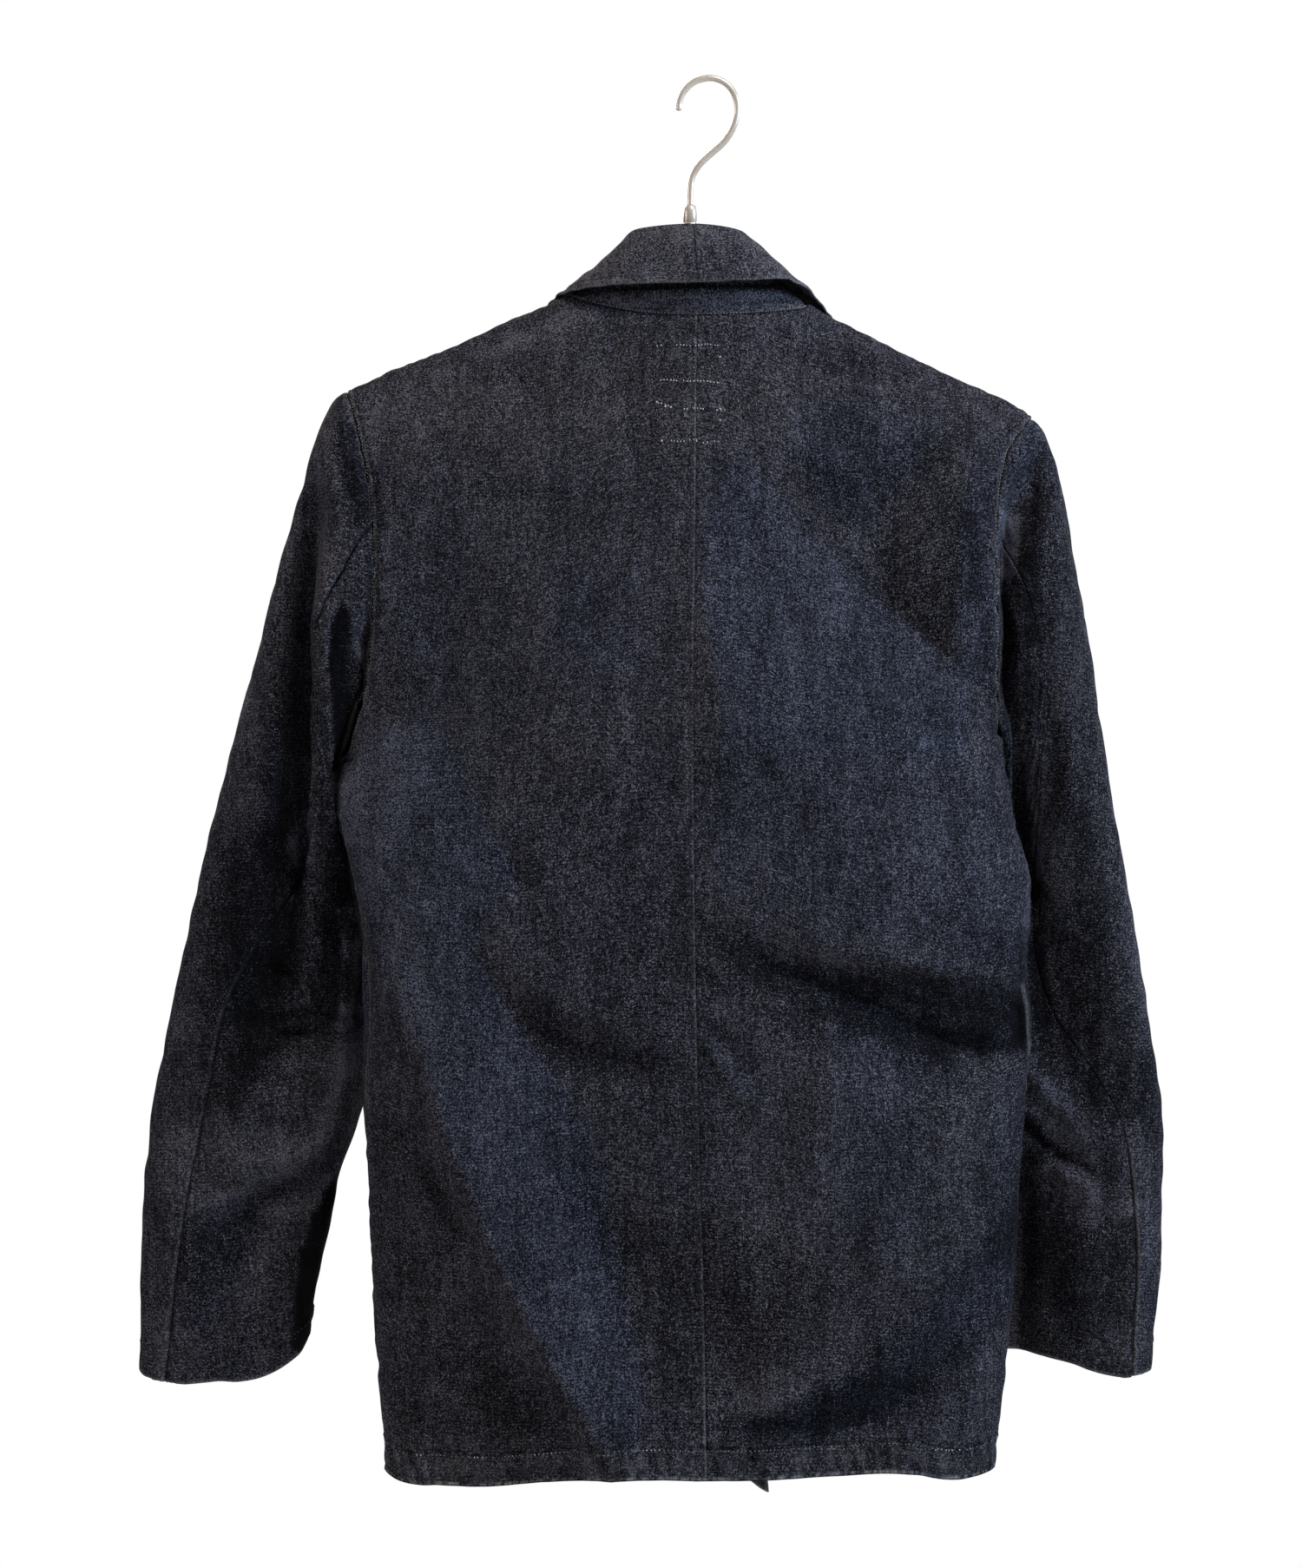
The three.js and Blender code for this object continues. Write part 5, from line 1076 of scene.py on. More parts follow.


# outlines, softness, lean to blue and lightness of the painted light and shade that stands for how light falls on the
# back's folds
LIGHT_AND_SHADE_BACK = [
    # left band, painted bluer where the cool light falls on it, and painted shade on the corner it falls away to
    ([(430, 840), (500, 828), (530, 870), (560, 960), (600, 1010), (548, 1090), (590, 1180), (640, 1240), (680, 1300), (705, 1400), (722, 1500), (742, 1600), (738, 1672), (692, 1662), (650, 1600), (600, 1510), (560, 1420), (520, 1330), (480, 1210), (430, 1090), (394, 930), (405, 880)], 12, 0.75, -0.01),
    ([(430, 1270), (480, 1214), (560, 1424), (650, 1604), (690, 1668), (450, 1690)], 8, -0.15, -0.18),
    ([(442, 1284), (462, 1286), (520, 1370), (548, 1424), (528, 1424), (480, 1352)], 8, 0.0, -0.14),
    ([(540, 1560), (630, 1586), (690, 1668), (560, 1674)], 18, 0.0, -0.10),
    ([(450, 1440), (500, 1440), (560, 1560), (480, 1600)], 30, 0.0, 0.05),
    # painted light and blue on the plane across the right shoulder blade, and painted shade, leaning to brown, in the
    # hollow by the armhole
    ([(850, 526), (900, 578), (960, 640), (1020, 702), (1090, 756), (1120, 776), (1112, 870), (1000, 866), (900, 860), (852, 842), (828, 772), (808, 692), (816, 600)], 15, 0.65, 0.05),
    ([(1160, 488), (1122, 520), (1104, 600), (1092, 690), (1110, 780), (1156, 800)], 10, 0.3, -0.22),
    ([(830, 830), (1110, 860), (1172, 960), (1190, 1060), (1180, 1120), (1000, 1084), (860, 1052), (800, 960)], 26, 0.4, -0.05),
    ([(925, 470), (1000, 456), (1080, 492), (1044, 560), (1000, 604), (950, 580), (915, 520)], 28, 0.55, -0.14),
    ([(1100, 500), (1116, 560), (1100, 640), (1095, 764), (1060, 730), (1020, 690), (1005, 620), (1030, 570), (1070, 520)], 16, -0.35, -0.30),
    ([(1058, 640), (1094, 660), (1096, 764), (1062, 728), (1046, 690)], 14, 0.0, -0.16),
    ([(996, 760), (1050, 806), (1130, 836), (1132, 846), (1046, 816)], 5, 0.0, -0.16),
    # painted shadow in the fold across the waist
    ([(846, 1066), (930, 1097), (1010, 1112), (1100, 1127), (1190, 1141), (1190, 1210), (1130, 1213), (1070, 1193), (1000, 1153), (930, 1127), (862, 1098)], 13, 0.15, -0.90),
    ([(1040, 1140), (1190, 1152), (1190, 1206), (1130, 1208), (1076, 1190)], 14, 0.0, -0.28),
    ([(1163, 1152), (1176, 1150), (1182, 1190), (1179, 1206), (1166, 1198)], 4, 0.1, -0.6),
    # painted shade along the drag lines, and painted light and shade on patches of the middle
    ([(556, 1106), (620, 1172), (700, 1212), (806, 1222), (806, 1250), (700, 1244), (610, 1200)], 11, -0.1, -0.14),
    ([(470, 560), (540, 560), (540, 800), (470, 820), (452, 700)], 26, 0.4, -0.12),
    ([(560, 960), (700, 900), (720, 1140), (640, 1160), (580, 1090)], 26, 0.12, -0.05),
    ([(640, 660), (740, 660), (756, 770), (690, 800), (640, 760)], 26, 0.35, -0.10),
    ([(560, 560), (700, 566), (700, 582), (560, 578)], 7, 0.1, -0.12),
    ([(556, 906), (660, 858), (790, 796), (796, 850), (690, 900), (600, 950)], 20, -0.15, 0.07),
    ([(700, 860), (790, 850), (800, 1100), (720, 1100)], 30, 0.1, -0.07),
    ([(798, 1184), (806, 1182), (846, 1232), (888, 1280), (880, 1288), (836, 1240)], 4, 0.3, 0.20),
    ([(812, 1176), (850, 1200), (890, 1256), (870, 1262), (840, 1222)], 6, 0.2, -0.16),
    ([(960, 1180), (1060, 1190), (1066, 1400), (1000, 1450), (960, 1380)], 22, 0.4, -0.03),
    ([(690, 1390), (820, 1404), (930, 1440), (960, 1500), (900, 1596), (760, 1606), (706, 1500)], 34, -0.3, -0.42),
    ([(700, 1420), (800, 1440), (860, 1500), (780, 1500)], 20, 0.0, -0.08),
    # painted shade at the lower right, and painted light, less blue, across the top of the back
    ([(1172, 1392), (1172, 1500), (1110, 1566), (1060, 1612), (1012, 1642), (872, 1652), (862, 1642), (940, 1606), (1000, 1576), (1050, 1528), (1104, 1462)], 18, 0.45, -0.68),
    ([(862, 1642), (940, 1604), (1010, 1580), (1056, 1592), (1016, 1636), (930, 1650)], 12, 0.1, -0.42),
    ([(1178, 1230), (1150, 1240), (1140, 1380), (1168, 1400)], 14, 0.3, 0.02),
    ([(380, 400), (1180, 400), (1180, 500), (800, 520), (380, 520)], 30, -0.2, 0.04),
    # painted shadow under the lower lip of the waist fold, and painted light on the cloth over it
    ([(800, 1050), (850, 1085), (900, 1112), (1000, 1148), (1060, 1185), (1108, 1200), (1096, 1228), (1040, 1206), (960, 1176), (890, 1148), (830, 1100)], 10, 0.0, -0.72),
    ([(866, 1074), (930, 1090), (994, 1108), (984, 1120), (920, 1112), (880, 1098)], 8, 0.0, 0.5),
    ([(1026, 1128), (1100, 1146), (1094, 1170), (1050, 1164)], 9, 0.0, 0.4),
    ([(1100, 1136), (1160, 1144), (1160, 1158), (1105, 1154)], 8, 0.0, 0.25),
    # painted shade along the drag line left of it, and on the cloth around it
    ([(575, 1140), (610, 1172), (660, 1204), (748, 1216), (748, 1244), (660, 1236), (600, 1196)], 11, 0.0, -0.4),
    ([(570, 780), (640, 760), (700, 880), (790, 920), (790, 1100), (800, 1330), (700, 1360), (640, 1260), (600, 1000)], 40, 0.0, -0.14),
    ([(590, 900), (690, 890), (690, 1000), (600, 1020)], 26, 0.0, -0.14),
    ([(716, 1090), (800, 1090), (800, 1190), (730, 1190)], 22, 0.0, -0.16),
    # painted light along the left edge and the band's edge, and painted light and shade near the hem
    ([(388, 780), (430, 822), (500, 840), (496, 900), (452, 990), (470, 1060), (500, 1180), (500, 1230), (470, 1190), (436, 1060), (396, 980), (384, 930)], 16, 0.0, 0.42),
    ([(380, 890), (420, 890), (424, 970), (396, 976)], 10, 0.0, 0.35),
    ([(490, 1250), (520, 1330), (560, 1420), (610, 1500), (640, 1580), (600, 1590), (550, 1500), (510, 1400), (490, 1310)], 14, 0.0, 0.32),
    ([(490, 1530), (560, 1560), (600, 1608), (650, 1628), (640, 1652), (560, 1642), (500, 1580)], 14, 0.0, -0.36),
    ([(440, 1600), (470, 1644), (660, 1660), (660, 1682), (440, 1692)], 10, 0.0, 0.24),
    ([(690, 1644), (880, 1624), (930, 1642), (1120, 1670), (1112, 1698), (700, 1698)], 10, 0.0, -0.24),
    # painted light and shade at the right edge and lower right
    ([(1066, 1524), (1106, 1480), (1158, 1450), (1162, 1504), (1120, 1544), (1080, 1556)], 14, 0.0, 0.4),
    ([(960, 1560), (1010, 1540), (1016, 1590), (966, 1606)], 12, 0.0, -0.2),
    ([(1126, 1310), (1180, 1290), (1180, 1474), (1150, 1456), (1116, 1400)], 16, 0.0, -0.38),
    ([(1060, 1190), (1110, 1190), (1116, 1300), (1080, 1310)], 16, 0.0, -0.16),
    # painted shade and light on the shoulders and by the armholes
    ([(900, 516), (970, 540), (1024, 574), (1016, 604), (970, 606), (930, 566)], 14, 0.0, -0.6),
    ([(900, 382), (960, 398), (1062, 424), (1050, 442), (960, 430), (904, 406)], 9, 0.0, -0.32),
    ([(830, 350), (890, 350), (890, 395), (830, 395)], 14, 0.0, -0.16),
    ([(400, 452), (520, 416), (640, 362), (690, 360), (640, 396), (560, 446), (545, 496), (460, 496), (404, 484)], 14, 0.0, 0.24),
    ([(1108, 590), (1128, 590), (1132, 690), (1110, 690)], 9, 0.0, -0.7),
    ([(820, 980), (890, 968), (902, 1020), (840, 1046)], 16, 0.0, 0.2),
    ([(418, 540), (442, 540), (442, 610), (422, 610)], 9, 0.0, -0.3),
    ([(412, 622), (434, 622), (432, 722), (414, 722)], 6, 0.0, -0.35),
    # smaller painted lights and shades
    ([(1120, 1075), (1190, 1070), (1192, 1140), (1160, 1132), (1130, 1120)], 12, 0.0, -0.4),
    ([(1168, 1090), (1192, 1085), (1194, 1150), (1176, 1142)], 7, 0.0, -0.5),
    ([(1140, 790), (1160, 800), (1170, 900), (1156, 910), (1144, 860)], 7, 0.0, -0.4),
    ([(1146, 600), (1170, 600), (1172, 660), (1150, 664)], 6, 0.0, 0.5),
    ([(1130, 480), (1172, 470), (1168, 560), (1136, 560)], 12, 0.0, 0.26),
    ([(1015, 520), (1060, 505), (1120, 475), (1120, 502), (1060, 546), (1025, 556)], 12, 0.0, -0.3),
    ([(796, 1110), (895, 1116), (890, 1144), (830, 1148)], 9, 0.0, -0.5),
    ([(880, 1160), (1000, 1160), (1060, 1192), (1110, 1215), (1112, 1252), (1060, 1240), (1000, 1206), (900, 1206)], 14, 0.0, -0.38),
    ([(860, 1070), (940, 1088), (1030, 1112), (1030, 1130), (940, 1125), (890, 1110)], 10, 0.0, 0.3),
    ([(1024, 1148), (1090, 1168), (1092, 1188), (1060, 1186), (1030, 1168)], 7, 0.0, 0.42),
    ([(490, 1350), (512, 1380), (548, 1430), (552, 1462), (530, 1458), (500, 1400)], 9, 0.0, -0.42),
    ([(480, 1240), (590, 1240), (600, 1340), (540, 1370), (500, 1330)], 22, 0.0, 0.2),
    ([(650, 1340), (700, 1340), (745, 1440), (740, 1472), (700, 1452), (660, 1390)], 16, 0.0, -0.34),
    ([(700, 1110), (800, 1110), (860, 1200), (860, 1310), (760, 1310), (700, 1250)], 34, 0.0, -0.13),
    ([(846, 1550), (880, 1570), (950, 1600), (940, 1640), (880, 1650), (850, 1620)], 12, 0.0, 0.36),
    ([(796, 1524), (834, 1524), (834, 1562), (800, 1562)], 10, 0.0, -0.24),
    ([(398, 740), (424, 750), (424, 812), (400, 816)], 7, 0.0, 0.6),
    ([(536, 410), (610, 400), (610, 440), (545, 446)], 10, 0.0, -0.36),
    ([(540, 412), (640, 360), (690, 345), (690, 365), (640, 388), (560, 420)], 6, 0.0, 0.26),
    ([(684, 640), (712, 640), (708, 690), (686, 690)], 9, 0.0, 0.28),
    ([(455, 960), (505, 950), (510, 1130), (485, 1130)], 16, 0.0, 0.2),
    ([(1000, 800), (1060, 820), (1120, 826), (1118, 850), (1050, 846), (1004, 820)], 9, 0.0, -0.22),
    ([(550, 980), (610, 990), (618, 1030), (580, 1030)], 12, 0.0, -0.3),
    ([(1070, 1180), (1182, 1180), (1182, 1290), (1100, 1300), (1080, 1260)], 18, 0.0, -0.2),
    ([(1150, 1340), (1182, 1340), (1182, 1440), (1160, 1440)], 10, 0.0, -0.28),
    ([(530, 520), (570, 530), (580, 580), (545, 575)], 14, 0.0, -0.28),
    ([(1066, 1590), (1112, 1590), (1112, 1634), (1070, 1640)], 12, 0.0, -0.36),
    ([(730, 1600), (850, 1600), (850, 1650), (740, 1650)], 14, 0.0, -0.25),
    ([(876, 1636), (926, 1630), (926, 1664), (880, 1668)], 9, 0.0, -0.32),
    ([(436, 1330), (470, 1330), (500, 1430), (450, 1430)], 12, 0.0, 0.26),
    ([(428, 1240), (470, 1240), (470, 1290), (432, 1290)], 12, 0.0, 0.3),
    ([(786, 680), (822, 680), (822, 770), (790, 770)], 14, 0.0, 0.2),
    ([(590, 1150), (650, 1150), (692, 1220), (670, 1242), (610, 1200)], 12, 0.0, -0.24),
    ([(636, 870), (690, 840), (700, 866), (644, 898)], 10, 0.0, 0.2),
    ([(1000, 1500), (1060, 1480), (1030, 1560), (1000, 1580)], 14, 0.0, -0.2),
    ([(1050, 1040), (1130, 1060), (1120, 1110), (1060, 1100)], 18, 0.0, -0.18),
    ([(510, 1040), (548, 1050), (546, 1100), (516, 1096)], 12, 0.0, -0.24),
]
# painted light and shade on the sleeves' folds: painted shadow in the deep valleys and hollows, painted light on the
# ridges and rims, with the blue of the cool light
LIGHT_AND_SHADE_SLEEVE = {
    "L": [
        ([(356, 524), (364, 560), (362, 760), (374, 900), (366, 1000), (330, 1012), (306, 1000), (316, 900), (321, 800), (328, 700), (344, 600)], 6, 0.0, -0.22),
        ([(330, 760), (336, 900), (330, 970), (296, 970), (306, 900), (318, 820)], 12, 0.0, -0.20),
        ([(345, 880), (310, 940), (262, 985), (238, 1040), (234, 1120), (262, 1180), (300, 1196), (380, 1200), (420, 1182), (426, 1100), (410, 1000), (392, 940), (372, 900)], 24, 0.05, -0.74),
        ([(366, 930), (380, 960), (367, 1020), (359, 1080), (353, 1140), (336, 1186), (326, 1182), (338, 1130), (344, 1080), (350, 1020), (362, 970)], 6, 0.0, 0.34),
        ([(400, 1080), (409, 1080), (405, 1140), (395, 1188), (384, 1188), (394, 1140)], 5, 0.0, 0.36),
        ([(388, 704), (395, 696), (402, 706), (404, 736), (421, 780), (425, 822), (404, 884), (392, 934), (385, 890), (383, 820), (379, 770), (381, 725)], 4, -0.25, -1.85),
        ([(421, 640), (430, 636), (432, 800), (424, 830), (422, 740)], 4, 0.1, -0.5),
        ([(390, 486), (410, 488), (418, 540), (426, 590), (412, 606), (396, 560), (386, 510)], 8, 0.0, -0.95),
        ([(228, 1396), (300, 1372), (380, 1342), (372, 1366), (310, 1396), (290, 1440), (250, 1530), (210, 1530)], 11, 0.5, -0.24),
        ([(394, 1346), (358, 1400), (342, 1480), (336, 1552), (362, 1556), (388, 1440)], 5, 0.0, -1.8),
        ([(272, 985), (335, 985), (338, 1060), (326, 1180), (272, 1184), (256, 1130), (264, 1050)], 14, 0.0, -0.48),
        ([(312, 1050), (342, 1050), (340, 1124), (312, 1124)], 8, 0.0, -0.4),
        ([(372, 980), (402, 980), (404, 1120), (372, 1120)], 8, 0.0, -0.32),
        ([(334, 870), (364, 870), (366, 1000), (330, 1000)], 8, 0.0, 1.1),
        ([(302, 880), (330, 880), (328, 990), (296, 990)], 8, 0.0, -0.5),
        ([(282, 1090), (334, 1090), (326, 1184), (284, 1184)], 12, 0.0, -0.38),
        ([(368, 1086), (408, 1086), (404, 1180), (368, 1184)], 10, 0.0, 0.3),
        ([(230, 1150), (300, 1165), (366, 1160), (340, 1202), (302, 1222), (272, 1284), (238, 1264)], 12, 0.0, -0.85),
        ([(380, 1150), (424, 1150), (418, 1210), (398, 1262), (372, 1332), (350, 1332), (376, 1250)], 10, 0.0, 0.65),
        ([(186, 1312), (240, 1280), (300, 1302), (370, 1312), (350, 1350), (290, 1380), (232, 1400), (180, 1372)], 16, 0.0, 0.5),
        ([(322, 1436), (352, 1436), (346, 1560), (312, 1560)], 9, 0.0, -0.3),
        ([(386, 530), (426, 530), (434, 602), (400, 616), (386, 590)], 9, 0.0, -0.42),
        ([(406, 620), (434, 620), (432, 720), (412, 720)], 6, 0.0, -0.42),
        ([(338, 600), (364, 590), (386, 650), (386, 704), (340, 704), (332, 650)], 10, 0.0, 0.42),
        ([(326, 966), (342, 966), (344, 1040), (328, 1040)], 6, 0.0, 0.7),
        ([(390, 1044), (412, 1044), (412, 1106), (390, 1106)], 6, 0.0, 0.7),
        ([(398, 730), (416, 744), (418, 800), (400, 806)], 6, 0.0, 0.5),
        ([(280, 780), (302, 780), (298, 866), (276, 866)], 8, 0.0, 0.42),
        ([(296, 1154), (362, 1148), (364, 1176), (304, 1186)], 8, 0.0, 0.55),
        ([(270, 1190), (330, 1190), (328, 1246), (280, 1250)], 10, 0.0, -0.38),
        ([(238, 1210), (262, 1210), (260, 1274), (238, 1274)], 8, 0.0, 0.3),
        ([(392, 1160), (426, 1160), (418, 1240), (392, 1240)], 8, 0.0, 0.48),
        ([(300, 1400), (368, 1388), (358, 1440), (300, 1450)], 10, 0.0, 0.36),
        ([(236, 1376), (286, 1364), (290, 1396), (246, 1408)], 9, 0.0, 0.36),
        ([(402, 744), (424, 752), (424, 812), (404, 816)], 6, 0.0, 0.6),
        ([(338, 740), (354, 740), (354, 868), (340, 868)], 6, 0.0, 0.5),
        ([(310, 966), (340, 960), (344, 1022), (326, 1026)], 6, 0.0, 0.5),
        ([(390, 1040), (412, 1040), (414, 1096), (392, 1096)], 6, 0.0, 0.35),
        ([(346, 1436), (372, 1436), (364, 1514), (346, 1514)], 5, 0.0, -1.2),
        ([(170, 1510), (230, 1510), (240, 1590), (170, 1590)], 14, 0.0, 0.24),
        ([(256, 1510), (268, 1460), (310, 1444), (318, 1476), (280, 1522)], 9, 0.0, 0.36),
        ([(200, 1430), (262, 1410), (266, 1446), (206, 1462)], 9, 0.0, -0.3),
        ([(198, 1160), (280, 1150), (280, 1182), (198, 1198)], 10, 0.0, 0.3),
        ([(364, 1304), (388, 1220), (404, 1200), (408, 1230), (384, 1312)], 8, 0.0, 0.3),
        ([(284, 1324), (330, 1324), (326, 1360), (288, 1360)], 10, 0.0, 0.28),
        ([(372, 1120), (404, 1124), (400, 1160), (376, 1160)], 8, 0.0, -0.3),
        ([(362, 490), (384, 470), (384, 540), (352, 580), (342, 640), (328, 640), (340, 570)], 8, 0.0, 0.3),
        ([(312, 700), (332, 700), (330, 880), (310, 880)], 8, 0.0, -0.3),
        ([(290, 1374), (384, 1352), (366, 1394), (300, 1402)], 8, -0.2, 0.6),
        ([(150, 1330), (392, 1330), (360, 1600), (150, 1600)], 24, 0.0, -0.27),
        ([(230, 1210), (430, 1200), (400, 1330), (230, 1340)], 20, -0.1, -0.14),
        ([(365, 490), (392, 480), (400, 690), (366, 700)], 12, -0.1, 0.04),
        ([(150, 1330), (214, 1330), (204, 1592), (150, 1592)], 14, 0.0, 0.2),
        ([(252, 960), (300, 970), (310, 990), (252, 990)], 10, 0.0, -0.1),
    ],
    "R": [
        ([(1202, 516), (1224, 590), (1250, 720), (1272, 860), (1290, 1000), (1304, 1120), (1312, 1230), (1200, 1216), (1184, 1000), (1162, 800), (1158, 690), (1186, 600)], 8, -0.15, -0.42),
        ([(1146, 488), (1198, 482), (1195, 520), (1184, 575), (1172, 625), (1158, 690), (1140, 696)], 4, 0.45, 0.10),
        ([(1154, 668), (1178, 640), (1184, 800), (1194, 1000), (1204, 1100), (1182, 1132), (1178, 1000), (1150, 900)], 8, 0.0, -0.12),
        ([(1144, 690), (1160, 684), (1171, 740), (1174, 800), (1180, 900), (1194, 960), (1182, 980), (1148, 900), (1144, 800)], 5, 0.0, -0.55),
        ([(1206, 952), (1234, 944), (1244, 1028), (1222, 1046)], 10, 0.0, 0.26),
        ([(1176, 680), (1210, 690), (1214, 810), (1178, 820)], 8, 0.0, -0.3),
        ([(1212, 680), (1240, 690), (1250, 810), (1216, 820)], 8, 0.0, 0.25),
        ([(1182, 840), (1212, 840), (1214, 960), (1190, 965)], 8, 0.0, 0.5),
        ([(1216, 840), (1246, 840), (1250, 940), (1220, 940)], 10, 0.0, -0.14),
        ([(1196, 1050), (1262, 1050), (1268, 1170), (1210, 1170)], 12, 0.0, -0.25),
        ([(1216, 1180), (1264, 1180), (1270, 1272), (1246, 1278)], 8, 0.0, -0.65),
        ([(1264, 1200), (1326, 1200), (1330, 1300), (1276, 1300)], 12, 0.0, -0.4),
        ([(1206, 1396), (1252, 1396), (1252, 1548), (1206, 1548)], 10, 0.0, -0.4),
        ([(1162, 760), (1176, 760), (1186, 860), (1196, 940), (1206, 1010), (1194, 1014), (1180, 940), (1166, 860)], 6, 0.0, 1.0),
        ([(1176, 630), (1196, 640), (1198, 742), (1182, 746), (1174, 690)], 6, 0.0, -0.65),
        ([(1186, 500), (1202, 510), (1200, 616), (1186, 616)], 6, 0.0, -0.32),
        ([(1152, 590), (1176, 594), (1174, 664), (1154, 668)], 5, 0.0, 1.0),
        ([(1180, 1070), (1200, 1070), (1208, 1150), (1218, 1242), (1198, 1240), (1182, 1150)], 6, 0.0, -0.75),
        ([(1180, 1284), (1204, 1300), (1216, 1330), (1212, 1470), (1182, 1470)], 8, 0.0, -0.38),
        ([(1232, 920), (1256, 920), (1264, 1050), (1240, 1050)], 9, 0.0, -0.32),
        ([(1256, 1070), (1280, 1070), (1284, 1170), (1262, 1170)], 9, 0.0, -0.3),
        ([(1236, 1186), (1312, 1196), (1316, 1232), (1250, 1222)], 10, 0.0, 0.3),
        ([(1210, 1362), (1250, 1376), (1312, 1384), (1308, 1408), (1240, 1402)], 9, 0.0, 0.55),
        ([(1284, 1290), (1322, 1290), (1322, 1400), (1290, 1400)], 10, 0.0, 0.42),
        ([(1255, 1520), (1318, 1530), (1314, 1582), (1260, 1570)], 10, 0.0, 0.38),
        ([(1182, 1500), (1230, 1506), (1226, 1546), (1184, 1540)], 8, 0.0, 0.3),
        ([(1184, 560), (1204, 560), (1202, 662), (1186, 666)], 6, 0.0, -0.38),
        ([(1186, 1340), (1212, 1340), (1212, 1376), (1190, 1380)], 7, 0.0, 0.58),
        ([(1222, 1298), (1250, 1310), (1268, 1346), (1240, 1340)], 7, 0.0, 0.5),
        ([(1284, 1320), (1332, 1320), (1326, 1580), (1284, 1570)], 14, 0.0, 0.32),
        ([(1246, 1440), (1268, 1440), (1268, 1540), (1248, 1540)], 7, 0.0, -0.3),
        ([(1226, 1340), (1262, 1330), (1268, 1400), (1250, 1450), (1230, 1450)], 10, 0.0, 0.36),
        ([(1192, 950), (1214, 960), (1228, 1010), (1222, 1044), (1206, 1040), (1196, 1000)], 8, 0.0, 0.45),
        ([(1210, 1220), (1240, 1220), (1244, 1256), (1216, 1254)], 8, 0.0, -0.35),
        ([(1230, 930), (1254, 930), (1262, 1000), (1240, 1000)], 8, 0.0, -0.2),
        ([(1184, 1090), (1204, 1090), (1216, 1184), (1196, 1186), (1186, 1140)], 6, 0.0, -0.6),
        ([(1182, 1280), (1200, 1290), (1222, 1330), (1214, 1350), (1186, 1320)], 6, 0.0, -0.35),
        ([(1190, 740), (1224, 740), (1230, 830), (1200, 830)], 9, 0.0, 0.36),
        ([(1272, 1000), (1300, 1000), (1308, 1110), (1280, 1110)], 9, 0.0, 0.3),
        ([(1204, 1050), (1226, 1050), (1236, 1200), (1214, 1200)], 8, 0.0, 0.24),
        ([(1186, 1222), (1212, 1244), (1244, 1286), (1268, 1328), (1260, 1340), (1240, 1330), (1208, 1304), (1182, 1280)], 4, 0.3, 0.34),
        ([(1182, 1286), (1200, 1306), (1218, 1324), (1240, 1338), (1262, 1348), (1258, 1355), (1236, 1348), (1216, 1336), (1198, 1320), (1180, 1300)], 4, 0.0, -0.6),
        ([(1166, 1300), (1186, 1310), (1204, 1390), (1204, 1556), (1160, 1556)], 9, -0.1, -0.02),
        ([(1196, 1330), (1336, 1330), (1326, 1592), (1186, 1576)], 18, -0.15, -0.55),
        ([(1202, 1326), (1238, 1342), (1264, 1352), (1270, 1386), (1232, 1382), (1206, 1352)], 7, 0.0, 0.62),
        ([(1250, 1220), (1330, 1220), (1336, 1330), (1270, 1330)], 16, -0.1, -0.40),
        ([(1306, 1380), (1334, 1380), (1324, 1560), (1306, 1540)], 8, 0.2, 0.16),
    ],
}


def paint_light_and_shade(p, q, spots, base):
    """Painted light and shade, and its lean to blue, at places of the draft sheet."""
    tone, blue = np.zeros(p.shape), np.full(p.shape, base)
    for poly, soft, b, t in spots:
        k = patch(p, q, poly, soft)
        tone += t * k
        blue += b * k
    return tone, np.clip(blue, 0, 1)


rows_of = {}


def finish_piece(ob, node_name):
    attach(ob, "root")
    if node_name:
        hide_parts(node_name)
    return ob


def blank(shape):
    return np.zeros(shape + (4,))


# ------------------------------------------------------------------ body panels
STEP = 1.59


def body_rows(side):
    low = cluster(428.0, STEP * 1.1, ((0.0, 0.5), (4.0, 0.9), (16.0, 0.9), (24.0, None)), both=False)
    high = cluster(232.0, STEP * 1.1, both=False)
    v = np.concatenate([low * pitT[side], (1 - (1 - pitT[side]) * high[::-1])[1:]])
    return v if len(v) % 2 else np.insert(v, 1, v[1] / 2)


def soften(P, v, level):
    """Ease the change of slope at the foot of the armholes, away from the armhole's edge."""
    W = arc(P, 1)
    near = np.exp(-(((v - level) / 0.075) ** 2))[:, None] * smooth((W[:, -1:] - W - 3.0) / 30.0)
    Q = P.copy()
    for _ in range(60):
        Q[1:-1] = (Q[:-2] + 2 * Q[1:-1] + Q[2:]) / 4
    out = P + (Q - P) * near[..., None]
    out[0], out[-1] = P[0], P[-1]
    return out


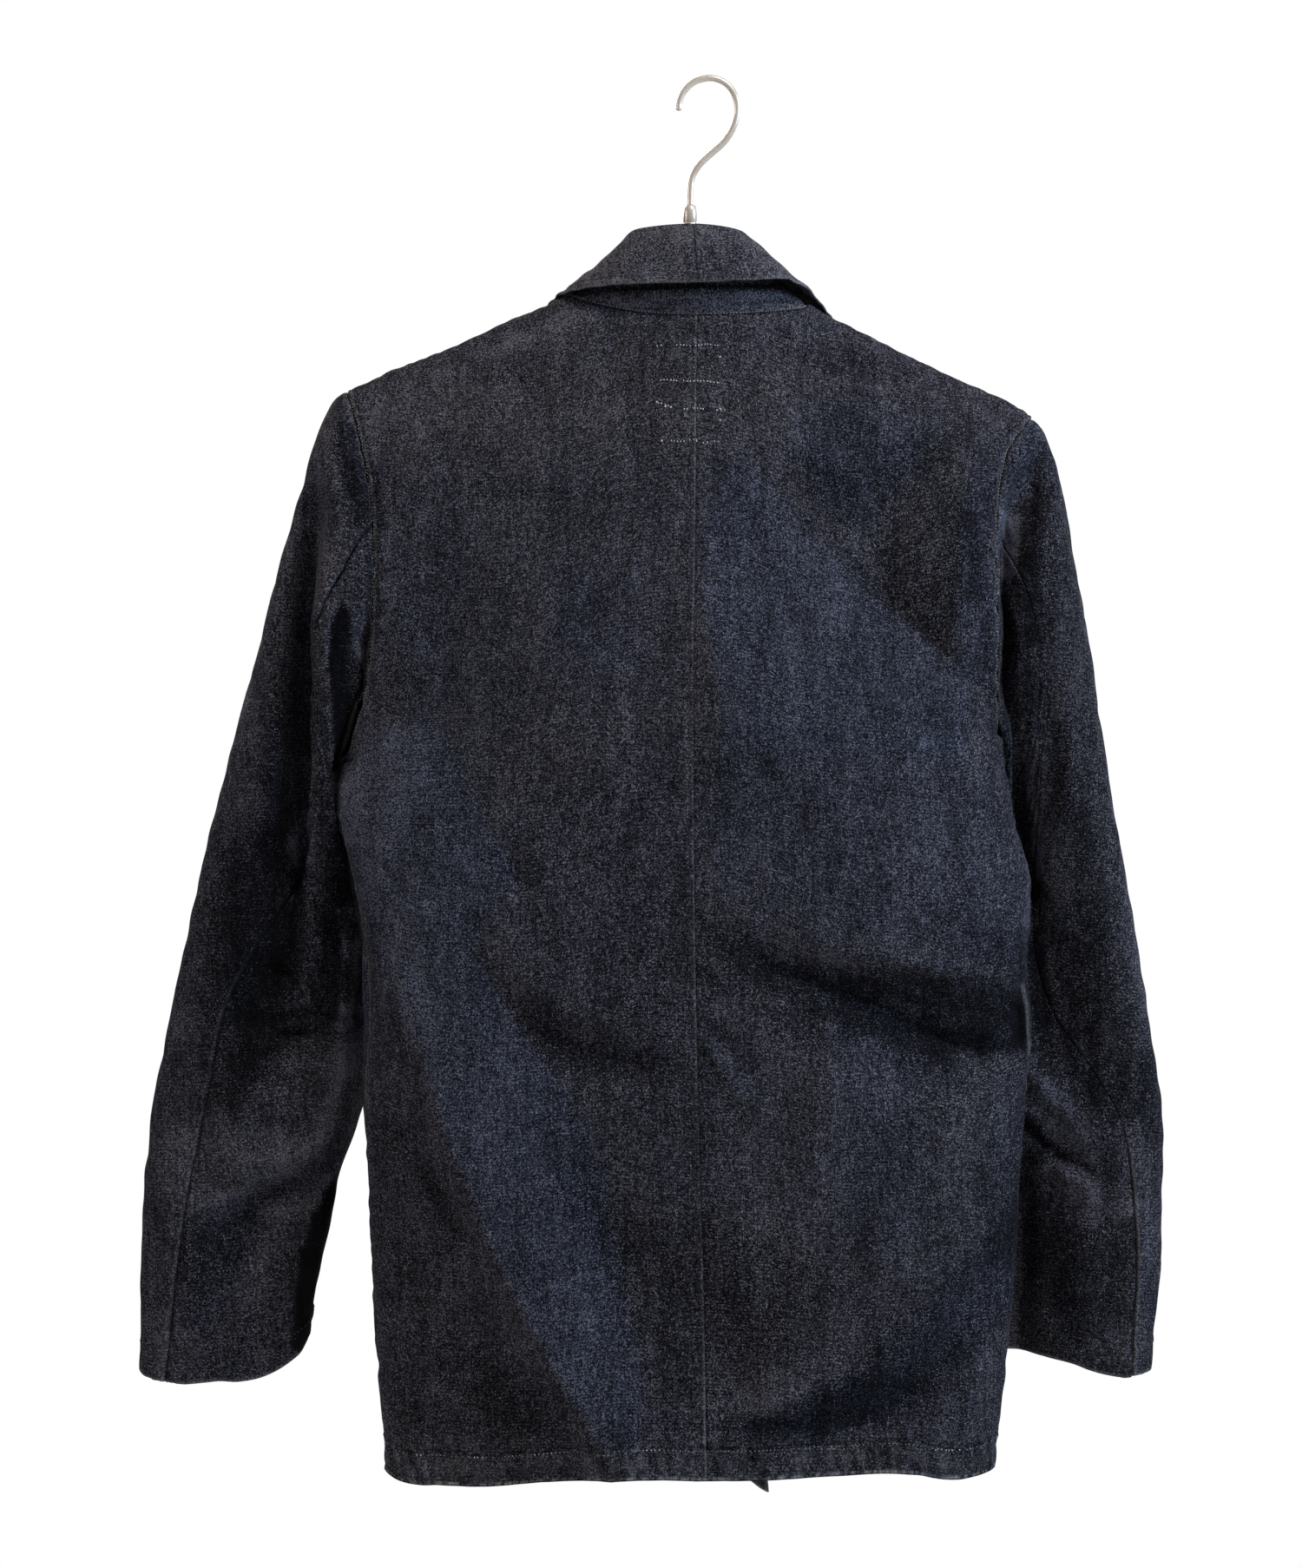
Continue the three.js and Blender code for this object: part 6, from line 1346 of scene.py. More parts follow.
def back_panel(side):
    v = body_rows(side)
    c = cluster(205.0, STEP)
    P = soften(back_surface(side, v[:, None], c[None, :]).copy(), v, pitT[side])
    U = arc(P, 1)
    W = U[:, -1:] - U
    H = arc(P, 0)
    T = H[-1:] - H
    N = grid_normals(P)
    sgn = -1.0 if N[..., 1].mean() > 0 else 1.0
    N = N * sgn
    p, q = pp(P0 + P[..., 0] / SCALE, P[..., 1]), qq(Q0 - P[..., 2] / SCALE, P[..., 1])
    side_x = SIGN[side] * U
    # small crumples everywhere, calmer near the shoulders
    h = 0.45 * CRUMPLE(side_x, H) + 0.22 * FINE(side_x, H)
    calm = smooth(np.minimum(U, W) / 12) * smooth(H / 16) * smooth(T / 12)
    h = h * calm
    h = h + seam_profile(U, H[:, :1] + 0 * U, PUCKER, depth=0.3, raised=0.35 if side == "L" else 0.05, stitch=3.0 if side == "L" else 0)
    armhole = (v > pitT[side])[:, None]
    h = h + np.where(armhole, seam_profile(W, H[:, -1:] + 0 * W, PUCKER, depth=0.8, raised=0.5, stitch=3.2, pucker=0.5), seam_profile(W, H[:, -1:] + 0 * W, PUCKER, depth=0.8, raised=0.3, stitch=0))
    h = h + seam_profile(T, side_x, PUCKER, depth=0.7, raised=0.2, stitch=0, pucker=0.3)
    # hem: turned up twice, stitched, roped by wear
    hem = 1 - smooth((H - 19.5) / 2.0)
    rope = 0.42 * HEMWAVE(side_x + 0.55 * H, H * 0.25)
    h = h + 0.75 * hem + rope * hem * smooth(H / 3) - 0.45 * np.exp(-(((H - 18.0) / 1.2) ** 2))
    h = h + 0.5 * HEMWAVE(side_x, H * 0.2) * np.exp(-(((H - 24) / 9.0) ** 2))
    P = P + N * h[..., None]
    marks = blank(P.shape[:2])
    wear = 0.75 * np.exp(-(((H - 1.3) / 0.8) ** 2)) * smooth(HEMWAVE(side_x * 4.0, H) * 0.6 + 0.5) + 0.1 * np.exp(-(((H - 10) / 7) ** 2)) * smooth(HEMWAVE(side_x * 1.3, H) * 0.5 + 0.3)
    if side == "R":
        wear = wear + 0.3 * patch(p, q, [(1174, 1134), (1177, 1132), (1183, 1158), (1186, 1188), (1186, 1216), (1183, 1216), (1183, 1190), (1180, 1160)], 1.5)
    wear = wear + ((0.15 + 0.16 * smooth((590 - q) / 60) + 0.25 * smooth((q - 1520) / 110)) if side == "L" else 0.0) * np.exp(-(((U - 0.8) / 0.5) ** 2)) * (0.7 + 0.3 * np.sin(H / 40.0)) + np.where(armhole, 0.1 * np.exp(-(((W - 2.0) / 0.9) ** 2)), 0.1 * np.exp(-(((W - 1.5) / 1.0) ** 2)))
    marks[..., 0] = wear
    # painted light and shade on the back's folds, with its lean to blue
    marks[..., 1], marks[..., 2] = paint_light_and_shade(p, q, LIGHT_AND_SHADE_BACK, 0.22)
    # painted shade along the neck edge, under the collar
    marks[..., 1] -= 1.3 * np.exp(-((T / 1.3) ** 2)) * (c < C_NECK[side] + 0.02)[None, :]
    # painted shade in the groove of the armhole seam
    marks[..., 1] -= np.where(armhole, 0.5 * np.exp(-((W / 1.1) ** 2)), 0.0)
    # the hem is a little darker, with streaks like faded denim; painted shade along the top edge of the turned-up hem
    # and along its folded bottom edge
    marks[..., 1] += -0.06 * hem + hem * 0.18 * HEMWAVE(side_x * 1.4 + 0.5 * H, H * 0.25) - 0.5 * np.exp(-(((H - 19.8) / 0.9) ** 2)) * (0.6 + 0.4 * HEMWAVE(side_x * 0.5, H)) - 0.9 * np.exp(-((H / 0.7) ** 2))
    # where grime with painted shade darkens the seams and the hem's stitching
    marks[..., 3] = (0.12 if side == "L" else 0.45) * np.exp(-(U / 1.0) ** 2) + 0.45 * np.exp(-(W / 1.0) ** 2) + 0.7 * np.exp(-(T / 1.4) ** 2) + 0.35 * np.exp(-(((H - 20.5) / 1.2) ** 2))
    grain = np.stack([side_x + (300 if side == "R" else 0), H, np.full(P.shape[:2], 0.0 if side == "L" else 37.0)], -1)
    word = "left" if side == "L" else "right"
    ob, out, NN = panel(f"cloth_back_{word}", P, DENIM, grain, marks, sgn)
    finish_piece(ob, f"back_{word}")
    return ob, out, NN, v


def front_panel(side):
    v = body_rows(side)[::1]
    c = cluster(225.0, STEP * 1.7)
    low = cluster(428.0, STEP * 1.9, ((0.0, 0.6), (4.0, 1.4), (16.0, 1.4), (24.0, None)), both=False)
    high = cluster(232.0, STEP * 1.9, both=False)
    v = np.concatenate([low * pitT[side], (1 - (1 - pitT[side]) * high[::-1])[1:]])
    v = v if len(v) % 2 else np.insert(v, 1, v[1] / 2)
    P = soften(front_surface(side, v[:, None], c[None, :]).copy(), v, pitT[side])
    U, H = arc(P, 1), arc(P, 0)
    W, T = U[:, -1:] - U, H[-1:] - H
    N = grid_normals(P)
    sgn = 1.0 if N[..., 1].mean() > 0 else -1.0
    N = N * sgn
    sx = SIGN[side] * U + 55
    h = (0.45 * CRUMPLE(sx, H + 900) + 0.22 * FINE(sx, H + 900)) * smooth(np.minimum(U, W) / 12) * smooth(H / 16) * smooth(T / 12)
    armhole = (v > pitT[side])[:, None]
    h = h + seam_profile(U, H[:, :1] + 0 * U, PUCKER, depth=0.25, raised=0.45, stitch=6.0, pucker=0.3)
    h = h + np.where(armhole, seam_profile(W, H[:, -1:] + 0 * W, PUCKER, depth=0.8, raised=0.5, stitch=3.2, pucker=0.5), seam_profile(W, H[:, -1:] + 0 * W, PUCKER, depth=0.8, raised=0.1, stitch=0))
    h = h + seam_profile(T, sx, PUCKER, depth=0.6, raised=0.2, stitch=0, pucker=0.3)
    hem = 1 - smooth((H - 19.5) / 2.0)
    h = h + 0.75 * hem + 0.42 * HEMWAVE(sx + 0.55 * H, H * 0.25) * hem * smooth(H / 3) - 0.45 * np.exp(-(((H - 18.0) / 1.2) ** 2))
    P = P + N * h[..., None]
    marks = blank(P.shape[:2])
    marks[..., 0] = 0.95 * np.exp(-(H / 1.5) ** 2) + 0.8 * np.exp(-(U / 1.6) ** 2) + 0.3 * np.exp(-(((W - 1.6) / 1.0) ** 2))
    marks[..., 1] = 0.02
    marks[..., 2] = np.clip(0.45 + 0.2 * CRUMPLE(sx * 0.4, H * 0.4), 0, 1)
    marks[..., 3] = 0.8 * np.exp(-(W / 1.3) ** 2) + 0.35 * np.exp(-(((H - 20.5) / 1.2) ** 2))
    grain = np.stack([sx + 700, H, np.full(P.shape[:2], 71.0 + 11 * SIGN[side])], -1)
    word = "left" if side == "L" else "right"
    ob, out, NN = panel(f"cloth_front_{word}", P, DENIM, grain, marks, sgn)
    finish_piece(ob, f"front_{word}")
    return ob, out, NN, v


def sleeve_panel(side, upper):
    s = cluster(590.0, STEP * 1.15, ((0.0, 0.4), (4.0, 0.7), (10.0, 1.2), (18.0, None)))
    c = cluster(165.0 if upper else 95.0, STEP * 1.1)
    P = sleeve_surface(side, upper, s[:, None], c[None, :]).copy()
    U, H = arc(P, 1), arc(P, 0)
    W, T = U[:, -1:] - U, H[-1:] - H
    N = grid_normals(P)
    mid = P[len(s) // 2]
    T0 = [float(f(s[len(s) // 2])) for f in SLEEVE[side]]
    ctr = at(np.array((T0[0] + T0[3]) / 2), np.array((T0[1] + T0[4]) / 2), np.array((T0[2] + T0[5]) / 2))
    sgn = 1.0 if ((mid - ctr) * N[len(s) // 2]).sum() > 0 else -1.0
    N = N * sgn
    p, q = pp(P0 + P[..., 0] / SCALE, P[..., 1]), qq(Q0 - P[..., 2] / SCALE, P[..., 1])
    facing = N[..., 1] < 0.1
    off = {"L": 1500.0, "R": 2100.0}[side] + (0 if upper else 300)
    sx = U + off
    calm = smooth(np.minimum(U, W) / 10) * smooth(H / 14) * smooth(T / 14)
    h = (0.3 * CRUMPLE(sx, H) + 0.22 * FINE(sx, H)) * calm
    # the sleeve's head stands a little over the armhole seam
    h = h + seam_profile(H, U, PUCKER, depth=0.9, raised=0.15, stitch=0, pucker=0.55) + 0.7 * smooth(H / 3) * np.exp(-(((H - 6) / 9.0) ** 2)) * (1 if upper else 0.3)
    first_b = not upper
    bs, fs = (U, W) if first_b else (W, U)
    shows = np.ones(P.shape[:2]) if side == "L" else 0.2 + 0.8 * smooth((q - 1290) / 60)
    h = h + shows * seam_profile(bs, H, PUCKER, depth=1.1, raised=(1.3 if side == "L" else 0.6) if upper else 0.0, stitch=0, pucker=0.5)
    h = h + seam_profile(fs, H, PUCKER, depth=0.7, raised=0.2, stitch=0, pucker=0.3)
    cuff = 1 - smooth((T - 19.0) / 2.0)
    h = h + 0.7 * cuff + 0.4 * HEMWAVE(sx + 0.55 * T, T * 0.25) * cuff * smooth(T / 3) - 0.4 * np.exp(-(((T - 17.5) / 1.2) ** 2))
    P = P + N * h[..., None]
    marks = blank(P.shape[:2])
    marks[..., 0] = 0.45 * np.exp(-(T / 1.3) ** 2) + ((0.12 if side == "L" else 0.22) if upper else 0.0) * shows * np.exp(-(((bs - 1.5) / 0.8) ** 2)) + 0.08 * np.exp(-(((H - 1.8) / 1.0) ** 2))
    # painted light and shade on the sleeve's folds, with its lean to blue
    tone, blue = paint_light_and_shade(p, q, LIGHT_AND_SHADE_SLEEVE[side], 0.22)
    # painted highlight on the top piece along the back seam, and painted shade on the under piece beside it
    if side == "L":
        crisp = (1 - smooth((s - 0.17) / 0.06))[:, None]
        tone = tone + crisp * (0.42 * np.exp(-(((bs - 1.5) / 0.8) ** 2)) if upper else -1.9 * np.exp(-((bs / 1.9) ** 2)))
    else:
        crisp = smooth((q - 1330) / 60)
        tone = tone + crisp * (0.3 * np.exp(-(((bs - 1.3) / 0.8) ** 2)) if upper else -0.8 * np.exp(-((bs / 1.2) ** 2)))
    # the painted light and shade goes only on the sleeve's back-facing side
    marks[..., 1] = np.where(facing, tone, 0.0)
    marks[..., 2] = np.where(facing, blue, 0.3)
    # where grime with painted shade darkens the seams and the cuff's stitching
    marks[..., 3] = shows ** 2 * 0.8 * np.exp(-(bs / 1.2) ** 2) + 0.6 * np.exp(-(fs / 1.2) ** 2) + 0.5 * np.exp(-(H / 1.0) ** 2) + 0.3 * np.exp(-(((T - 20) / 1.2) ** 2))
    lean = {"L": -0.11, "R": 0.045}[side]
    ca, sa = math.cos(lean), math.sin(lean)
    gx = P[..., 0] * ca - P[..., 2] * sa
    gz = P[..., 0] * sa + P[..., 2] * ca
    grain = np.stack([gx + off, gz, P[..., 1] + off / 50], -1)
    word = ("top_" if upper else "under_") + ("left" if side == "L" else "right")
    ob, out, NN = panel(f"cloth_sleeve_{word}", P, DENIM, grain, marks, sgn)
    finish_piece(ob, f"sleeve_{word}")
    return ob, out, NN, s


built = {}
for side in "LR":
    built["back" + side] = back_panel(side)
    built["front" + side] = front_panel(side)
    built["top" + side] = sleeve_panel(side, True)
    built["under" + side] = sleeve_panel(side, False)

# ------------------------------------------------------------------ collar and lapels
ROLL = curves([
    [-1, 693, 394, 39], [-0.75, 682, 350, 25], [-0.5, 698, 312, 3], [-0.35, 712, 288, -11],
    [-0.2, 733, 265, -20], [0, 797, 258.5, -24], [0.2, 852, 266.5, -20], [0.35, 870, 290, -11],
    [0.5, 887, 315, 3], [0.75, 907, 354, 25], [1, 913, 406, 39],
])
FALL = curves([
    [-1, 618, 424, 37], [-0.75, 622, 374, 24], [-0.5, 641, 343, 0], [-0.42, 660, 335, -16],
    [-0.3, 700, 329, -30], [-0.15, 755, 326, -37], [0, 803, 325, -39], [0.15, 855, 323, -37],
    [0.3, 903, 321, -30], [0.42, 928, 332, -16], [0.5, 951, 358, 0], [0.75, 970, 390, 24],
    [1, 984, 437, 37],
])


def point(c, u):
    return seen(c[0](u), c[1](u), c[2](u))


ENDS = {"L": float(level_of(694, 402)), "R": float(level_of(912, 414))}


def neckline(u):
    u = np.asarray(u, float)
    out = np.zeros(u.shape + (3,))
    r = np.minimum(1, np.abs(u))
    for side in "LR":
        on = (u < 0) if side == "L" else (u >= 0)
        b = on & (r <= 0.5)
        f = on & (r > 0.5)
        if b.any():
            out[b] = back_surface(side, np.ones(b.sum()), r[b] / 0.5 * C_NECK[side])
        if f.any():
            out[f] = front_surface(side, mix(1.0, ENDS[side], (r[f] - 0.5) / 0.5), np.zeros(f.sum()))
    return out


def collar_parts():
    u = np.linspace(-1, 1, 281)
    a, b, e = neckline(u), point(ROLL, u), point(FALL, u)
    up = b - a
    L = np.linalg.norm(up, axis=-1, keepdims=True)
    up = up / L
    w = cluster(42.0, STEP * 0.9)
    S = a[:, None] + up[:, None] * mix(-2.2, L - 4.5, w[None, :])[..., None]
    # the stand's foot lies inside the tops of the backs and fronts, where it is sewn
    inward = unit(np.stack([(CENTRE - P0) * SCALE - a[:, 0], 18 - a[:, 1], 0 * a[:, 0]], -1))
    rise = np.linalg.norm(S - S[:, :1], axis=-1)
    S = S + inward[:, None] * (1.5 * (1 - smooth((rise - 2.0) / 7.0)))[..., None]
    flat = e - b
    flat[:, 2] = 0
    long = np.linalg.norm(flat, axis=-1) > 1
    d = np.where(long[:, None], unit(flat), np.array([0, -1.0, 0]))
    m = b + (e - b) * 0.34 + d * 4.4 + np.array([0, 0, 4.6])
    b2 = b + d * 0.8
    x = cluster(52.0, STEP * 0.8)[None, :, None]
    F = b2[:, None] * (1 - x) ** 2 + m[:, None] * 2 * x * (1 - x) + e[:, None] * x * x
    return u, S, F


def collar():
    u, S, F = collar_parts()
    # stand
    U, H = arc(S, 0), arc(S, 1)
    H2 = H[:, -1:] - H
    U = U - U[len(u) // 2]
    N = grid_normals(S)
    ref = np.stack([np.zeros(len(u)), np.where(np.abs(u) < 0.6, -1.0, 0.3), np.zeros(len(u))], -1)[:, None]
    sgn = 1.0 if (N * ref).sum() > 0 else -1.0
    N = N * sgn
    h = 0.15 * FINE(U, H) * smooth(H / 5) + 0.25 * PUCKER(U, H * 0.3) * np.exp(-((H / 6) ** 2)) - 0.25 * np.exp(-(((H - 6.0) / 0.8) ** 2))
    S2 = S + N * h[..., None]
    marks = blank(S.shape[:2])
    marks[..., 0] = 0.25 * np.exp(-(H / 1.5) ** 2)
    sp, sq = pp(P0 + S2[..., 0] / SCALE, S2[..., 1]), qq(Q0 - S2[..., 2] / SCALE, S2[..., 1])
    # the stand is painted lighter where light falls on it, with painted shade along the neck seam at its foot and a
    # painted shadow under the fall's edge
    under = np.interp(sp, [640, 700, 750, 800, 912, 940], [342, 333, 329.5, 328, 328, 341])
    marks[..., 1] = 0.42 - 1.3 * np.exp(-((H / 1.2) ** 2)) - 2.0 * np.exp(-(((sq - under - 2.0) / 3.0) ** 2)) * (0.5 + 0.5 * smooth((sp - 690) / 50)) * (1 - 0.5 * smooth((sp - 880) / 20))
    marks[..., 2] = 0.2
    marks[..., 3] = 0.6 * np.exp(-(H / 1.0) ** 2)
    grain = np.stack([H + 3000, U, np.full(S.shape[:2], 301.0)], -1)
    stand, so, sn = panel("cloth_collar_stand", S2, DENIM, grain, marks, sgn)
    finish_piece(stand, "collar_stand")
    # fall, in two halves sewn at the centre back
    halves = {}
    U0, H0 = arc(F, 0), arc(F, 1)
    T0 = H0[:, -1:] - H0
    mid = len(u) // 2
    E0 = np.minimum(U0, U0[-1:] - U0)
    U0 = U0 - U0[mid]
    N = grid_normals(F)
    sgn = 1.0 if (N * ref).sum() > 0 else -1.0
    N = N * sgn
    h = (0.35 * CRUMPLE(U0, H0 * 1.4 + 50) + 0.25 * FINE(U0, H0)) * smooth(H0 / 8) * smooth(T0 / 6)
    h = h + 0.35 * PUCKER(U0, T0 * 0.3) * np.exp(-((T0 / 7) ** 2)) - 0.3 * np.exp(-(((T0 - 5.0) / 0.9) ** 2)) + 0.3 * (1 - smooth((T0 - 5.5) / 2))
    h = h - 0.25 * np.exp(-((U0 / 0.9) ** 2)) + 0.15 * np.exp(-(((np.abs(U0) - 2.5) / 2.0) ** 2))
    F2 = F + N * h[..., None]
    for word, part in (("left", slice(0, mid + 1)), ("right", slice(mid, len(u)))):
        G = F2[part].copy()
        if word == "left":
            G[-1, :, 0] -= 0.1
        else:
            G[0, :, 0] += 0.1
        U, H, T, E = U0[part], H0[part], T0[part], E0[part]
        marks = blank(G.shape[:2])
        marks[..., 0] = 0.42 * np.exp(-(T / 0.9) ** 2) + 0.4 * np.exp(-(E / 1.3) ** 2) + 0.06 * np.exp(-((H - 6) / 7.0) ** 2)
        pg = pp(P0 + G[..., 0] / SCALE, G[..., 1])
        # painted light on the fall, lighter towards both ends
        marks[..., 1] = 0.26 + 0.38 * (1 - smooth((pg - 700) / 70)) + 0.5 * smooth((pg - 840) / 50)
        marks[..., 2] = 0.12
        marks[..., 3] = 0.28 * np.exp(-((U / 0.8) ** 2))
        grain = np.stack([U + 3300, H, np.full(G.shape[:2], 331.0 if word == "left" else 337.0)], -1)
        ob, fo, fn = panel(f"cloth_collar_fall_{word}", G, DENIM, grain, marks, sgn)
        finish_piece(ob, f"collar_fall_{word}")
        halves[word] = (ob, fo, fn)
    fall = halves
    fo = np.concatenate([halves["left"][1], halves["right"][1][1:]])
    fn = np.concatenate([halves["left"][2], halves["right"][2][1:]])
    return u, stand, so, sn, fall, fo, fn


LAPEL = {
    "L": curves([
        [0, 696, 405, 631, 431], [0.1, 711, 442, 604, 470], [0.3, 743, 522, 640, 548],
        [0.6, 792, 645, 718, 664], [0.85, 830, 741, 792, 752], [1, 848, 789, 838, 796],
    ]),
    "R": curves([
        [0, 910, 417, 974, 444], [0.1, 897, 452, 1000, 483], [0.35, 873, 520, 962, 546],
        [0.7, 841, 611, 898, 630], [1, 820, 667, 842, 676],
    ]),
}


def lapel(side):
    T4 = LAPEL[side]
    v = cluster(205.0 if side == "L" else 135.0, STEP * 1.4)
    u = cluster(52.0, STEP * 0.9)
    p0, q0, p1, q1 = [f(v)[:, None] for f in T4]
    lift = 2.4 + 1.1 * np.exp(-((u[None] / 0.3) ** 2)) * (1 - v[:, None] * 0.6)
    P = on_front(side, mix(p0, p1, u[None]), mix(q0, q1, u[None]), lift)
    U, H = arc(P, 1), arc(P, 0)
    W, T = U[:, -1:] - U, H[-1:] - H
    N = grid_normals(P)
    sgn = 1.0 if N[..., 1].mean() > 0 else -1.0
    N = N * sgn
    E = np.minimum(W, H)
    h = 0.25 * FINE(U, H) * smooth(E / 6) * smooth(U / 5)
    h = h + 0.3 * PUCKER(H + U, E * 0.3) * np.exp(-((E / 6) ** 2)) - 0.3 * np.exp(-(((E - 5.0) / 0.9) ** 2)) + 0.25 * (1 - smooth((E - 5.5) / 2))
    P = P + N * np.maximum(h, -0.35)[..., None]
    marks = blank(P.shape[:2])
    marks[..., 0] = 0.9 * np.exp(-(E / 1.3) ** 2) + 0.3 * np.exp(-(U / 2.0) ** 2)
    marks[..., 1] = 0.04
    marks[..., 2] = 0.4
    grain = np.stack([U + 3700 + 200 * SIGN[side], H, np.full(P.shape[:2], 361.0)], -1)
    word = "left" if side == "L" else "right"
    ob, out, NN = panel(f"cloth_lapel_{word}", P, DENIM, grain, marks, sgn)
    finish_piece(ob, f"lapel_{word}")
    return ob, out, NN


CU, stand, stand_o, stand_n, fall, fall_o, fall_n = collar()
lapels = {s: lapel(s) for s in "LR"}

# ------------------------------------------------------------------ stitching
sew = {"body": [], "sleeve_left": [], "sleeve_right": [], "collar": [], "rows": [], "knots": [], "arm": [], "hem": []}
# centre back
P, N = line_on(built["backL"][1], built["backL"][2], 3.0, "first")
sew["body"] += stitch_line(P, N, seed=21)
for side in "LR":
    for key in ("back", "front"):
        ob, out, NN, v = built[key + side]
        # hem
        P, N = line_on(out, NN, 18.0, "low")
        if key == "back":
            gone = np.random.default_rng(41)
            for r in stitch_line(P, N, pitch=2.5, jitter=0.2, seed=22):
                x = P0 + r[0][0] / SCALE
                fresh = any(a < x < b for a, b in ((482, 496), (548, 560), (618, 652), (742, 762), (1074, 1100)))
                if gone.random() > (0.15 if fresh else 0.3):
                    sew["rows" if fresh else "hem"] += [r]
        else:
            sew["body"] += stitch_line(P, N, seed=22)
        # armhole, on the body's side of the seam
        P, N = line_on(out, NN, 1.5, "last")
        keep = v > pitT[side] + 0.004
        sew["arm"] += stitch_line(P[keep][:-2], N[keep][:-2], pitch=2.1, seed=23)
    # front edge
    ob, out, NN, v = built["front" + side]
    P, N = line_on(out, NN, 6.0, "first")
    keep = v < float(level_of(850, BREAK_Q)) * 0.985
    keep &= np.arange(len(v)) > 2
    sew["body"] += stitch_line(P[keep], N[keep], seed=24)
    word = "left" if side == "L" else "right"
    for key in ("top", "under"):
        ob, out, NN, s = built[key + side]
        P, N = line_on(out, NN, 17.5, "high")
        sew["sleeve_" + word] += stitch_line(P, N, seed=25)
    # lapel edge
    ob, out, NN = lapels[side]
    P, N = line_on(out, NN, 5.0, "last")
    sew["collar"] += stitch_line(P[4:-6], N[4:-6], seed=26)
# neck seam, on the stand, and the edge of the fall
P, N = line_on(stand_o, stand_n, 2.4, "first")
sew["neck"] = stitch_line(P, N, pitch=2.0, jitter=0.2, seed=27)
P, N = line_on(fall_o, fall_n, 5.0, "last")
sew["collar"] += stitch_line(P, N, seed=28)

# plain rows of short running stitches below the neck
def on_back(p, q):
    """The back's outer face at places of the draft sheet, seen from the viewing distance."""
    pts, nor = [], []
    for x, y in zip(p, q):
        side = "L" if x < 803 else "R"
        out, NN = built["back" + side][1], built["back" + side][2]
        key = "px" + side
        if key not in rows_of:
            rows_of[key] = (pp(P0 + out[..., 0] / SCALE, out[..., 1]), qq(Q0 - out[..., 2] / SCALE, out[..., 1]))
        a, b = rows_of[key]
        i = np.argmin((a - x) ** 2 + (b - y) ** 2)
        i = np.unravel_index(i, a.shape)
        # first-order step from the nearest grid point
        d = np.array([(x - a[i]) * SCALE, 0, -(y - b[i]) * SCALE])
        n = NN[i]
        d = d - n * (d @ n) / 1.0
        pts.append(out[i] + d + n * 0.08)
        nor.append(n)
    return np.array(pts), np.array(nor)


for pa, qa, pb, qb, seed, gone in (
    (755, 398, 764, 397, 31, 0.0), (778, 398, 836, 397, 35, 0.08),
    (759, 438, 782, 438, 32, 0.08), (786, 438, 828, 440, 36, 0.08),
    (756, 464, 776, 469, 33, 0.15), (786, 470, 840, 473, 37, 0.2),
    (759, 508, 766, 507, 34, 0.0), (771, 508, 804, 507, 38, 0.1), (808, 509, 830, 509, 39, 0.3),
):
    x = np.linspace(pa, pb, max(3, int((pb - pa) / 2)))
    y = mix(qa, qb, (x - pa) / (pb - pa)) + 0.8 * np.sin(x * 0.21 + seed)
    P, N = on_back(x, y)
    broken = np.random.default_rng(seed)
    sew["rows"] += [r for r in stitch_line(P, N, pitch=1.95, jitter=0.2, seed=seed) if broken.random() > gone]
# thicker knots of the same thread
for x, y in ((757, 463), (767, 468), (773, 469), (830, 471), (830, 484), (763, 508), (830, 411), (803, 508)):
    P, N = on_back([x - 0.5, x + 0.5], [y, y + 0.6])
    sew["knots"] += [(P[0], P[1] - P[0], N[0])]

for key, rows in sew.items():
    yarn = {"rows": THREAD_PALE, "knots": THREAD_PALE, "neck": THREAD_MID, "arm": THREAD_MID, "hem": THREAD_MID}.get(key, THREAD)
    r, length = {"rows": (0.43, 0.85), "knots": (0.6, 1.15), "arm": (0.3, 1.2), "hem": (0.35, 0.95), "neck": (0.5, 1.0)}.get(key, (0.33, 2.2))
    ob = stitches("stitching_" + key, rows, yarn, r=r, length=length)
    finish_piece(ob, None)


# ------------------------------------------------------------------ buttons
def lathe(profile, n, hole_ring=None):
    pr = np.array(profile, float)
    ang = np.arange(n) * 2 * np.pi / n
    V = np.stack([pr[:, None, 0] * np.cos(ang), pr[:, None, 0] * np.sin(ang), np.repeat(pr[:, None, 1], n, 1)], -1)
    m = len(pr)
    idx = np.arange(m * n).reshape(m, n)
    nx = np.roll(idx, -1, 1)
    q = np.stack([idx[:-1], nx[:-1], nx[1:], idx[1:]], -1).reshape(-1, 4)
    return V.reshape(-1, 3), q


def join(parts):
    V, Q, T, k = [], [], [], 0
    for v, q, t in parts:
        V.append(v)
        if len(q):
            Q.append(np.asarray(q) + k)
        if len(t):
            T.append(np.asarray(t) + k)
        k += len(v)
    return (
        np.concatenate(V),
        np.concatenate(Q) if Q else np.zeros((0, 4), int),
        np.concatenate(T) if T else np.zeros((0, 3), int),
    )


def frame_at(c, n):
    n = unit(n)
    x = unit(np.cross([0, 0, 1.0], n))
    return np.stack([x, np.cross(n, x), n], 1)


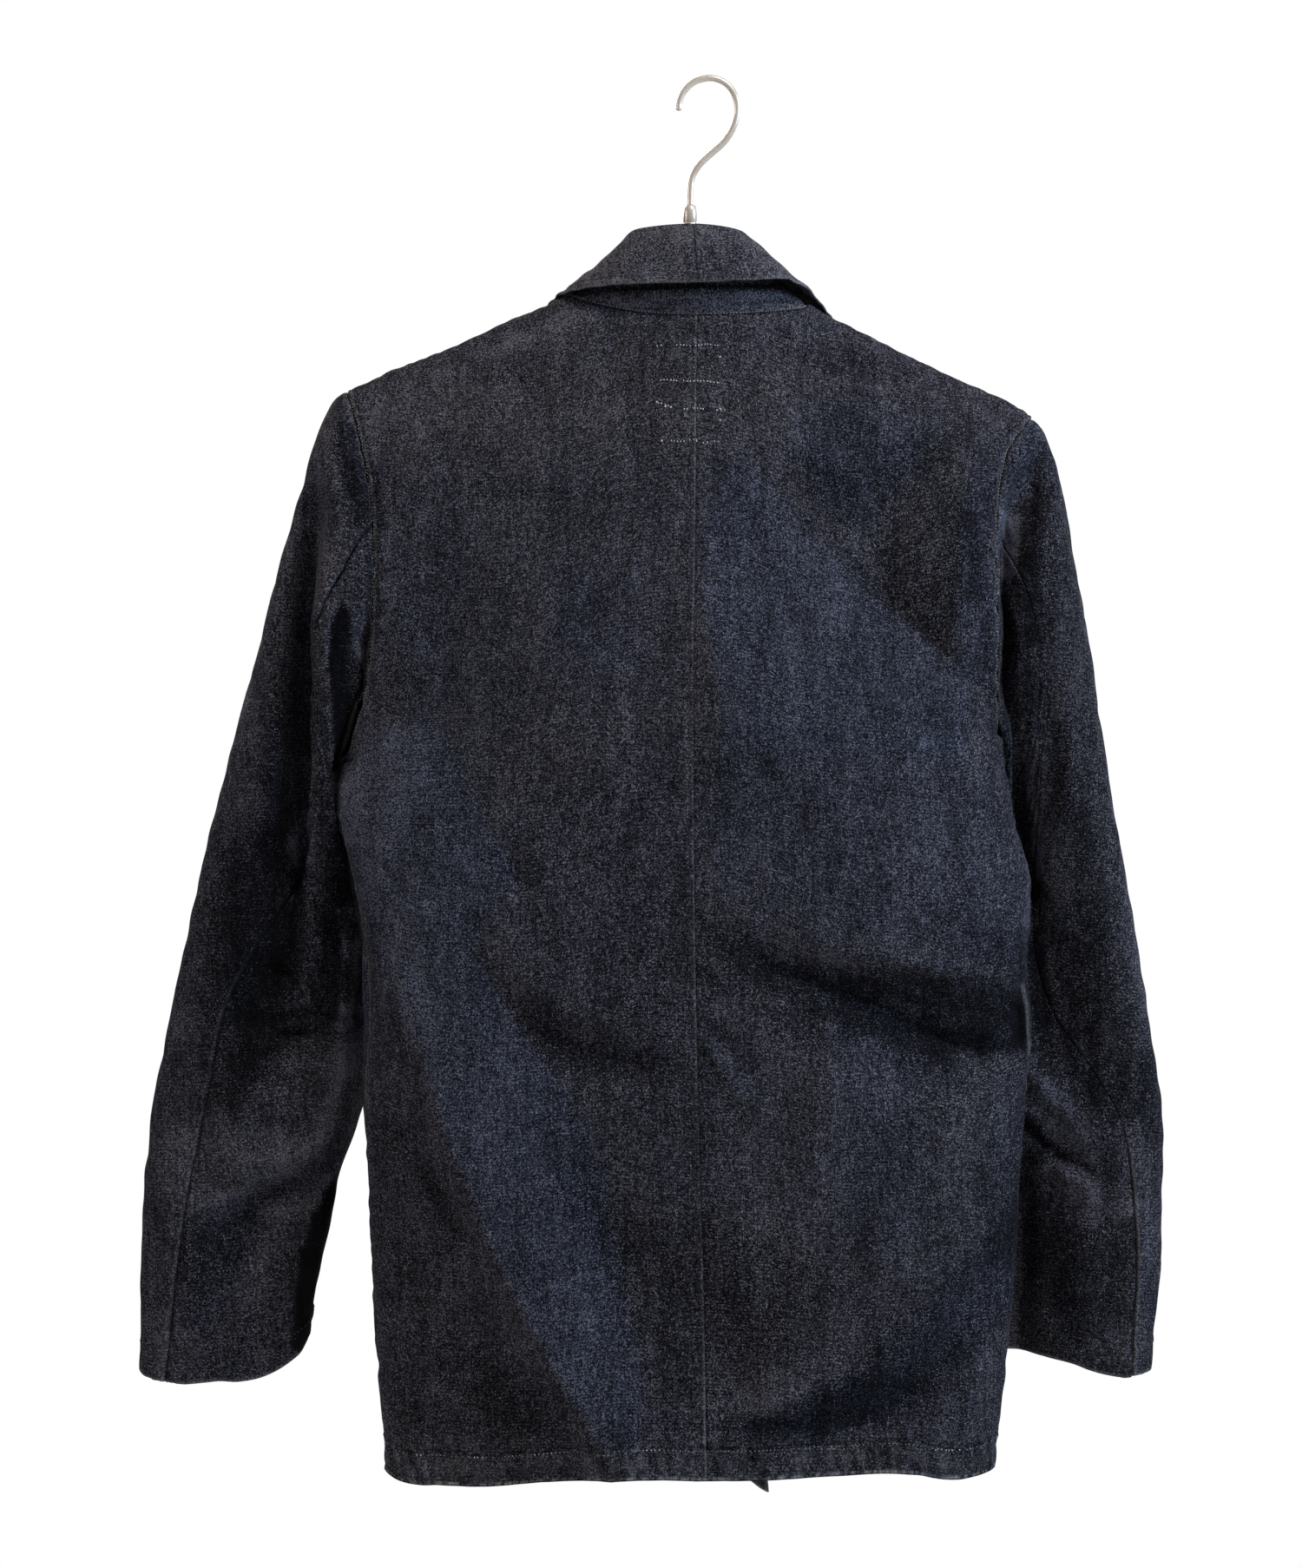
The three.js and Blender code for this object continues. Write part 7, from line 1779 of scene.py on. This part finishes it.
button_threads = []
for k, q in enumerate((815.0, 1020.0, 1225.0)):
    p = 812 + 28 * (q - BREAK_Q) / 900
    c = on_front("L", p, q, 0.0)
    n = np.cross(on_front("L", p + 12, q, 0.0) - on_front("L", p - 12, q, 0.0), on_front("L", p, q - 12, 0.0) - on_front("L", p, q + 12, 0.0))
    n = unit(n if n[1] > 0 else -n)
    c = c + n * (0.75 + 0.5)
    R, Hh = 10.4, 3.6
    prof = [(0.01, 0.15), (R * 0.8, 0.15), (R * 0.93, 0.6), (R, 1.35), (R, 2.3), (R * 0.985, 2.9), (R * 0.93, 3.35), (R * 0.86, 3.5), (R * 0.78, 3.4), (R * 0.7, 3.0), (R * 0.62, 2.65), (R * 0.5, 2.5), (R * 0.3, 2.46), (0.01, 2.45)]
    V, Q = lathe(prof, 64)
    M = frame_at(c, n)
    parts = [(V @ M.T + c, Q, [])]
    ob = mesh_object(f"button_turned_{k + 1}", *join(parts), HORN)
    finish_piece(ob, f"button_{k + 1}")
    # thread through four holes
    rows = []
    for a, b in (((-1.7, -1.7), (1.7, 1.7)), ((-1.7, 1.7), (1.7, -1.7))):
        a3, b3 = c + M @ np.array([*a, 2.62]), c + M @ np.array([*b, 2.62])
        for o in (-0.45, 0.0, 0.45):
            off = np.cross(unit(b3 - a3), n) * o
            rows.append(((a3 + b3) / 2 + off, b3 - a3, n))
    Vt, Ft = capsules(rows, r=0.3, length=5.6)
    holes = []
    for a in ((-1.9, -1.9), (1.9, 1.9), (-1.9, 1.9), (1.9, -1.9)):
        hv, hq = lathe([(0.01, 2.52), (0.75, 2.52), (1.0, 2.5), (1.05, 2.44)], 16)
        holes.append(((hv + np.array([*a, 0])) @ M.T + c, hq, []))
    to = mesh_object(f"button_thread_{k + 1}", Vt, np.zeros((0, 4), int), Ft, THREAD_PALE)
    finish_piece(to, None)
    ho = mesh_object(f"button_holes_{k + 1}", *join(holes), HORN)
    finish_piece(ho, None)

# ------------------------------------------------------------------ hanger
BAR = [
    [421, 472, 0, 7, 5], [440, 465, 0, 9.5, 6], [480, 449, 0, 11.5, 6.5], [540, 425, 0, 12, 7],
    [620, 394, 0, 12, 7.5], [700, 364, 0, 12.5, 8], [760, 340, 0, 13, 8.5], [796, 331, 0, 13.5, 9],
    [832, 340, 0, 13, 8.5], [885, 369, 0, 12.5, 8], [965, 406, 0, 12, 7.5], [1045, 440, 0, 12, 7],
    [1105, 469, 0, 11.5, 6.5], [1146, 489, 0, 9.5, 6], [1166, 500, 0, 7, 5],
]


def bar():
    shape = curves([[i / (len(BAR) - 1)] + r for i, r in enumerate(BAR)])
    x = np.linspace(0, 1, 121)
    p, q, y, h, w = [f(x) for f in shape]
    # rounded ends
    end = np.minimum(1, np.sqrt(np.maximum(0, 1 - np.maximum(0, 1 - np.minimum(x, 1 - x) / 0.02) ** 2)) + 0.05)
    a = np.arange(32) * 2 * np.pi / 32
    c = at(p, q, y)
    k = 1 / (np.abs(np.sin(a)) ** 2.6 + np.abs(np.cos(a)) ** 2.6) ** (1 / 2.6)
    off = np.stack([np.zeros((121, 32)), (w * end)[:, None] * np.sin(a) * k * 0.96, (h * end)[:, None] * np.cos(a) * k * 0.96], -1)
    V = (c[:, None] + off).reshape(-1, 3)
    idx = np.arange(121 * 32).reshape(121, 32)
    nx = np.roll(idx, -1, 1)
    Q = np.stack([idx[:-1], nx[:-1], nx[1:], idx[1:]], -1).reshape(-1, 4)
    T = []
    for i in range(1, 31):
        T += [(idx[0, 0], idx[0, i + 1], idx[0, i]), (idx[-1, 0], idx[-1, i], idx[-1, i + 1])]
    return V, Q, np.array(T)


ob = mesh_object("hanger_bar_turned", *bar(), WOOD)
finish_piece(ob, "hanger_bar")

STEM_P = 795.5
bar_top = Q0 - ((Q0 - 331) * SCALE + 13.5 + 0.35) / SCALE
z0, z1 = (Q0 - bar_top) * SCALE, (Q0 - 237) * SCALE
V, Q = lathe([(0.01, z0), (4.2, z0), (4.4, z0 + 0.4), (4.4, z1 - 11.5), (4.15, z1 - 11.0), (4.15, z1 - 10.4), (4.4, z1 - 9.9), (4.36, z1 - 4.0), (4.1, z1 - 2.2), (3.6, z1 - 0.9), (3.0, z1 - 0.1), (2.4, z1), (0.01, z1)], 48)
ob = mesh_object("hanger_ferrule_turned", V + np.array([(STEM_P - P0) * SCALE, 0, 0]), Q, np.zeros((0, 3), int), STEEL)
finish_piece(ob, "hanger_ferrule")

HOOK = [(795.5, 236.3), (795.5, 222), (796.6, 209), (801, 197), (809, 186.5), (820, 176.5), (831.5, 166.5), (840.5, 155), (847, 141.5), (849.6, 126), (846.8, 110), (838.5, 98), (826.5, 91.2), (814, 90.2), (800, 94.4), (789, 104), (783, 117), (782, 128)]


def tube(path, radius, n=24, round_end=True):
    L = np.concatenate([[0], np.cumsum(np.linalg.norm(np.diff(path, axis=0), axis=1))])
    s = np.linspace(0, L[-1], 260)
    C = np.stack([np.interp(s, L, path[:, i]) for i in range(3)], -1)
    # soften the joins of the polyline
    for _ in range(6):
        C[1:-1] = (C[:-2] + 2 * C[1:-1] + C[2:]) / 4
    T = unit(np.gradient(C, axis=0))
    Y = np.tile(np.array([0, 1.0, 0]), (len(C), 1))
    X = unit(np.cross(T, Y))
    r = np.full(len(C), radius)
    d = L[-1] - s
    r = np.where(d < radius, np.sqrt(np.maximum(0.0004, radius ** 2 - (radius - d) ** 2)), r)
    a = np.arange(n) * 2 * np.pi / n
    V = C[:, None] + r[:, None, None] * (np.cos(a)[None, :, None] * X[:, None] + np.sin(a)[None, :, None] * Y[:, None])
    idx = np.arange(len(C) * n).reshape(len(C), n)
    nx = np.roll(idx, -1, 1)
    Q = np.stack([idx[:-1], nx[:-1], nx[1:], idx[1:]], -1).reshape(-1, 4)
    Tt = []
    for i in range(1, n - 1):
        Tt += [(idx[0, 0], idx[0, i + 1], idx[0, i]), (idx[-1, 0], idx[-1, i], idx[-1, i + 1])]
    return V.reshape(-1, 3), Q, np.array(Tt)


hp = spline(HOOK, 16)
V, Q, T = tube(at(hp[:, 0], hp[:, 1], np.zeros(len(hp))), 1.9)
ob = mesh_object("hanger_hook_wire", V, Q, T, STEEL)
finish_piece(ob, "hanger_hook")

# ------------------------------------------------------------------ stage, light, camera
scene = bpy.context.scene
me = bpy.data.meshes.new("floor")
me.from_pydata([(-6, -6, -1.62), (6, -6, -1.62), (6, 2.6, -1.62), (-6, 2.6, -1.62)], [], [(0, 1, 2, 3)])
floor = bpy.data.objects.new("floor", me)
scene.collection.objects.link(floor)
m, nt, bsdf = nodes_of("floor_pale")
co = node(nt, "ShaderNodeTexCoord").outputs["Object"]
nt.links.new(mix_rgb(nt, noise(nt, co, 3.0, 3.0), (0.80, 0.79, 0.775), (0.84, 0.835, 0.825)), bsdf.inputs["Base Color"])
bsdf.inputs["Roughness"].default_value = 0.9
bsdf.inputs["Emission Color"].default_value = (1.0, 0.99, 0.97, 1.0)
seen_by = node(nt, "ShaderNodeLightPath").outputs["Is Camera Ray"]
nt.links.new(math_node(nt, "MULTIPLY", seen_by, 0.55), bsdf.inputs["Emission Strength"])
me.materials.append(m)

world = bpy.data.worlds.new("studio")
scene.world = world
world.use_nodes = True
wt = world.node_tree
bg = wt.nodes["Background"]
lp = wt.nodes.new("ShaderNodeLightPath")
amb = wt.nodes.new("ShaderNodeBackground")
amb.inputs["Color"].default_value = (0.93, 0.95, 1.0, 1.0)
amb.inputs["Strength"].default_value = 0.085
bg.inputs["Color"].default_value = (1.0, 1.0, 1.0, 1.0)
bg.inputs["Strength"].default_value = 1.0
ms = wt.nodes.new("ShaderNodeMixShader")
wt.links.new(lp.outputs["Is Camera Ray"], ms.inputs[0])
wt.links.new(amb.outputs[0], ms.inputs[1])
wt.links.new(bg.outputs[0], ms.inputs[2])
wt.links.new(ms.outputs[0], wt.nodes["World Output"].inputs["Surface"])


def area_light(name, loc, target, size, power, colour):
    d = bpy.data.lights.new(name, "AREA")
    d.shape = "RECTANGLE"
    d.size, d.size_y = size
    d.energy = power
    d.color = colour
    o = bpy.data.objects.new(name, d)
    o.location = loc
    o.rotation_euler = (Vector(target) - Vector(loc)).to_track_quat("-Z", "Y").to_euler()
    scene.collection.objects.link(o)
    return o


area_light("warm_top", (1.2, -1.6, 2.4), (0, 0, -0.45), (1.0, 0.7), 79, (1.0, 0.95, 0.885))
area_light("cool_right", (2.05, -1.0, 0.4), (0, 0, -0.45), (0.6, 0.8), 41, (0.60, 0.83, 1.08))
area_light("fill_left", (-2.2, -0.5, 0.1), (0, 0, -0.45), (0.8, 1.2), 11, (1.0, 0.97, 0.95))
area_light("rim_back", (-1.2, 2.2, 0.9), (0, 0, -0.45), (1.4, 1.4), 34, (1.0, 0.98, 0.95))
area_light("fill_back", (1.6, 1.9, 0.2), (0, 0, -0.45), (1.2, 1.4), 16, (0.95, 0.97, 1.0))

cam_d = bpy.data.cameras.new("camera")
cam_d.sensor_fit = "AUTO"
cam_d.sensor_width = 36.0
cam_d.lens = 36.0 * SIGHT / (1806 * SCALE)
cam_d.clip_start, cam_d.clip_end = 0.05, 50
cam = bpy.data.objects.new("camera", cam_d)
cam.location = ((SIGHT_P - P0) * SCALE * 0.001, -SIGHT * 0.001, (Q0 - SIGHT_Q) * SCALE * 0.001)
cam.rotation_euler = (math.pi / 2, 0, 0)
scene.collection.objects.link(cam)
scene.camera = cam
scene.view_settings.view_transform = "Standard"

bpy.context.view_layer.update()
